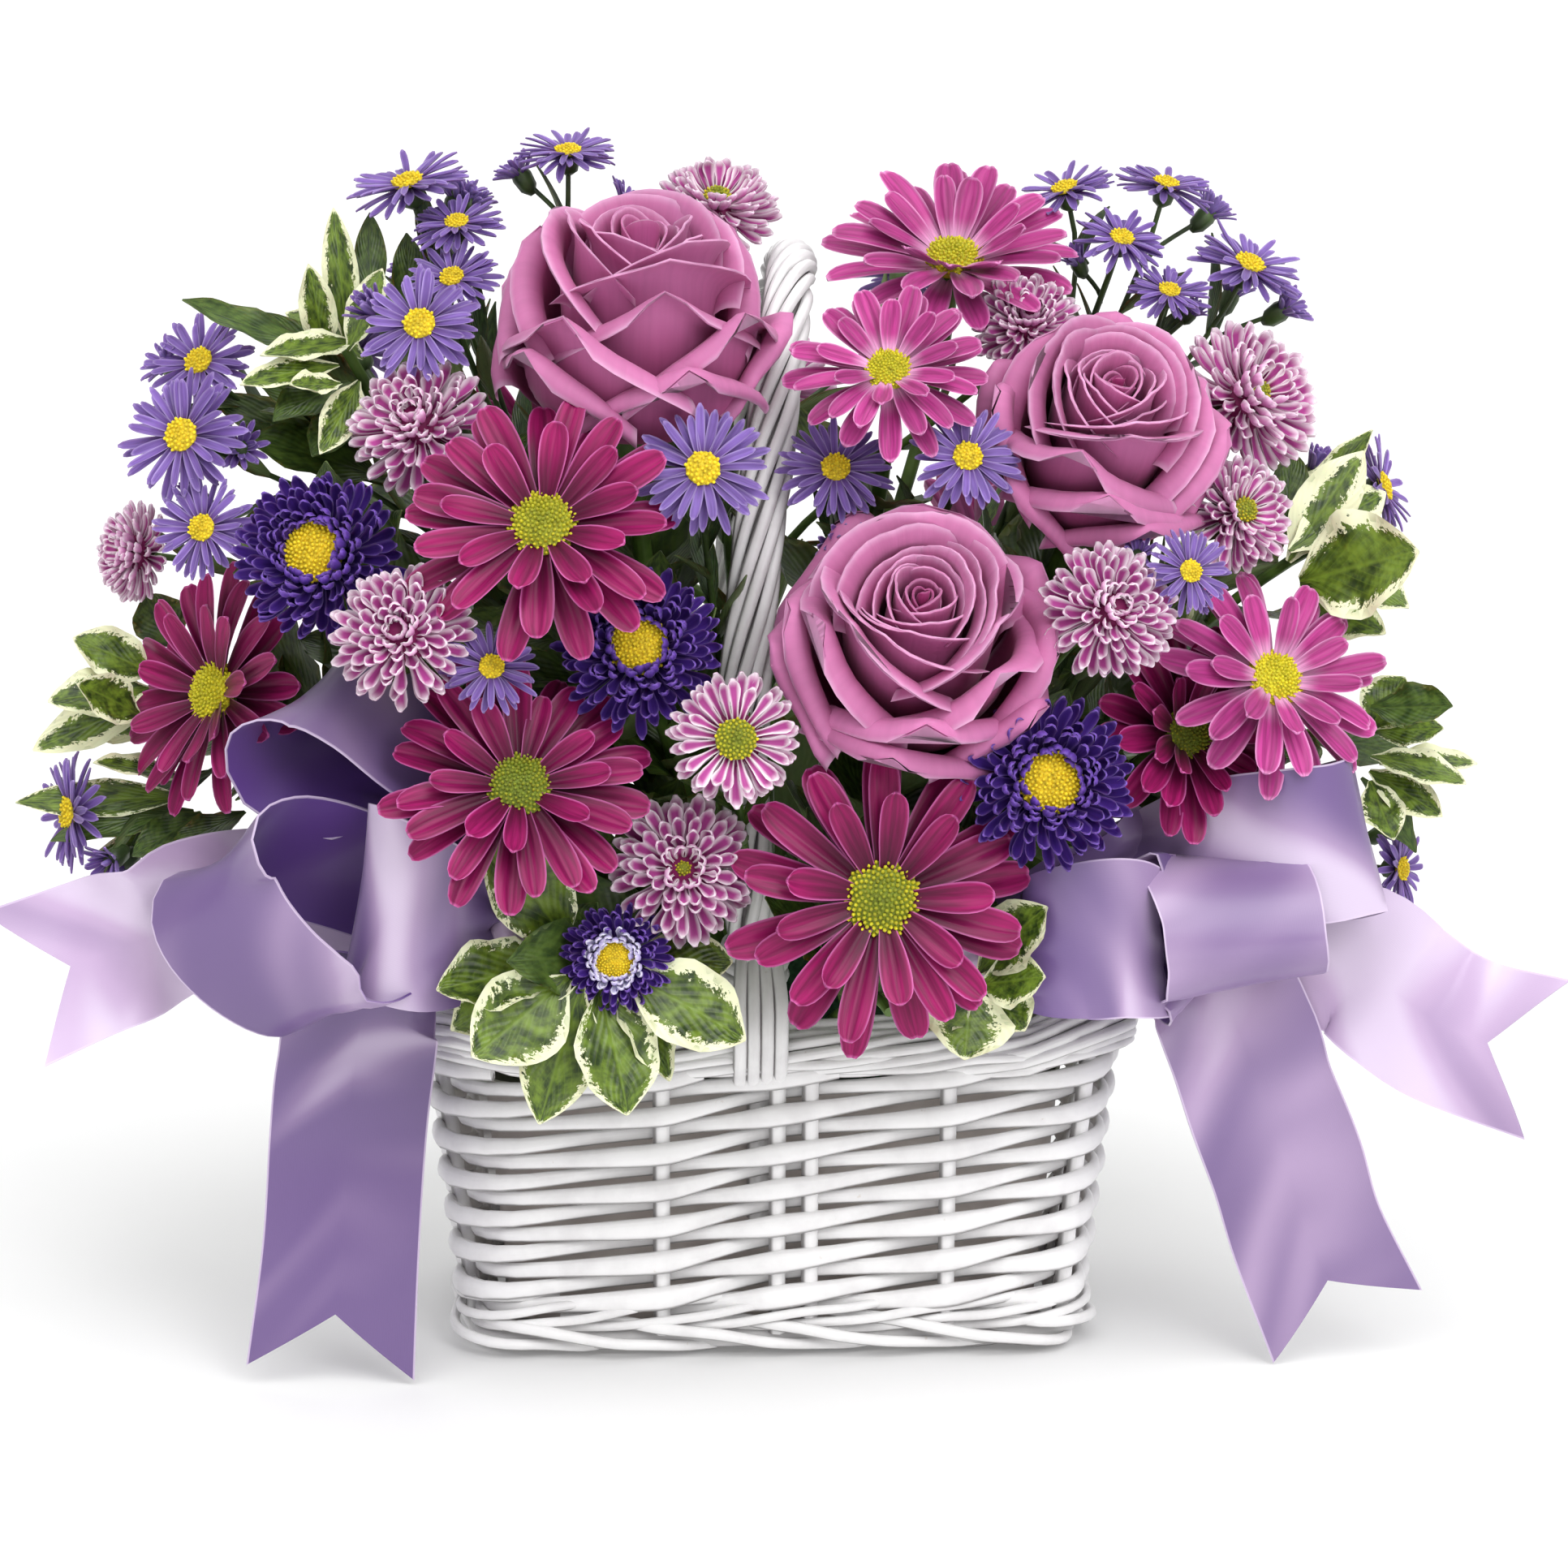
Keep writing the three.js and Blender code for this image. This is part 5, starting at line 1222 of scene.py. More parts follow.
ROSE_RINGS = (
    RosePetals(5, 0.82, 0.62, 47, 1.2, 178, 0.03, 1.0),
    RosePetals(4, 0.75, 0.78, 56, 1.12, 168, 0.03, 0.95),
    RosePetals(3, 0.64, 0.9, 66, 1.04, 150, 0.03, 0.85),
    RosePetals(3, 0.51, 1.0, 78, 0.94, 80, 0.0, 0.7),
    RosePetals(3, 0.44, 1.01, 80, 0.9, 55, 0.0, 0.6),
    RosePetals(3, 0.37, 0.97, 84, 0.86, 45, 0.0, 0.5),
    RosePetals(3, 0.3, 0.98, 88, 0.84, 35, 0.0, 0.44),
    RosePetals(3, 0.24, 0.97, 92, 0.82, 28, 0.0, 0.38),
    RosePetals(3, 0.18, 0.96, 100, 0.8, 20, 0.0, 0.32),
    RosePetals(3, 0.12, 0.95, 115, 0.8, 10, 0.0, 0.24),
    RosePetals(2, 0.07, 0.93, 140, 0.8, 0, 0.0, 0.16),
    RosePetals(2, 0.035, 0.92, 150, 0.8, 0, 0.0, 0.1),
)


@dataclass
class Rose:
    """A garden rose: rings of two to five cupped petals, the outer ones rolled back, round a tight heart."""

    name: str
    base: Point
    axis: Point
    radius: float
    height: float
    seed: int
    rows: int = 18
    columns: int = 15
    # The hip under the bloom: (radius, height) in millimetres.
    hip: Profile = ((1.4, -11), (2.6, -9.5), (4.6, -7), (5.6, -4), (5.0, -1.5), (4.2, 0.4))

    def bowl(self, ring: RosePetals, jolt: Array) -> Array:
        """A petal's middle line as (radius, height): from the hip out to the ring's reach and up.

        Args:
            ring: its ring.
            jolt: see petal.

        Returns:
            (80, 2) points.
        """
        loose = 0.04 + 0.09 * (ring.reach < 0.4)
        reach = ring.reach * (1 + loose * jolt[0])
        top = ring.top * (1 + 0.5 * loose * jolt[1])
        shares = [
            [0.1 + 0.05 * ring.reach, 0.02],
            [0.06 + 0.56 * reach, 0.1 * top + 0.02],
            [0.93 * reach, 0.38 * top],
            [reach, 0.72 * top],
            [ring.flare * reach, top],
        ]
        return through(np.array(shares) * np.array([self.radius, self.height]), 80)

    def petal(self, ring: RosePetals, heading: float, jolt: Array) -> Array:
        """One petal's face in the rose's frame.

        It follows its bowl, and is cut lower at its sides by a power of the distance from its middle. Towards
        its edge, each step of the bowl's line is turned outwards by a growing share of the roll, which is
        largest at the sides. One side stands a little outside the other, so that a ring overlaps as a spiral,
        and the upper edge has a slight wave, a sine across the petal.

        Args:
            ring: its ring.
            heading: where its middle is round the rose, in radians.
            jolt: six random numbers, -1 to 1, that make it differ from its neighbours.

        Returns:
            (rows, columns, 3) points.
        """
        v = (1 - (1 - np.linspace(0, 1, self.rows)) ** 1.5)[:, None]
        s = np.linspace(-1, 1, self.columns)
        off = np.abs(s)
        bowl = self.bowl(ring, jolt)
        run = distances(bowl)
        drop = (0.12 + 0.2 * ring.reach) * off ** (1.8 if ring.broad else 2.4) + 0.02 * jolt[2] * s
        point = 0.07 * ring.broad * np.exp(-((s / 0.25) ** 2))
        at = v * (run[-1] * (1 - drop + point))
        r, z = np.interp(at, run, bowl[:, 0]), np.interp(at, run, bowl[:, 1])
        dr, dz = np.diff(r, axis=0), np.diff(z, axis=0)
        roll_start = 0.86 - 0.12 * off
        edge = np.clip((v[1:] - roll_start) / (1 - roll_start), 0, 1) ** 1.2
        roll = ring.roll * (1 + 0.1 * jolt[3]) * (0.66 + 0.5 * off**0.7 + 0.1 * jolt[4] * s)
        angle = np.arctan2(dz, dr) - np.radians(roll) * edge
        step = np.hypot(dr, dz)
        r = np.vstack([r[:1], r[:1] + np.cumsum(np.cos(angle) * step, axis=0)])
        z = np.vstack([z[:1], z[:1] + np.cumsum(np.sin(angle) * step, axis=0)])
        around = heading + np.radians(ring.half) * s * (0.5 + 0.5 * ease(0.0, 0.5, v))
        r = r * (1 + ring.square * off**3 * v**1.5)
        r = r + 0.05 * ring.reach * self.radius * s * ease(0.1, 0.6, v)
        r = r + 0.012 * self.radius * (np.sin(3.1 * s + 6 * jolt[2]) * v**3) * (ring.reach > 0.3)
        z = z + 0.01 * self.height * np.cos(2.3 * s + 5 * jolt[4]) * v**4
        return np.stack([r * np.cos(around), r * np.sin(around), z], axis=-1)

    def petals(self, rng: Random) -> tuple[Array, Array]:
        """All petals' faces, and their tints and places; each ring starts a golden turn on.

        Args:
            rng: the random source.

        Returns:
            Faces of shape (petals, rows, columns, 3), and (petals, 2) marks.
        """
        faces, marks = [], []
        start = rng.uniform(0, TAU)
        for ring in ROSE_RINGS:
            start += GOLDEN_TURN
            for k in range(ring.count):
                jolt = rng.uniform(-1, 1, 6)
                heading = start + (k + 0.06 * jolt[5]) * TAU / ring.count
                faces.append(self.petal(ring, heading, jolt))
                marks.append([rng.uniform(0.2, 0.8), ring.place])
        return np.array(faces), np.array(marks)

    def dress(self, looks: Looks) -> None:
        """Builds the bloom, and its stem with the hip, sepals and leaves.

        Args:
            looks: every finished material by its name.
        """
        bloom = Bloom(self.base, self.axis, self.radius, self.seed)
        faces, marks = self.petals(bloom.rng)
        pile = Pile()
        pile.blades(bloom.world(faces), 0.55, marks)
        piece = pile.build(f"{self.name}_bloom", [looks["rose_petal"]], 70)
        hand_in(piece, "rose_petals", f"{self.name}_petals")
        stem = Pile()
        path = stem_path(bloom.at - bloom.facing * 9, bloom.facing, 16)
        stalk(stem, path, 2.3)
        bloom.dome(stem, self.hip, 14)
        bloom.whorl(stem, BRACT, SEPALS)
        leafy(stem, bloom.rng, path, BROAD_LEAF, 40, 24, np.linspace(0.34, 0.84, 13), 1)
        piece = stem.build(f"{self.name}_stalk", [looks["stalk"], looks["leaf"]])
        hand_in(piece, "green_stalk", f"{self.name}_stem")


# ---- the plan of the flowers


class Kind(Enum):
    """The kinds of daisy in the arrangement, each by the look of its rays."""

    MAGENTA = "magenta_ray"
    PINK = "pink_ray"


@dataclass(frozen=True)
class DaisySpec:
    """One daisy: its face, facing and radius, its kind, how cupped it is and how yellow its eye is."""

    at: Point
    facing: Point
    radius: float
    kind: Kind = Kind.MAGENTA
    cupped: float = 8.0
    ripe: tuple[float, float] = (0.35, 0.9)


DAISIES = {
    "daisy_1": DaisySpec((-55, -90, 216), (-0.02, -0.8, 0.6), 33, Kind.MAGENTA, 10, (0.25, 0.8)),
    "daisy_2": DaisySpec((-61, -96, 156), (0.05, -0.82, 0.57), 31, Kind.MAGENTA, 10, (0.0, 0.3)),
    "daisy_3": DaisySpec((23, -98, 129), (0.02, -0.97, 0.22), 36, Kind.MAGENTA, 4, (0.05, 0.9)),
    "daisy_4": DaisySpec((44, -18, 269), (0, -0.5, 0.86), 31, Kind.PINK, 22, (0.5, 0.9)),
    "daisy_5": DaisySpec((26, -64, 248), (-0.05, -0.7, 0.71), 24, Kind.PINK, 12, (0.6, 1.0)),
    "daisy_6": DaisySpec((118, -65, 174), (0.35, -0.74, 0.57), 29, Kind.PINK, 10, (0.8, 1.0)),
    "daisy_7": DaisySpec((-135, -42, 168), (-0.72, -0.62, 0.3), 31, Kind.MAGENTA, 12, (0.6, 1.0)),
    "daisy_8": DaisySpec((98, -60, 160), (0.3, -0.85, 0.3), 28, Kind.MAGENTA, 34, (0.0, 0.3)),
    "daisy_9": DaisySpec((-58, 76, 208), (-0.3, 0.78, 0.55), 32, Kind.MAGENTA, 10, (0.3, 0.9)),
    "daisy_10": DaisySpec((60, 80, 176), (0.3, 0.85, 0.43), 32, Kind.PINK, 8, (0.5, 1.0)),
}
DAISY_STEMS = {
    "daisy_stem_left": ("daisy_1", "daisy_2"),
    "daisy_stem_front": ("daisy_3",),
    "daisy_stem_top": ("daisy_5", "daisy_4"),
    "daisy_stem_right": ("daisy_6", "daisy_8"),
    "daisy_stem_far_left": ("daisy_7",),
    "daisy_stem_back": ("daisy_10", "daisy_9"),
}
CHINA_ASTERS: dict[str, Place] = {
    "china_aster_1": ((-108, -74, 207), (-0.25, -0.9, 0.35), 22),
    "china_aster_2": ((-33, -89, 187), (-0.05, -0.93, 0.35), 21),
    "china_aster_3": ((62, -96, 156), (0.05, -0.97, 0.22), 22),
    "china_aster_4": ((-39, -94, 114), (-0.1, -0.98, 0.15), 14),
}
CUSHIONS: dict[str, tuple[tuple, ...]] = {
    "cushion_spray_left": (
        ((-85, -58, 236), (-0.25, -0.75, 0.6), 18, 0.0), ((-88, -96, 192), (-0.15, -0.9, 0.4), 17.5, 0.0),
        ((-157, -16, 198), (-0.85, -0.5, 0.2), 13, 0.12),
    ),
    "cushion_spray_front": (
        ((-11, -103, 168), (0.05, -0.98, 0.2), 16, 0.3), ((-23, -88, 134), (0.02, -0.95, 0.3), 18.5, 0.1),
    ),
    "cushion_spray_right": (
        ((77, -92, 196), (0.3, -0.87, 0.38), 17, 0.0), ((116, -34, 238), (0.55, -0.68, 0.48), 20, 0.14),
        ((111, -56, 213), (0.45, -0.8, 0.4), 15, 0.2),
    ),
    "cushion_spray_top": (
        ((-13, -12, 283), (0.05, -0.45, 0.9), 16, 0.2), ((61, -34, 256), (0.05, -0.75, 0.62), 14, 0.0),
    ),
    "cushion_spray_back": (
        ((2, 84, 226), (0, 0.85, 0.52), 19, 0.14), ((104, 48, 214), (0.65, 0.62, 0.43), 18, 0.0),
    ),
}
LILACS: dict[str, tuple[Place, ...]] = {
    "lilac_spray_top_left": (
        ((-88, -6, 287), (-0.25, -0.25, 0.93), 14), ((-76, -14, 278), (-0.1, -0.4, 0.9), 11),
        ((-77, -26, 266), (-0.2, -0.6, 0.75), 11), ((-49, -2, 294), (0, -0.2, 0.98), 12),
    ),
    "lilac_spray_left": (
        ((-84, -52, 258), (-0.1, -0.85, 0.5), 14), ((-141, -46, 231), (-0.35, -0.85, 0.35), 15),
        ((-138, -26, 246), (-0.35, -0.7, 0.6), 13), ((-136, -54, 210), (-0.35, -0.85, 0.3), 12),
        ((-172, -30, 136), (-0.88, -0.45, 0.1), 14),
    ),
    "lilac_spray_middle_left": (
        ((-18, -84, 228), (0.02, -0.93, 0.35), 15), ((-67, -96, 184), (0.05, -0.85, 0.5), 11),
    ),
    "lilac_spray_middle_right": (
        ((44, -74, 229), (0.1, -0.85, 0.5), 13), ((14, -57, 224), (0, -0.8, 0.6), 13),
    ),
    "lilac_spray_top_right": (
        ((86, -8, 273), (0.2, -0.5, 0.84), 11), ((73, 4, 284), (-0.3, -0.2, 0.93), 12),
        ((98, 4, 285), (0.2, -0.2, 0.95), 12), ((97, -16, 261), (0.15, -0.45, 0.88), 10),
        ((118, -4, 266), (0.35, -0.35, 0.87), 14),
    ),
    "lilac_spray_right": (
        ((95, -88, 204), (0.3, -0.88, 0.35), 10), ((151, -12, 212), (0.9, -0.25, 0.35), 13),
        ((156, -24, 118), (0.85, -0.5, 0.1), 11),
    ),
    "lilac_spray_back": (
        ((-104, 40, 240), (-0.5, 0.6, 0.62), 14), ((-84, 52, 258), (-0.2, 0.7, 0.7), 12),
        ((38, 66, 256), (0.2, 0.65, 0.72), 13),
    ),
}
ROSES = (
    Rose("rose_1", (-33, -42, 232), (0.02, -0.3, 0.95), 35, 54, 11),
    Rose("rose_2", (74, -41, 214), (0.12, -0.68, 0.73), 29.5, 48, 12),
    Rose("rose_3", (31, -64, 170), (0.03, -0.74, 0.67), 34, 50, 13),
)
# Each leafy sprig: the end of its stem, the way it points, and its leaves' length.
SPRIGS: dict[str, Place] = {
    "leaves_left_top": ((-104, -20, 250), (-0.45, -0.15, 0.88), 42),
    "leaves_left_low": ((-150, -22, 160), (-0.93, -0.2, -0.1), 34),
    "leaves_front_left": ((-58, -80, 101), (-0.25, -0.9, -0.35), 36),
    "leaves_front_right": ((26, -80, 97), (0.3, -0.85, -0.4), 28),
    "leaves_right": ((132, -30, 200), (0.75, -0.4, 0.5), 34),
    "leaves_right_low": ((146, -30, 156), (0.92, -0.35, 0.1), 32),
    "leaves_back_left": ((-78, 62, 148), (-0.5, 0.85, 0.2), 50),
    "leaves_back_right": ((92, 50, 150), (0.65, 0.75, 0.2), 50),
    "leaves_back_low": ((4, 70, 122), (0.02, 0.98, 0.1), 50),
}


# Leaves set one by one: base, tip, width, and how creamy; -1 is a plain green one.
LEAVES: dict[str, tuple[tuple, ...]] = {
    "leaves_left_top": (
        ((-109, -22, 248), (-140, -34, 260), 10, -1), ((-103, -18, 249), (-105, -14, 282), 9, 0.55),
        ((-108, -24, 247), (-111, -30, 270), 9, 0.65), ((-100, -26, 251), (-121, -44, 250), 10, 0.65),
        ((-102, -26, 241), (-120, -48, 234), 12, -1), ((-97, -10, 257), (-98, -2, 279), 8, -1),
        ((-100, -30, 236), (-110, -50, 227), 12, -1), ((-88, -8, 252), (-89, -4, 274), 9, -1),
        ((-99, -14, 245), (-117, -6, 255), 11, 0.5), ((-104, -34, 246), (-126, -50, 244), 9, 0.55),
        ((-99, -40, 243), (-107, -56, 228), 10, 0.55), ((-102, -30, 249), (-94, -24, 268), 9, 0.5),
        ((-103, -44, 243), (-114, -56, 245), 8, 0.65), ((-97, -16, 226), (-124, -30, 244), 15, -1),
        ((-95, -16, 216), (-126, -28, 226), 15, -1), ((-96, -20, 222), (-112, -34, 246), 14, -1),
        ((-93, -18, 206), (-128, -28, 208), 15, -1), ((-97, -12, 230), (-122, -14, 256), 13, -1),
        ((-92, -20, 204), (-120, -30, 192), 14, -1), ((-94, -14, 214), (-134, -18, 236), 14, -1),
    ),
    "leaves_left_low": (
        ((-151, -24, 169), (-169, -30, 179), 13, 0.5), ((-152, -26, 166), (-175, -34, 164), 13, 0.6),
        ((-151, -18, 162), (-181, -22, 150), 12, 0.8), ((-143, -26, 139), (-185, -30, 139), 10, 0.2),
        ((-142, -24, 135), (-177, -32, 129), 9, -1), ((-140, -26, 135), (-156, -36, 126), 10, -1),
        ((-146, -16, 174), (-154, -10, 186), 14, -1), ((-144, -20, 142), (-164, -40, 152), 9, 0.6),
        ((-150, -14, 153), (-172, -12, 155), 11, 0.9), ((-138, -20, 132), (-168, -24, 123), 8, 0.5),
        ((-129, -30, 136), (-145, -44, 131), 9, -1), ((-154, -30, 160), (-167, -44, 171), 12, 0.4),
    ),
    "leaves_front_left": (
        ((-50, -84, 115), (-68, -92, 144), 20, 0.15), ((-52, -88, 111), (-81, -96, 108), 21, 0.25),
        ((-50, -92, 109), (-71, -102, 93), 23, 0.4), ((-47, -94, 108), (-57, -102, 77), 19, 0.3),
        ((-43, -92, 107), (-36, -100, 78), 20, 0.3), ((-37, -92, 110), (-9, -94, 95), 22, 0.55),
        ((-35, -84, 110), (-11, -84, 111), 17, 0.3), ((-50, -80, 109), (-77, -86, 97), 19, 0.5),
        ((-54, -80, 117), (-61, -84, 122), 12, 0.2), ((-39, -88, 107), (-26, -94, 85), 15, 0.6),
        ((-42, -62, 108), (-30, -74, 142), 22, -1), ((-36, -58, 106), (-19, -74, 126), 19, -1),
        ((-48, -60, 108), (-43, -72, 144), 22, -1), ((-36, -56, 112), (-24, -64, 150), 20, -1),
    ),
    "leaves_front_right": (
        ((47, -82, 107), (61, -90, 125), 18, 0.55), ((47, -86, 105), (62, -92, 108), 15, 0.5),
        ((45, -88, 105), (43, -96, 90), 21, 0.7), ((45, -86, 105), (32, -90, 97), 15, 0.3),
        ((49, -84, 104), (57, -90, 95), 14, 0.6),
    ),
    "leaves_right": (
        ((127, -40, 193), (152, -56, 203), 28, 0.5), ((125, -34, 197), (142, -30, 223), 15, 1),
        ((125, -36, 200), (149, -24, 212), 14, 0.9), ((125, -30, 203), (127, -20, 221), 11, -1),
        ((127, -36, 188), (146, -46, 182), 16, 0.6), ((128, -24, 204), (138, -10, 214), 13, 1),
        ((130, -30, 197), (154, -40, 188), 16, 0.5), ((126, -26, 206), (146, -22, 227), 9, 0.3),
    ),
    "leaves_right_low": (
        ((145, -40, 162), (162, -52, 165), 13, -1), ((145, -38, 156), (154, -34, 168), 14, 0.3),
        ((146, -36, 149), (168, -44, 144), 10, 0.5), ((146, -34, 145), (162, -44, 136), 11, 0.6),
        ((146, -36, 143), (150, -48, 131), 11, 0.4), ((149, -30, 146), (172, -30, 146), 9, 0.8),
        ((147, -30, 154), (163, -34, 155), 10, 0.2), ((145, -28, 142), (159, -30, 124), 9, -1),
    ),
}

# Leaves that hide the foam at the back and the ends: where each root is, and its heading in degrees.
COVER: dict[str, tuple[Point, ...]] = {
    "leaves_back_left": ((-60, 22, 135), (-52, 26, 112), (-43, 27, 95), (-34, 27, 84)),
    "leaves_back_low": ((-25, 27, 104), (-18, 27, 84), (14, 27, 98), (22, 27, 80), (30, 27, 92)),
    "leaves_back_right": ((38, 27, 100), (47, 27, 80), (55, 26, 64), (61, 21, 46)),
    "leaves_left_low": ((-61, 10, 172), (-61, -4, 186), (-61, -16, 200)),
    "leaves_right_low": ((61, 8, 6), (61, -6, -8), (61, -17, -24)),
}


def clear_room() -> None:
    """Notes the room of every bloom."""
    for spec in DAISIES.values():
        ROOM.add(spec.at, spec.facing, spec.radius, -0.3 * spec.radius, 0.5 * spec.radius)
    for at, facing, radius in CHINA_ASTERS.values():
        ROOM.add(at, facing, radius, -0.4 * radius, 0.6 * radius)
    for places in (*CUSHIONS.values(), *LILACS.values()):
        for at, facing, radius, *_ in places:
            ROOM.add(at, facing, radius, -0.3 * radius, 0.5 * radius)
    for rose in ROSES:
        ROOM.add(rose.base, rose.axis, rose.radius * 0.95, 0.0, rose.height)


@dataclass
class Flowers:
    """Everything that blooms, apart from the roses, and the leafy sprigs."""

    looks: Looks

    def chosen(self, *names: str) -> list[Material]:
        """The looks of these names, in this order."""
        return [self.looks[name] for name in names]

    def daisies(self) -> None:
        """Builds the rays of each daisy, and the stems, cups and eyes of each daisy stem."""
        blooms = {
            name: Bloom(spec.at, spec.facing, spec.radius, 100 + i)
            for i, (name, spec) in enumerate(DAISIES.items())
        }
        for name, bloom in blooms.items():
            spec = DAISIES[name]
            pile = Pile()
            for ring in DAISY_RINGS:
                bloom.whorl(pile, DAISY_RAY, ring, lean=spec.cupped)
            piece = pile.build(f"{name}_petals", self.chosen(spec.kind.value), 75)
            hand_in(piece, "magenta_rays", f"{name}_rays")
        for node, members in DAISY_STEMS.items():
            pile = Pile()
            trunk = None
            for name in members:
                bloom = blooms[name]
                back = bloom.at - bloom.facing * 6
                if trunk is None:
                    trunk = stem_path(back, bloom.facing, 18)
                    stalk(pile, trunk, 1.9)
                else:
                    stalk(pile, branch_path(trunk, 0.4, back, bloom.facing, 14), 1.7)
                r = bloom.radius
                cup = [(1.8, -6.5), (0.12 * r, -5.6), (0.2 * r, -3.8), (0.21 * r, -1.8), (0.14 * r, -0.8)]
                bloom.dome(pile, cup, 14)
                bloom.whorl(pile, BRACT, DAISY_BRACTS)
                bloom.eye(pile, 0.25 * r, 0.09 * r, 190, 1, DAISIES[name].ripe, 0.02 * r, 0.1)
            leafy(pile, blooms[members[0]].rng, trunk, BROAD_LEAF, 38, 20, np.linspace(0.34, 0.84, 15), 2)
            looks = self.chosen("stalk", "lime_disc", "leaf")
            hand_in(pile.build(node + "s", looks), "daisy_stalk_and_disc", node)

    def china_asters(self) -> None:
        """Builds each china aster: crowded florets that curl up and in round a golden eye."""
        for i, (name, (at, facing, radius)) in enumerate(CHINA_ASTERS.items()):
            bloom = Bloom(at, facing, radius, 140 + i)
            pile = Pile()
            for k, ring in enumerate(CHINA_RINGS):
                pale = name == "china_aster_4" and k > 3
                bloom.whorl(pile, CHINA_FLORET, replace(ring, place=1.0) if pale else ring, 1.5, int(pale))
            looks = self.chosen("violet_ray", "pale_ray")
            hand_in(pile.build(f"{name}_florets", looks, 80), "violet_rays", f"{name}_rays")
            stem = Pile()
            path = stem_path(bloom.at - bloom.facing * 7, bloom.facing, 16)
            stalk(stem, path, 1.8)
            r = radius
            bloom.dome(stem, [(1.6, -8), (0.2 * r, -7), (0.34 * r, -5), (0.34 * r, -3), (0.2 * r, -1)], 14)
            bloom.whorl(stem, BRACT, CHINA_BRACTS)
            bloom.eye(stem, 0.33 * r, 0.1 * r, 150, 1, (0.35, 1.0), 0.1 * r, 0.12)
            leafy(stem, bloom.rng, path, BROAD_LEAF, 36, 19, np.linspace(0.34, 0.84, 14), 2)
            looks = self.chosen("stalk", "gold_disc", "leaf")
            hand_in(stem.build(f"{name}_stalk", looks), "aster_stalk_and_disc", f"{name}_stem")

    def spray(self, pile: Pile, blooms: list[Bloom], radius: float, leaf_size: float) -> None:
        """Adds the stems of a spray with small narrow leaves along them.

        Args:
            pile: where they go; its second look is for the stems, and its third for the leaves.
            blooms: its flowers; the first is on the trunk.
            radius: of the trunk.
            leaf_size: length of its leaves.
        """
        trunk = None
        for bloom in blooms:
            back = bloom.at - bloom.facing * 0.2 * bloom.radius
            if trunk is None:
                path = trunk = stem_path(back, bloom.facing, 18)
                stalk(pile, path, radius, 1, 0.7)
                shares = np.linspace(0.4, 0.94, 11)
            else:
                path = branch_path(trunk, 0.45, back, bloom.facing, 12)
                stalk(pile, path, radius * 0.8, 1, 0.7)
                shares = np.linspace(0.2, 0.93, 8)
            leafy(pile, bloom.rng, path, NARROW_LEAF, leaf_size, leaf_size * 0.24, shares, 2, 36)

    def cushions(self) -> None:
        """Builds the cushion sprays: domes of short florets, standing on their stems."""
        for i, (node, places) in enumerate(CUSHIONS.items()):
            blooms = [Bloom(*place[:3], 160 + 7 * i + k) for k, place in enumerate(places)]
            pile = Pile()
            for bloom, (*_, eye) in zip(blooms, places):
                for ring in CUSHION_RINGS:
                    if ring.start > eye * 0.9:
                        bloom.whorl(pile, CUSHION_FLORET, ring, 1.3)
                r = bloom.radius
                if eye:
                    base = 0.14 * r - 0.25 * eye * r
                    bloom.eye(pile, eye * r, 0.1 * r, int(250 * eye), 3, (0.1, 0.8), base, 0.16)
                top = 0.2 - 0.7 * eye
                core = [(0.1, -0.42), (0.3, -0.34), (0.4, -0.15), (0.34, top - 0.12), (0.1, top)]
                # the core takes the deep colour: partly its own tone, partly painted shade in the bloom's
                # middle
                bloom.dome(pile, np.array(core) * r, 14, (0.5, 0.0, 0.0))
                bloom.whorl(pile, BRACT, CUSHION_BRACTS, look=1)
            self.spray(pile, blooms, 1.5, 22)
            looks = self.chosen("cushion_petal", "stalk", "leaf", "lime_disc")
            hand_in(pile.build(node + "_blooms", looks, 80), "cushion_petals", node)

    def side_buds(self, pile: Pile, bloom: Bloom) -> None:
        """Adds two half-open buds on short stalks beside an aster, where no bloom is in their way.

        Args:
            pile: where they go.
            bloom: the aster.
        """
        rng, r = bloom.rng, bloom.radius
        for _ in range(2):
            turn = rng.uniform(0, TAU)
            out = math.cos(turn) * bloom.axes[0] + math.sin(turn) * bloom.axes[1]
            base = bloom.at - bloom.facing * r * rng.uniform(1.1, 1.6)
            tip = base + out * r * rng.uniform(0.7, 1.2) + bloom.facing * r * rng.uniform(0.2, 0.9)
            size = r * rng.uniform(0.4, 0.55)
            bud = Bloom(tip, unit(tip - base) + 0.6 * bloom.facing, size, int(rng.integers(9999)))
            if not ROOM.free(tip[None] + bud.facing * np.array([[-2.0], [3.0]])):
                continue
            stalk(pile, bezier(base - bloom.facing * 4, base, tip - bud.facing * 4, tip, 7), 0.6, 1)
            bud.dome(pile, BUD_CUP * size, 8, look=1)
            opened = rng.uniform(35, 75)
            for ring in BUD_RINGS:
                bud.whorl(pile, ASTER_RAY, ring, 1.5, lean=opened)

    def lilacs(self) -> None:
        """Builds the sprays of small asters: narrow rays, yellow eyes, buds and dark narrow leaves."""
        for i, (node, places) in enumerate(LILACS.items()):
            blooms = [Bloom(*place, 210 + 9 * i + k) for k, place in enumerate(places)]
            pile = Pile()
            for bloom in blooms:
                for ring in LILAC_RINGS:
                    bloom.whorl(pile, ASTER_RAY, ring, 1.6)
                r = bloom.radius
                bloom.eye(pile, 0.27 * r, 0.08 * r, 46, 3, (0.3, 1.0), 0.04 * r, 0.16)
                bloom.dome(pile, LILAC_CUP * r, 10, look=1)
                self.side_buds(pile, bloom)
            self.spray(pile, blooms, 1.1, 23)
            looks = self.chosen("lilac_ray", "dark_stalk", "dark_leaf", "gold_disc")
            hand_in(pile.build(node + "_blooms", looks, 80), "lilac_rays", node)

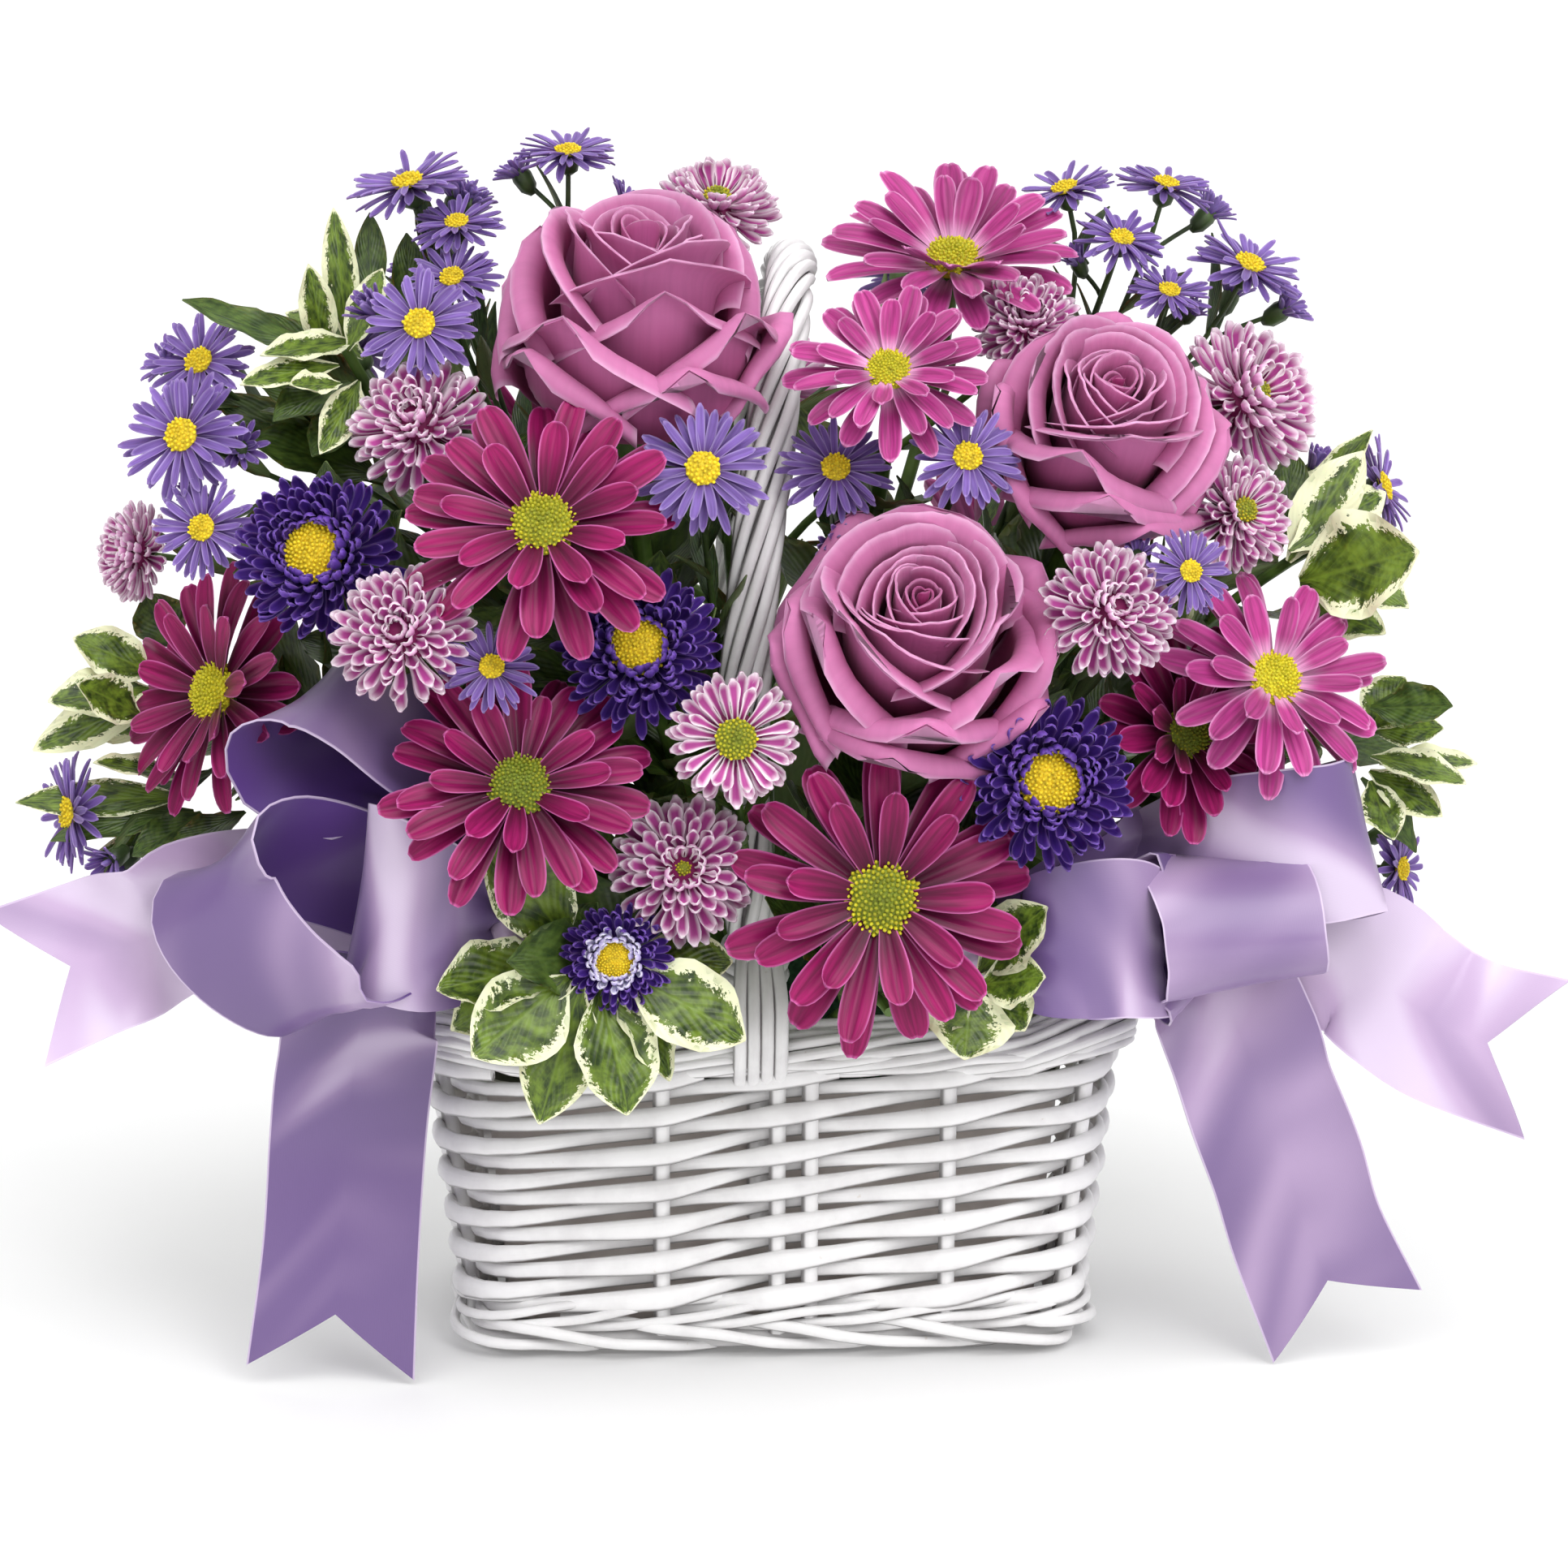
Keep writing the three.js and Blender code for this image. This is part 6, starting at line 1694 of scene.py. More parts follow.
    def sprigs(self) -> None:
        """Builds the leafy sprigs: a stem with leaves, and variegated ones crowded at its end."""
        for i, (node, (at, facing, length)) in enumerate(SPRIGS.items()):
            bloom = Bloom(at, facing, length, 300 + i)
            pile = Pile()
            path = stem_path(bloom.at, bloom.facing, 18)
            stalk(pile, path, 1.4, 1)
            rng = bloom.rng
            low, high = np.linspace(0.34, 0.84, 12), np.linspace(0.84, 0.999, 8)
            leafy(pile, rng, path, BROAD_LEAF, length * 0.85, length * 0.42, low, 2, 55)
            for base, tip, width, cream in LEAVES.get(node, ()):
                face = np.array([0.1, -0.75, 0.65]) + rng.uniform(-0.25, 0.25, 3)
                look, curl = 2 if cream < 0 else 0, rng.uniform(-35, 5)
                leaf(pile, BROAD_LEAF, rng, base, tip, face, width, look, curl, max(cream, 0.1))
            for x, y, heading in COVER.get(node, ()):
                turn = math.radians(heading + rng.uniform(-6, 6))
                reach = np.array([math.cos(turn), math.sin(turn), 0.45]) * rng.uniform(25, 32)
                base = np.array([x, y, 95.0])
                width = rng.uniform(17, 22)
                look = int(rng.choice([0, 2, 2]))
                leaf(pile, BROAD_LEAF, rng, base, base + reach, (0, 0.1, 1), width, look, -40, 0.3)
            if node not in LEAVES:
                leafy(pile, rng, path, BROAD_LEAF, length, length * 0.5, high, 0, 48)
            looks = self.chosen("variegated", "stalk", "leaf")
            hand_in(pile.build(node + "_sprig", looks, 80), "variegated_leaf", node)


# ---- ribbon bows

Station = Place  # middle of the strip, way of its width, and share of its width
# Where the knot of each bow is.
KNOTS: dict[str, Point] = {"bow_left": (-62, -70, 115), "bow_right": (48, -70, 110)}
# The strips of each bow: how brightly lit it is painted, and its stations from the knot on.
STRIPS: dict[str, tuple[float, tuple[Station, ...]]] = {
    "bow_left_loop_1": (0.3, (
        ((-69, -69, 140), (0, 0.7, 0.7), 0.6), ((-82, -73, 158), (0, 0.66, 0.74), 0.9),
        ((-96, -71, 170), (0.15, 0.86, 0.5), 1), ((-107, -65, 174), (0.35, 0.86, 0.35), 1),
        ((-116, -60, 167), (0.62, 0.75, 0.2), 1), ((-116, -58, 157), (0.7, 0.66, 0.25), 1),
        ((-107, -57, 152), (0.6, 0.62, 0.5), 1), ((-90, -56, 147), (0.3, 0.7, 0.6), 0.7),
    )),
    "bow_left_loop_2": (0.36, (
        ((-89, -73, 102), (-0.6, 0.72, -0.28), 0.8), ((-104, -80, 98), (-0.76, 0.58, -0.29), 0.95),
        ((-113, -83, 102), (-0.74, 0.48, -0.46), 1), ((-123, -85, 110), (-0.76, 0.42, -0.49), 1),
        ((-131, -85, 120), (-0.74, 0.38, -0.55), 1), ((-134, -82, 129), (-0.71, 0.33, -0.6), 1),
        ((-130, -77, 136), (-0.68, 0.3, -0.64), 1), ((-119, -70, 136), (-0.6, 0.36, -0.72), 1),
        ((-102, -63, 129), (-0.3, 0.45, -0.85), 1), ((-82, -62, 121), (-0.05, 0.45, -0.9), 0.9),
    )),
    "bow_left_loop_3": (0.42, (
        ((-69, -80, 117), (0.15, 0, 1), 0.75), ((-80, -87, 119), (0.12, -0.06, 1), 1.05),
        ((-92, -88, 125), (0.1, -0.1, 1), 1.2), ((-99, -81, 128), (0.16, -0.05, 1), 1.15),
        ((-92, -75, 127), (0.2, -0.05, 1), 0.9), ((-74, -71, 121), (0.2, 0, 1), 0.5),
    )),
    "bow_left_tail_1": (0.78, (
        ((-82, -49, 117), (0, 0.1, 1), 0.6), ((-106, -43, 117), (0, 0.15, 1), 0.9),
        ((-128, -45, 116), (0, 0.05, 1), 1), ((-142, -53, 115), (0, 0.05, 1), 1),
        ((-151, -57, 111), (0.05, -0.25, 1), 1), ((-165, -57, 106), (-0.1, 0.2, 1), 1),
        ((-183, -63, 100), (-0.2, 0.3, 0.95), 1.05),
    )),
    "bow_left_tail_2": (0.13, (
        ((-84, -66, 107), (0.7, 0, 0.5), 0.6), ((-98, -61, 95), (0.99, -0.1, 0.1), 0.95),
        ((-102, -59, 78), (1, -0.08, 0.05), 1), ((-104, -59, 61), (1, 0, 0), 1),
        ((-106, -62, 34), (1, 0.05, 0), 1), ((-109, -64, 3.4), (1, -0.05, 0.03), 1.08),
    )),
    "bow_right_loop_1": (0.45, (
        ((57, -84, 113), (0, 0, 1), 0.8), ((70, -90, 116), (-0.1, 0, 1), 1),
        ((82, -87, 116), (-0.14, 0, 1), 1), ((91, -78, 112), (-0.13, 0, 1), 0.9),
        ((84, -70, 111), (-0.1, 0, 1), 0.8), ((66, -67, 110), (0, 0, 1), 0.6),
    )),
    "bow_right_loop_2": (0.6, (
        ((66, -63, 116), (0.2, -0.1, 0.9), 0.5), ((88, -60, 126), (0.7, -0.1, 0.6), 0.8),
        ((101, -64, 131), (0.99, -0.1, 0.04), 1), ((105, -78, 131), (0.99, -0.1, 0.06), 1),
        ((108, -88, 125), (0.99, -0.1, 0.1), 1), ((109, -93, 116), (0.99, -0.1, 0.08), 1),
        ((110, -91, 108), (0.98, -0.1, 0.16), 1), ((109, -83, 103), (0.97, -0.1, 0.22), 1),
        ((104, -71, 102), (0.98, -0.06, 0.2), 0.9), ((88, -66, 105), (0.9, 0, 0.4), 0.6),
    )),
    "bow_right_loop_3": (0.36, (
        ((66, -62, 117), (0, 0.1, 1), 0.6), ((86, -62, 124), (0, 0.1, 1), 0.8),
        ((104, -70, 131), (0, 0.06, 1), 1), ((121, -80, 136), (-0.08, 0.05, 1), 1),
        ((132, -79, 137), (-0.1, 0.05, 1), 1), ((141, -69, 137), (-0.24, 0.05, 0.97), 1),
        ((133, -58, 132), (-0.12, 0.05, 1), 1), ((112, -54, 126), (-0.07, 0.06, 1), 0.8),
        ((84, -56, 119), (0, 0.1, 1), 0.5),
    )),
    "bow_right_tail_1": (0.72, (
        ((88, -56, 112), (0, 0, 1), 0.6), ((120, -58, 107), (0.25, 0.07, 0.97), 0.9),
        ((139, -61, 104), (0.31, 0.1, 0.95), 1), ((149, -66, 97), (0.4, 0.28, 0.85), 1),
        ((158, -70, 91), (0.36, 0.24, 0.9), 1), ((169, -70, 86), (0.3, 0.2, 0.93), 1),
        ((184, -77, 83), (0.24, 0.25, 0.93), 1.05),
    )),
    "bow_right_tail_2": (0.5, (
        ((84, -58, 112), (0.7, 0, 0.7), 0.5), ((103, -62, 102), (0.95, 0, 0.3), 0.9),
        ((112, -66, 86), (0.98, 0.1, 0.14), 1), ((117, -67, 71), (0.97, 0.22, 0.06), 1),
        ((124, -64, 53), (0.97, 0.2, 0.08), 1), ((130, -59, 34), (0.97, 0.16, 0.15), 1),
        ((141, -54, 9), (0.95, 0.1, 0.3), 1.08),
    )),
}


@dataclass
class Ribbon:
    """Satin ribbon, 38 mm wide: loops and tails gathered into a knot."""

    width: float = 38.0
    thickness: float = 0.5
    gathered: float = 0.24  # share of the width that a strip has inside the knot
    stacking: float = 0.7  # share of a strip's distance before or behind the pinch that it keeps in the knot
    notch: float = 15.0  # depth of the V in a tail's end
    columns: int = 15
    rows: int = 64
    # The knot's outline from its back to its front: (radius, distance along the pick).
    knot: Profile = ((3.2, -12), (6.2, -10.5), (7.6, -4), (7.8, 2), (6.6, 7.5), (3.0, 9.5))

    def strip(self, stations: list[Station], tail: bool) -> tuple[Array, float]:
        """One strip's surface and its length along the middle.

        The middle, the way of the width and its share run as smooth curves through the stations. Where the
        strip is gathered, the spare width goes into pleats, a cosine across whose depth grows as the share
        falls. A tail flutters as a slow sine along it, and its end is cut back in a V. The front of a loop is
        its outside, and a tail's looks forward.

        Args:
            stations: middle, way of the width, and share of the width.
            tail: True for a strip that ends free.

        Returns:
            (1, rows, columns, 3) points and the length.
        """
        middle = through(np.array([place for place, _, _ in stations]), 400)
        way = unit(through(np.array([unit(np.array(across, float)) for _, across, _ in stations]), 400))
        share = through(np.array([[share] for _, _, share in stations]), 400)
        run = distances(middle)
        s = np.linspace(-1, 1, self.columns)
        cut = self.notch * (1 - np.abs(s)) if tail else 0 * s
        at = np.linspace(0, 1, self.rows)[:, None] * (run[-1] - cut)[None]
        line, way, ahead = (
            np.stack([np.interp(at, run, curve[:, k]) for k in range(3)], axis=-1)
            for curve in (middle, way, np.gradient(middle, axis=0))
        )
        ahead = unit(ahead)
        way = unit(way)
        way = unit(way - ahead * np.sum(way * ahead, axis=-1, keepdims=True))
        normal = np.cross(ahead, way)
        part = np.interp(at, run, share[:, 0])
        lift = self.width * 0.1 * np.clip(1 - part, 0, 1) * np.cos(3.2 * math.pi * s)[None]
        crown = -0.6 * (s**2)[None] * part
        if tail:
            along = at / run[-1]
            lift = lift + 1.4 * np.sin(2.6 * math.pi * at / run[-1] + 1.3 * s) * ease(0.2, 0.5, along)
            outward = -normal[..., 1].mean()
        else:
            outward = np.sum(normal * (line - line.mean(axis=(0, 1))))
        order = slice(None) if outward > 0 else slice(None, None, -1)
        half = (self.width / 2 * part * s[None])[..., None]
        return (line + way * half + normal * (lift + crown)[..., None])[None, :, order], float(run[-1])

    def hidden(self, pinch: Array, inward: Array, station: Station) -> Station:
        """The gathered station of a strip inside the knot, behind or before its neighbours."""
        behind = (station[0][1] - pinch[1]) * self.stacking
        return (tuple(pinch + inward * behind), station[1], self.gathered)

    def tie(self, name: str, pinch: Array, satin: Material, stalk_look: Material) -> None:
        """Builds a bow's knot, a turned shape with nine shallow pleats as a cosine, on its wooden pick.

        Args:
            name: the bow's CAD node.
            pinch: its middle.
            satin: its look.
            stalk_look: the pick's look.
        """
        entry, inward = foam_entry(pinch)
        pile = Pile()
        angle = np.linspace(0, TAU, 40, endpoint=False)
        radius, along = np.hsplit(np.array(self.knot), 2)
        pleats = 1 + 0.07 * np.cos(9 * angle)
        x, y = radius * np.cos(angle) * pleats, radius * np.sin(angle) * pleats
        rings = np.stack([x, y, along + 0 * angle], axis=-1)
        pile.grid(Bloom(pinch, -inward, 7, 5).world(rings), look=0)
        stalk(pile, np.linspace(pinch, entry + inward * 15, 6), 1.6, 1)
        hand_in(pile.build(f"{name}_knot", [satin, stalk_look], 80), "satin_ribbon", name)

    def dress(self, name: str, satin: Material, stalk_look: Material) -> None:
        """Builds one bow: its knot, and its strips as sheets.

        Args:
            name: its CAD node.
            satin: the ribbon's look.
            stalk_look: the pick's look.
        """
        pinch = np.array(KNOTS[name], float)
        _, inward = foam_entry(pinch)
        self.tie(name, pinch, satin, stalk_look)
        for piece, (light, stations) in STRIPS.items():
            if not piece.startswith(name):
                continue
            tail, k = "_tail_" in piece, int(piece[-1])
            whole = [self.hidden(pinch, inward, stations[0]), *stations]
            if not tail:
                whole.append(self.hidden(pinch, inward, stations[-1]))
            surface, length = self.strip(whole, tail)
            pile = Pile()
            # the strip's second mark is its painted light
            pile.blades(surface, self.thickness, (0.19 * k + 0.5 * tail, light), crisp=True)
            sheet = hand_in(pile.build(piece, [satin], 60), "satin_ribbon", name)


# ---- basket


@dataclass(frozen=True)
class Strokes:
    """One row of a border: long overlapping strokes, each from inside the wall to outside and in again."""

    count: int  # round the basket
    span: float  # length of a stroke
    height: tuple[float, float]  # where it starts and ends
    outside: Point  # how far outside the wall it is at its start, middle and end
    radius: float  # of its rod
    seed: int
    lifted: float = 0.0  # how far the corners rise and stand out
    start: float = 0.0  # distance of the first stroke round the basket
    clean: float = 1.0  # share of the white that no painted shade dulls


RIM = (
    Strokes(27, 96, (74.4, 84.4), (-1.0, 4.8, -1.0), 1.55, 400, 5.0),
    Strokes(13, 70, (75.5, 80.5), (1.0, 5.4, 0.5), 1.35, 430, 3.0, 5),
    Strokes(18, 110, (80.6, 86.4), (-5.0, -1.0, -4.5), 1.6, 460, 5.0, 11),
)
# The foot's rows are dulled in part with painted shade.
FOOT = (
    Strokes(18, 84, (7.4, 15.6), (-1.0, 3.6, -1.5), 1.3, 500, clean=0.86),
    Strokes(14, 76, (10.4, 2.4), (-2.5, 4.8, -2.5), 1.55, 540, start=9, clean=0.9),
    Strokes(13, 100, (6.4, 2.6), (-4.0, -1.0, -4.0), 2.1, 580, start=20, clean=0.6),
)
UPWARDS = np.array([0.0, 0.0, 1.0])
SIDEWAYS = np.array([1.0, 0.0, 0.0])


@dataclass
class Basket:
    """A small oblong basket of white willow in French rand, with a rolled rim and foot and a wound handle."""

    half_width: float = 75.0
    half_depth: float = 43.5
    corner: float = 13.0
    flare: float = 7.5  # how far the wall leans out from its foot to its top
    wall: tuple[float, float] = (13.6, 75.6)
    levels: int = 13  # of rods, from the foot to the rim
    # Distance of each upright round the plan from the left end of the front's straight.
    stakes: tuple[float, ...] = (
        34.0, 62.4, 104.2, 134.2, 152.0, 175.0, 198.0, 215.6,
        245.8, 274.0, 315.8, 345.6, 364.0, 386.5, 409.0, 426.8,
    )
    # The front half of the handle's arch, from inside the rim to near its top.
    arch: tuple[Point, ...] = (
        (-4, -36, 82), (-6, -47, 112), (-8, -52, 155), (-5, -50, 198), (0, -39, 236), (4, -20, 260),
    )

    def plan(self, distance: Array) -> tuple[Array, Array]:
        """Points and outward directions round the foot's plan at distances from the front's left end.

        Args:
            distance: round the plan, of any shape.

        Returns:
            The points and the unit directions, both in two dimensions.
        """
        w, d, r = self.half_width, self.half_depth, self.corner
        corners = [(w - r, -d + r, -90), (w - r, d - r, 0), (-w + r, d - r, 90), (-w + r, -d + r, 180)]
        angle = np.radians(np.concatenate([np.linspace(a, a + 90, 24) for _, _, a in corners]))
        centre = np.repeat([(x, y) for x, y, _ in corners], 24, axis=0)
        out = np.stack([np.cos(angle), np.sin(angle)], axis=-1)
        out = np.vstack([out[-1:], out])
        line = np.vstack([centre[-1:], centre]) + out * r
        run = distances(line)
        at = np.mod(distance, run[-1])
        point, away = (np.stack([np.interp(at, run, x[:, k]) for k in (0, 1)], axis=-1) for x in (line, out))
        return point, unit(away)

    def around(self, distance: Array, outside: Array, height: Array) -> Array:
        """Places on the wall, which leans out evenly by its flare.

        Args:
            distance: round the wall.
            outside: how far outside its middle.
            height: above the table.

        Returns:
            The points.
        """
        point, out = self.plan(distance)
        low, high = self.wall
        lean = self.flare * np.clip((height - low) / (high - low), 0, 1.15)
        flat = point + out * (lean + outside)[..., None]
        return np.concatenate([flat, np.broadcast_to(height, distance.shape)[..., None]], axis=-1)

    @property
    def girth(self) -> float:
        """Length of the plan."""
        return 4 * (self.half_width + self.half_depth - 2 * self.corner) + TAU * self.corner

    def wall_rods(self, pile: Pile) -> None:
        """French rand: one rod starts at each upright and climbs one level at each upright to the right.

        It passes before the upright on even levels and behind it on odd ones, as a cosine, so that all
        uprights show between the same levels.

        Args:
            pile: where they go.
        """
        low, high = self.wall
        pitch = (high - low) / self.levels
        n = len(self.stakes)
        ring = np.concatenate([np.array(self.stakes) + turn * self.girth for turn in range(-1, 3)])
        rng = np.random.default_rng(7)
        for k in range(n):
            level = np.linspace(-0.95, self.levels - 0.65, self.levels * 11)
            spot = np.interp(level + k + n, np.arange(len(ring)), ring)
            swing = np.cos(math.pi * level)
            outside = 2.9 * swing + 0.2 * wavy(900 + k, len(level))
            height = low + pitch * (level + 0.5) + 0.3 * wavy(930 + k, len(level)) * ease(0, 2, level)
            full = 1.0 - 0.1 * level / self.levels
            radii = (2.1 + 0.95 * np.clip(swing, 0, 1) ** 2) * full * rng.uniform(0.93, 1.05)
            pile.grid(sweep(self.around(spot, outside, height), radii, 10, UPWARDS, 0.62), (k / n, 1, 0))

    def uprights(self, pile: Pile) -> None:
        """The stakes, and a second one beside each of the middle ones.

        Args:
            pile: where they go.
        """
        _, high = self.wall
        extra = (self.stakes[1] + 8.0, self.stakes[9] + 8.0)
        for k, stake in enumerate((*self.stakes, *extra)):
            path = self.around(np.full(12, stake), 0.25 * wavy(700 + k, 12), np.linspace(6, high + 5, 12))
            pile.grid(sweep(path, 2.2, 8, np.array([1.0, 0.3, 0.0])))

    def border(self, pile: Pile, strokes: Strokes) -> None:
        """One row of a border: its height runs as a smooth step, and its distance outside as a curve.

        Args:
            pile: where it goes.
            strokes: its measures.
        """
        points = 26
        share = np.linspace(0, 1, points)
        count, (low, high) = strokes.count, strokes.height
        side = through(np.array(strokes.outside)[:, None], points)[:, 0]
        radii = strokes.radius * (1.04 - 0.16 * share)
        radii = radii * (0.55 + 0.45 * ease(0, 0.06, share) * ease(1.0, 0.94, share))
        for k in range(count):
            spot = strokes.start + (k + share * strokes.span * count / self.girth) * self.girth / count
            _, out = self.plan(spot)
            corner = 2 * np.abs(out[:, 0] * out[:, 1]) * strokes.lifted
            level = low + (high - low) * ease(0.0, 1.0, share) + corner
            outside = side + 0.6 * corner + 0.45 * wavy(strokes.seed + k, points)
            path = self.around(spot, outside, level + 0.6 * wavy(strokes.seed + 50 + k, points, 3))
            pile.grid(sweep(path, radii, 10, UPWARDS, 0.86), (k / count, strokes.clean, 0))

    def dress(self, willow: Material) -> None:
        """Builds the wall, rim, foot, floor and handle.

        Args:
            willow: the look of all of them.
        """
        wall = Pile()
        self.wall_rods(wall)
        self.uprights(wall)
        hand_in(wall.build("willow_wall", [willow]), "white_willow", "basket_weave")
        for name, rows, node in (("willow_rim", RIM, "basket_rim"), ("willow_foot", FOOT, "basket_foot")):
            pile = Pile()
            for strokes in rows:
                self.border(pile, strokes)
            hand_in(pile.build(name, [willow]), "white_willow", node)
        self.floor(willow)
        self.handle(willow)

    def floor(self, willow: Material) -> None:
        """The woven floor: slats across and thin rods that pass over and under them, as a cosine.

        Args:
            willow: its look.
        """
        pile = Pile()
        deep, wide = self.half_depth - 7.2, self.half_width - 7.2
        slats = np.linspace(-wide + 8, wide - 8, 9)
        for x in slats:
            path = np.stack([np.full(8, x), np.linspace(-deep, deep, 8), np.full(8, 2.0)], axis=-1)
            pile.grid(sweep(path, 1.1, 8, UPWARDS, 2.2))
        x = np.linspace(-wide, wide, 72)
        for k, y in enumerate(np.linspace(-deep + 1.6, deep - 1.6, 20)):
            swing = np.cos(math.pi * ((x - slats[0]) / (slats[1] - slats[0]) + k))
            path = np.stack([x, np.full(72, y), 2.0 + 0.85 * swing], axis=-1)
            pile.grid(sweep(path, 1.1, 8, UPWARDS, 1.6))
        hand_in(pile.build("willow_floor", [willow]), "white_willow", "basket_floor")

    def handle(self, willow: Material) -> None:
        """The arched handle: thin rods wound round a core as helices, with its feet bound over the rim.

        Args:
            willow: its look.
        """
        points, strands, turns = 170, 8, 4.2
        back = [(x, -y, z) for x, y, z in self.arch[::-1]]
        line = through(np.array([*self.arch, (5.6, 0, 266), *back], float), points)
        ahead = unit(np.gradient(line, axis=0))
        side = unit(np.cross(ahead, SIDEWAYS))
        other = np.cross(ahead, side)
        pile = Pile()
        # The core is marked for painted shade all over, which darkens the gaps between the strands.
        pile.grid(sweep(line, 3.4, 10, SIDEWAYS), (0, 0, 0))
        for k in range(strands):
            turn = TAU * (k / strands + turns * np.linspace(0, 1, points)) + 0.12 * wavy(640 + k, points)
            reach = 4.7 + 0.2 * wavy(660 + k, points)
            path = line + (np.cos(turn) * reach)[:, None] * side + (np.sin(turn) * reach)[:, None] * other
            radii = 1.55 * (1 + 0.06 * wavy(680 + k, points))
            pile.grid(sweep(path, radii, 8, SIDEWAYS), (k / strands, 1, 0))
        for front in (-1, 1):
            self.foot_of_handle(pile, front)
        hand_in(pile.build("willow_handle", [willow]), "white_willow", "basket_handle")

    def foot_of_handle(self, pile: Pile, front: int) -> None:
        """The core's end inside the wall, four lashings over the rim, and three rings round the strands.

        Args:
            pile: where they go.
            front: -1 for the front foot, and 1 for the back one.
        """
        end = [(-4, front * y, z) for y, z in ((38.5, 92), (41.2, 72), (37.6, 34))]
        stalk(pile, through(np.array(end), 14), 2.9)
        lashings, rings = 4, 3
        for k in range(lashings):
            x = -4 + (k - 1.5) * 3.3
            lash = [
                (x * 0.6 - 1.5, 41, 108), (x * 0.8 - 1, 51, 104), (x, 58.5, 94.5), (x, 60.6, 86), (x, 58, 79),
                (x, 53, 73),
            ]
            path = through(np.array(lash) * np.array([1, front, 1]), 22)
            pile.grid(sweep(path, 1.75, 8, SIDEWAYS), (k / lashings, 1, 0))
        angle = np.linspace(-0.2, TAU + 0.2, 30)
        for k in range(rings):
            x, y = -5 + 6.9 * np.cos(angle), front * (43.5 + k) + 6.9 * np.sin(angle)
            path = np.stack([x, y, 97.5 + 3.6 * k + 1.6 * np.sin(angle)], axis=-1)
            pile.grid(sweep(path, 1.7, 8, UPWARDS), (k / rings, 1, 0))


@dataclass
class Filling:
    """The liner and the block of wet foam inside the basket."""

    sides: int = 96
    squareness: float = 0.22  # power of the plan's curve: 1 is an ellipse, and 0 an oblong
    # Half width, half depth and height of the liner's outside, from under its floor to its lip.
    outside: tuple[Point, ...] = (
        (60.0, 26.0, 4.4), (66.0, 31.6, 5.4), (68.4, 34.4, 30.0), (72.0, 37.8, 66.0), (72.4, 38.2, 68.0),
    )
    film: float = 0.9  # thickness of the liner
    # The foam's outline from its foot to its top: (share of its half width and depth, height).
    block: Profile = (
        (0.3, 5.9), (0.9, 5.9), (0.99, 7.5), (1.0, 12), (1.0, 40), (1.0, 88), (0.985, 94), (0.95, 97.2),
        (0.8, 98), (0.3, 98),
    )

    def ring(self, half_width: float, half_depth: float, rounding: float, height: float) -> Array:
        """A rounded oblong of points at one height: powers of cosine and sine, drawn in at the corners.

        Args:
            half_width: of the oblong.
            half_depth: of the oblong.
            rounding: how far its corners are drawn in.
            height: of all its points.

        Returns:
            (sides, 3) points.
        """
        angle = np.linspace(0, TAU, self.sides, endpoint=False)
        c, s = np.cos(angle), np.sin(angle)
        x = half_width * np.sign(c) * np.abs(c) ** self.squareness
        y = half_depth * np.sign(s) * np.abs(s) ** self.squareness
        scale = 1 - rounding * 0.004 * np.abs(c * s)
        return np.stack([x * scale, y * scale, np.full(self.sides, height)], axis=-1)

    def dress(self, film_look: Material, foam_look: Material) -> None:
        """Builds the creased liner tray, and the foam with its crumbly skin.

        Args:
            film_look: the liner's.
            foam_look: the foam's.
        """
        crease = 0.5 * wavy(32, self.sides + 1, 14)[:-1, None]
        film = self.film
        inside = [(w - film, d - film, z + (film if z < 10 else 0)) for w, d, z in self.outside[::-1]]
        rings = np.stack([self.ring(w, d, 6, z) for w, d, z in [*self.outside, *inside]])
        out = unit(rings * np.array([1.0, 1.0, 0.0]))
        upper = np.clip((rings[..., 2:] - 20) / 50, 0, 1)
        tray = Pile()
        tray.grid(rings - out * np.abs(crease) * upper)
        hand_in(tray.build("liner_tray", [film_look], 60), "liner_film", "liner")
        rng = np.random.default_rng(31)
        foam = np.stack([self.ring(FOAM_HALF[0] * k, FOAM_HALF[1] * k, 12, z) for k, z in self.block])
        body = Pile()
        body.grid(foam + rng.uniform(-0.25, 0.25, foam.shape) * np.array([1, 1, 0.3]))
        hand_in(body.build("foam_block", [foam_look], 60), "wet_foam", "foam")


# ---- studio


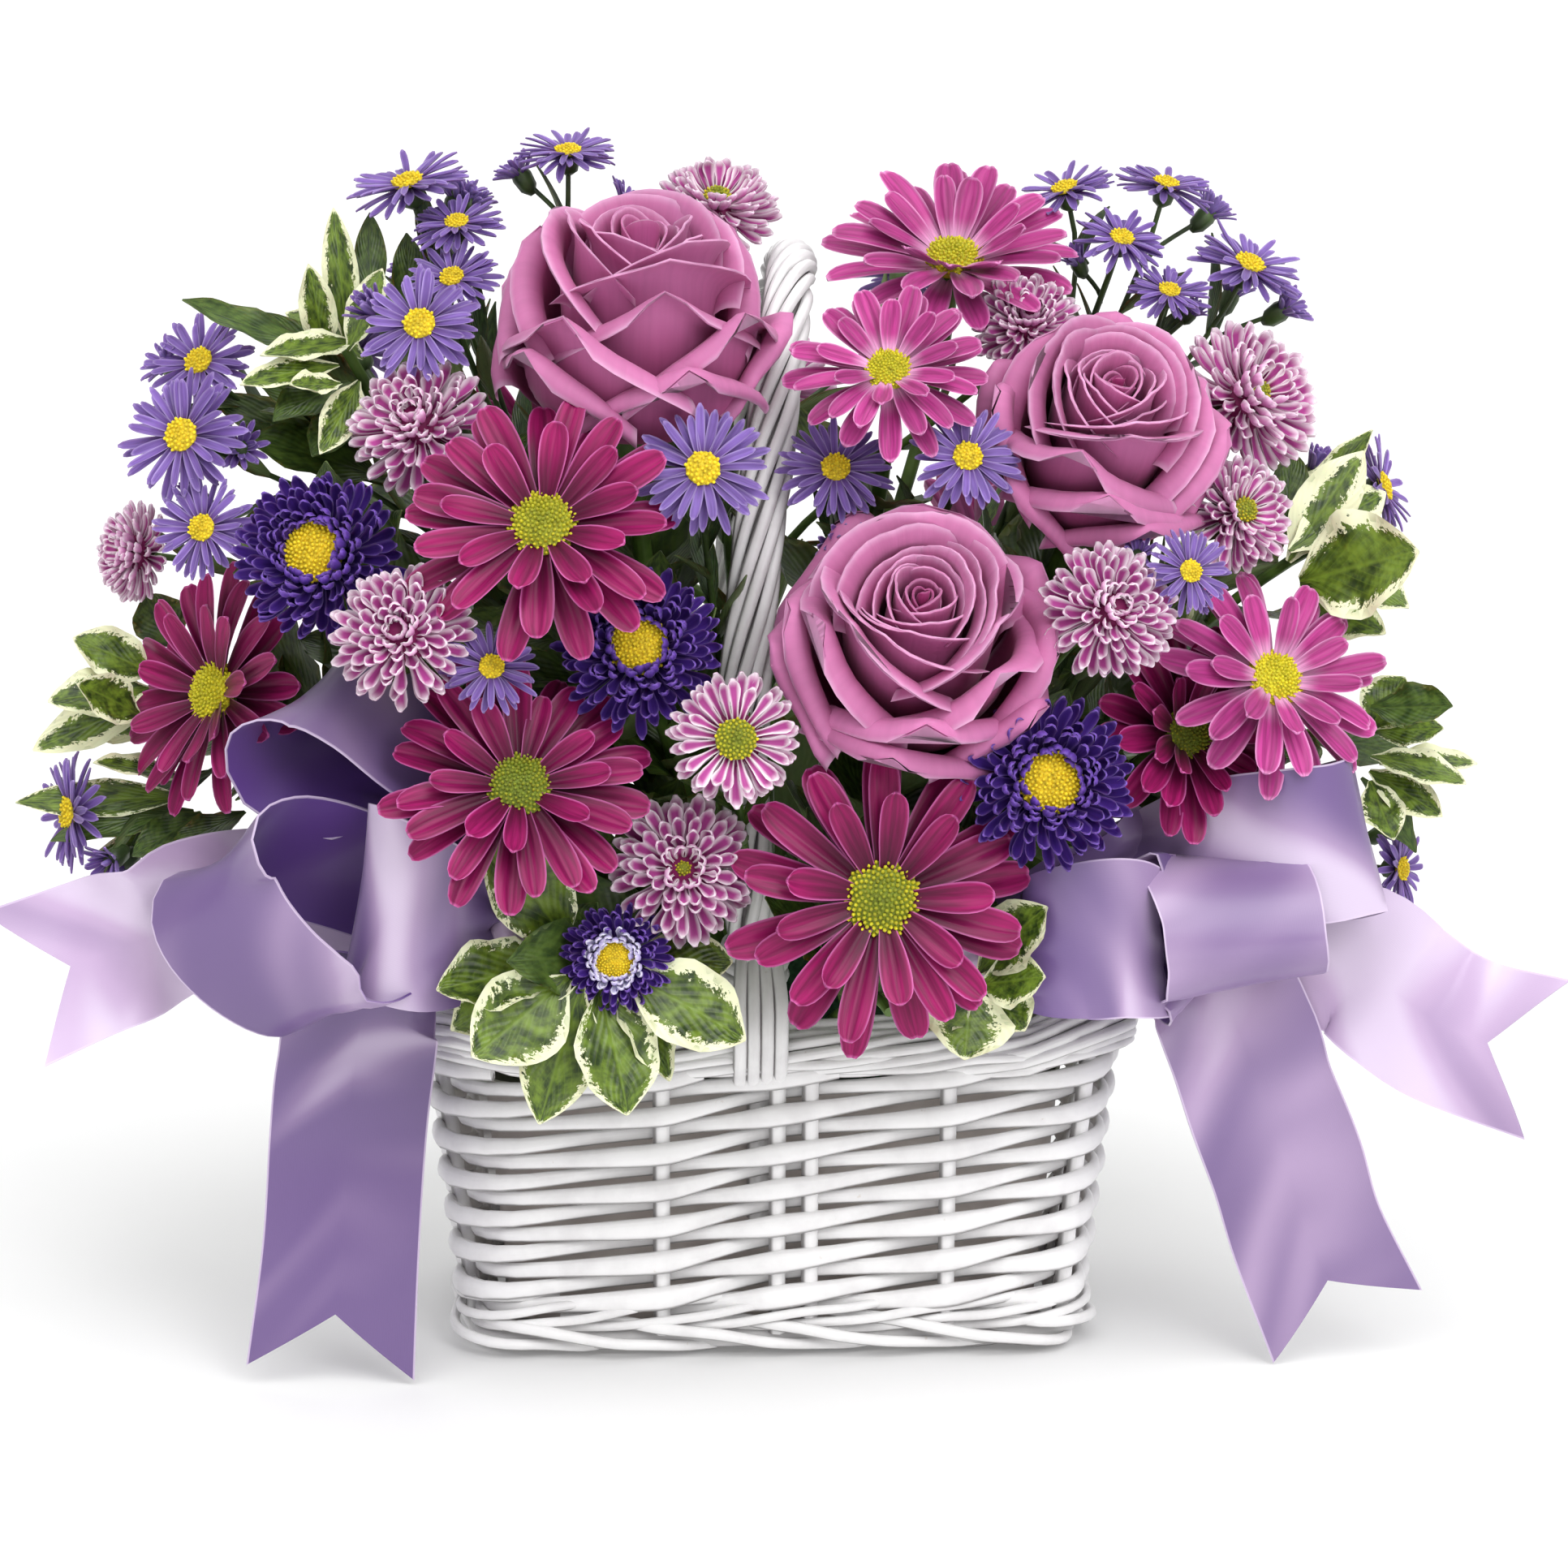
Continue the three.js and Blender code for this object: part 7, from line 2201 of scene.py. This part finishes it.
@dataclass
class Studio:
    """A pale floor, soft light and the camera at the photograph's angle."""

    target: Point = (3.7, 0.0, 135.5)  # in millimetres, as is the distance
    distance: float = 1300.0
    azimuth: float = -2.0  # degrees, as is the elevation
    elevation: float = 12.0
    lens: float = 119.0
    half_floor: float = 6.0  # in metres
    # Wide banks of diffused lamps: name, strength, and the way each shines from.
    banks: tuple[tuple[str, float, Point], ...] = (
        ("bank_right", 1.35, (0.45, -0.7, 1.4)),
        ("bank_left", 0.85, (-0.45, -0.8, 1.3)),
        ("bank_back", 0.5, (0.05, 0.8, 1.2)),
    )

    def build(self) -> None:
        """Makes the floor, the world, the lamps and the camera."""
        self.floor()
        world = bpy.data.worlds.new("studio_white")
        world.use_nodes = True
        background = world.node_tree.nodes["Background"]
        background.inputs["Color"].default_value = linear("ffffff")
        background.inputs["Strength"].default_value = 0.57
        bpy.context.scene.world = world
        self.lamps()
        bpy.context.scene.view_settings.view_transform = "Standard"
        self.camera()

    def floor(self) -> None:
        """Adds the pale floor, with a faint light of its own, as if some came through from below."""
        look = Look("pale studio floor")
        material = look.finish("e7e7e7", Roughness=0.8, Emission_Color="ffffff", Emission_Strength=0.12)
        mesh = bpy.data.meshes.new("studio_floor")
        edge = self.half_floor
        corners = [(x * edge, y * edge, 0) for x, y in ((-1, -1), (1, -1), (1, 1), (-1, 1))]
        mesh.from_pydata(corners, [], [(0, 1, 2, 3)])
        mesh.materials.append(material)
        floor = bpy.data.objects.new("studio_floor", mesh)
        bpy.context.scene.collection.objects.link(floor)

    def aim(self, name: str, data: bpy.types.ID, at: Array) -> bpy.types.Object:
        """Stands a lamp or camera at a place, in metres, and turns it to the target.

        Args:
            name: the new object's name.
            data: its lamp or camera data.
            at: the place.

        Returns:
            The new object.
        """
        thing = bpy.data.objects.new(name, data)
        away = Vector(at) - Vector([x * MM for x in self.target])
        thing.location = Vector(at)
        thing.rotation_euler = away.to_track_quat("Z", "Y").to_euler()
        bpy.context.scene.collection.objects.link(thing)
        return thing

    def lamps(self) -> None:
        """Adds three very soft suns from above, on either side and behind, and a square key lamp in front."""
        for name, strength, at in self.banks:
            sun = bpy.data.lights.new(name, "SUN")
            sun.angle = math.radians(46)
            sun.energy = strength
            self.aim(name, sun, at)
        key = bpy.data.lights.new("key", "AREA")
        key.size = 0.5
        key.energy = 5.0
        self.aim("key", key, (0.5, -1.3, 0.8))

    def camera(self) -> None:
        """Adds the camera."""
        data = bpy.data.cameras.new("camera")
        data.lens = self.lens
        data.sensor_width = 36.0
        a, e = math.radians(self.azimuth), math.radians(self.elevation)
        back = np.array([math.sin(a) * math.cos(e), -math.cos(a) * math.cos(e), math.sin(e)])
        at = (np.array(self.target) + back * self.distance) * MM
        bpy.context.scene.camera = self.aim("camera", data, at)


def main() -> None:
    """Builds every sub-assembly in order."""
    logging.basicConfig(level=logging.INFO, format="%(name)s: %(message)s")
    Studio().build()
    looks = {name: finish.material() for name, finish in FINISHES.items()}
    clear_room()
    Basket().dress(looks["willow"])
    Filling().dress(looks["liner_film"], looks["wet_foam"])
    for rose in ROSES:
        rose.dress(looks)
    flowers = Flowers(looks)
    flowers.daisies()
    flowers.china_asters()
    flowers.cushions()
    flowers.lilacs()
    flowers.sprigs()
    for name in KNOTS:
        Ribbon().dress(name, looks["satin"], looks["stalk"])


if __name__ == "__main__":
    main()
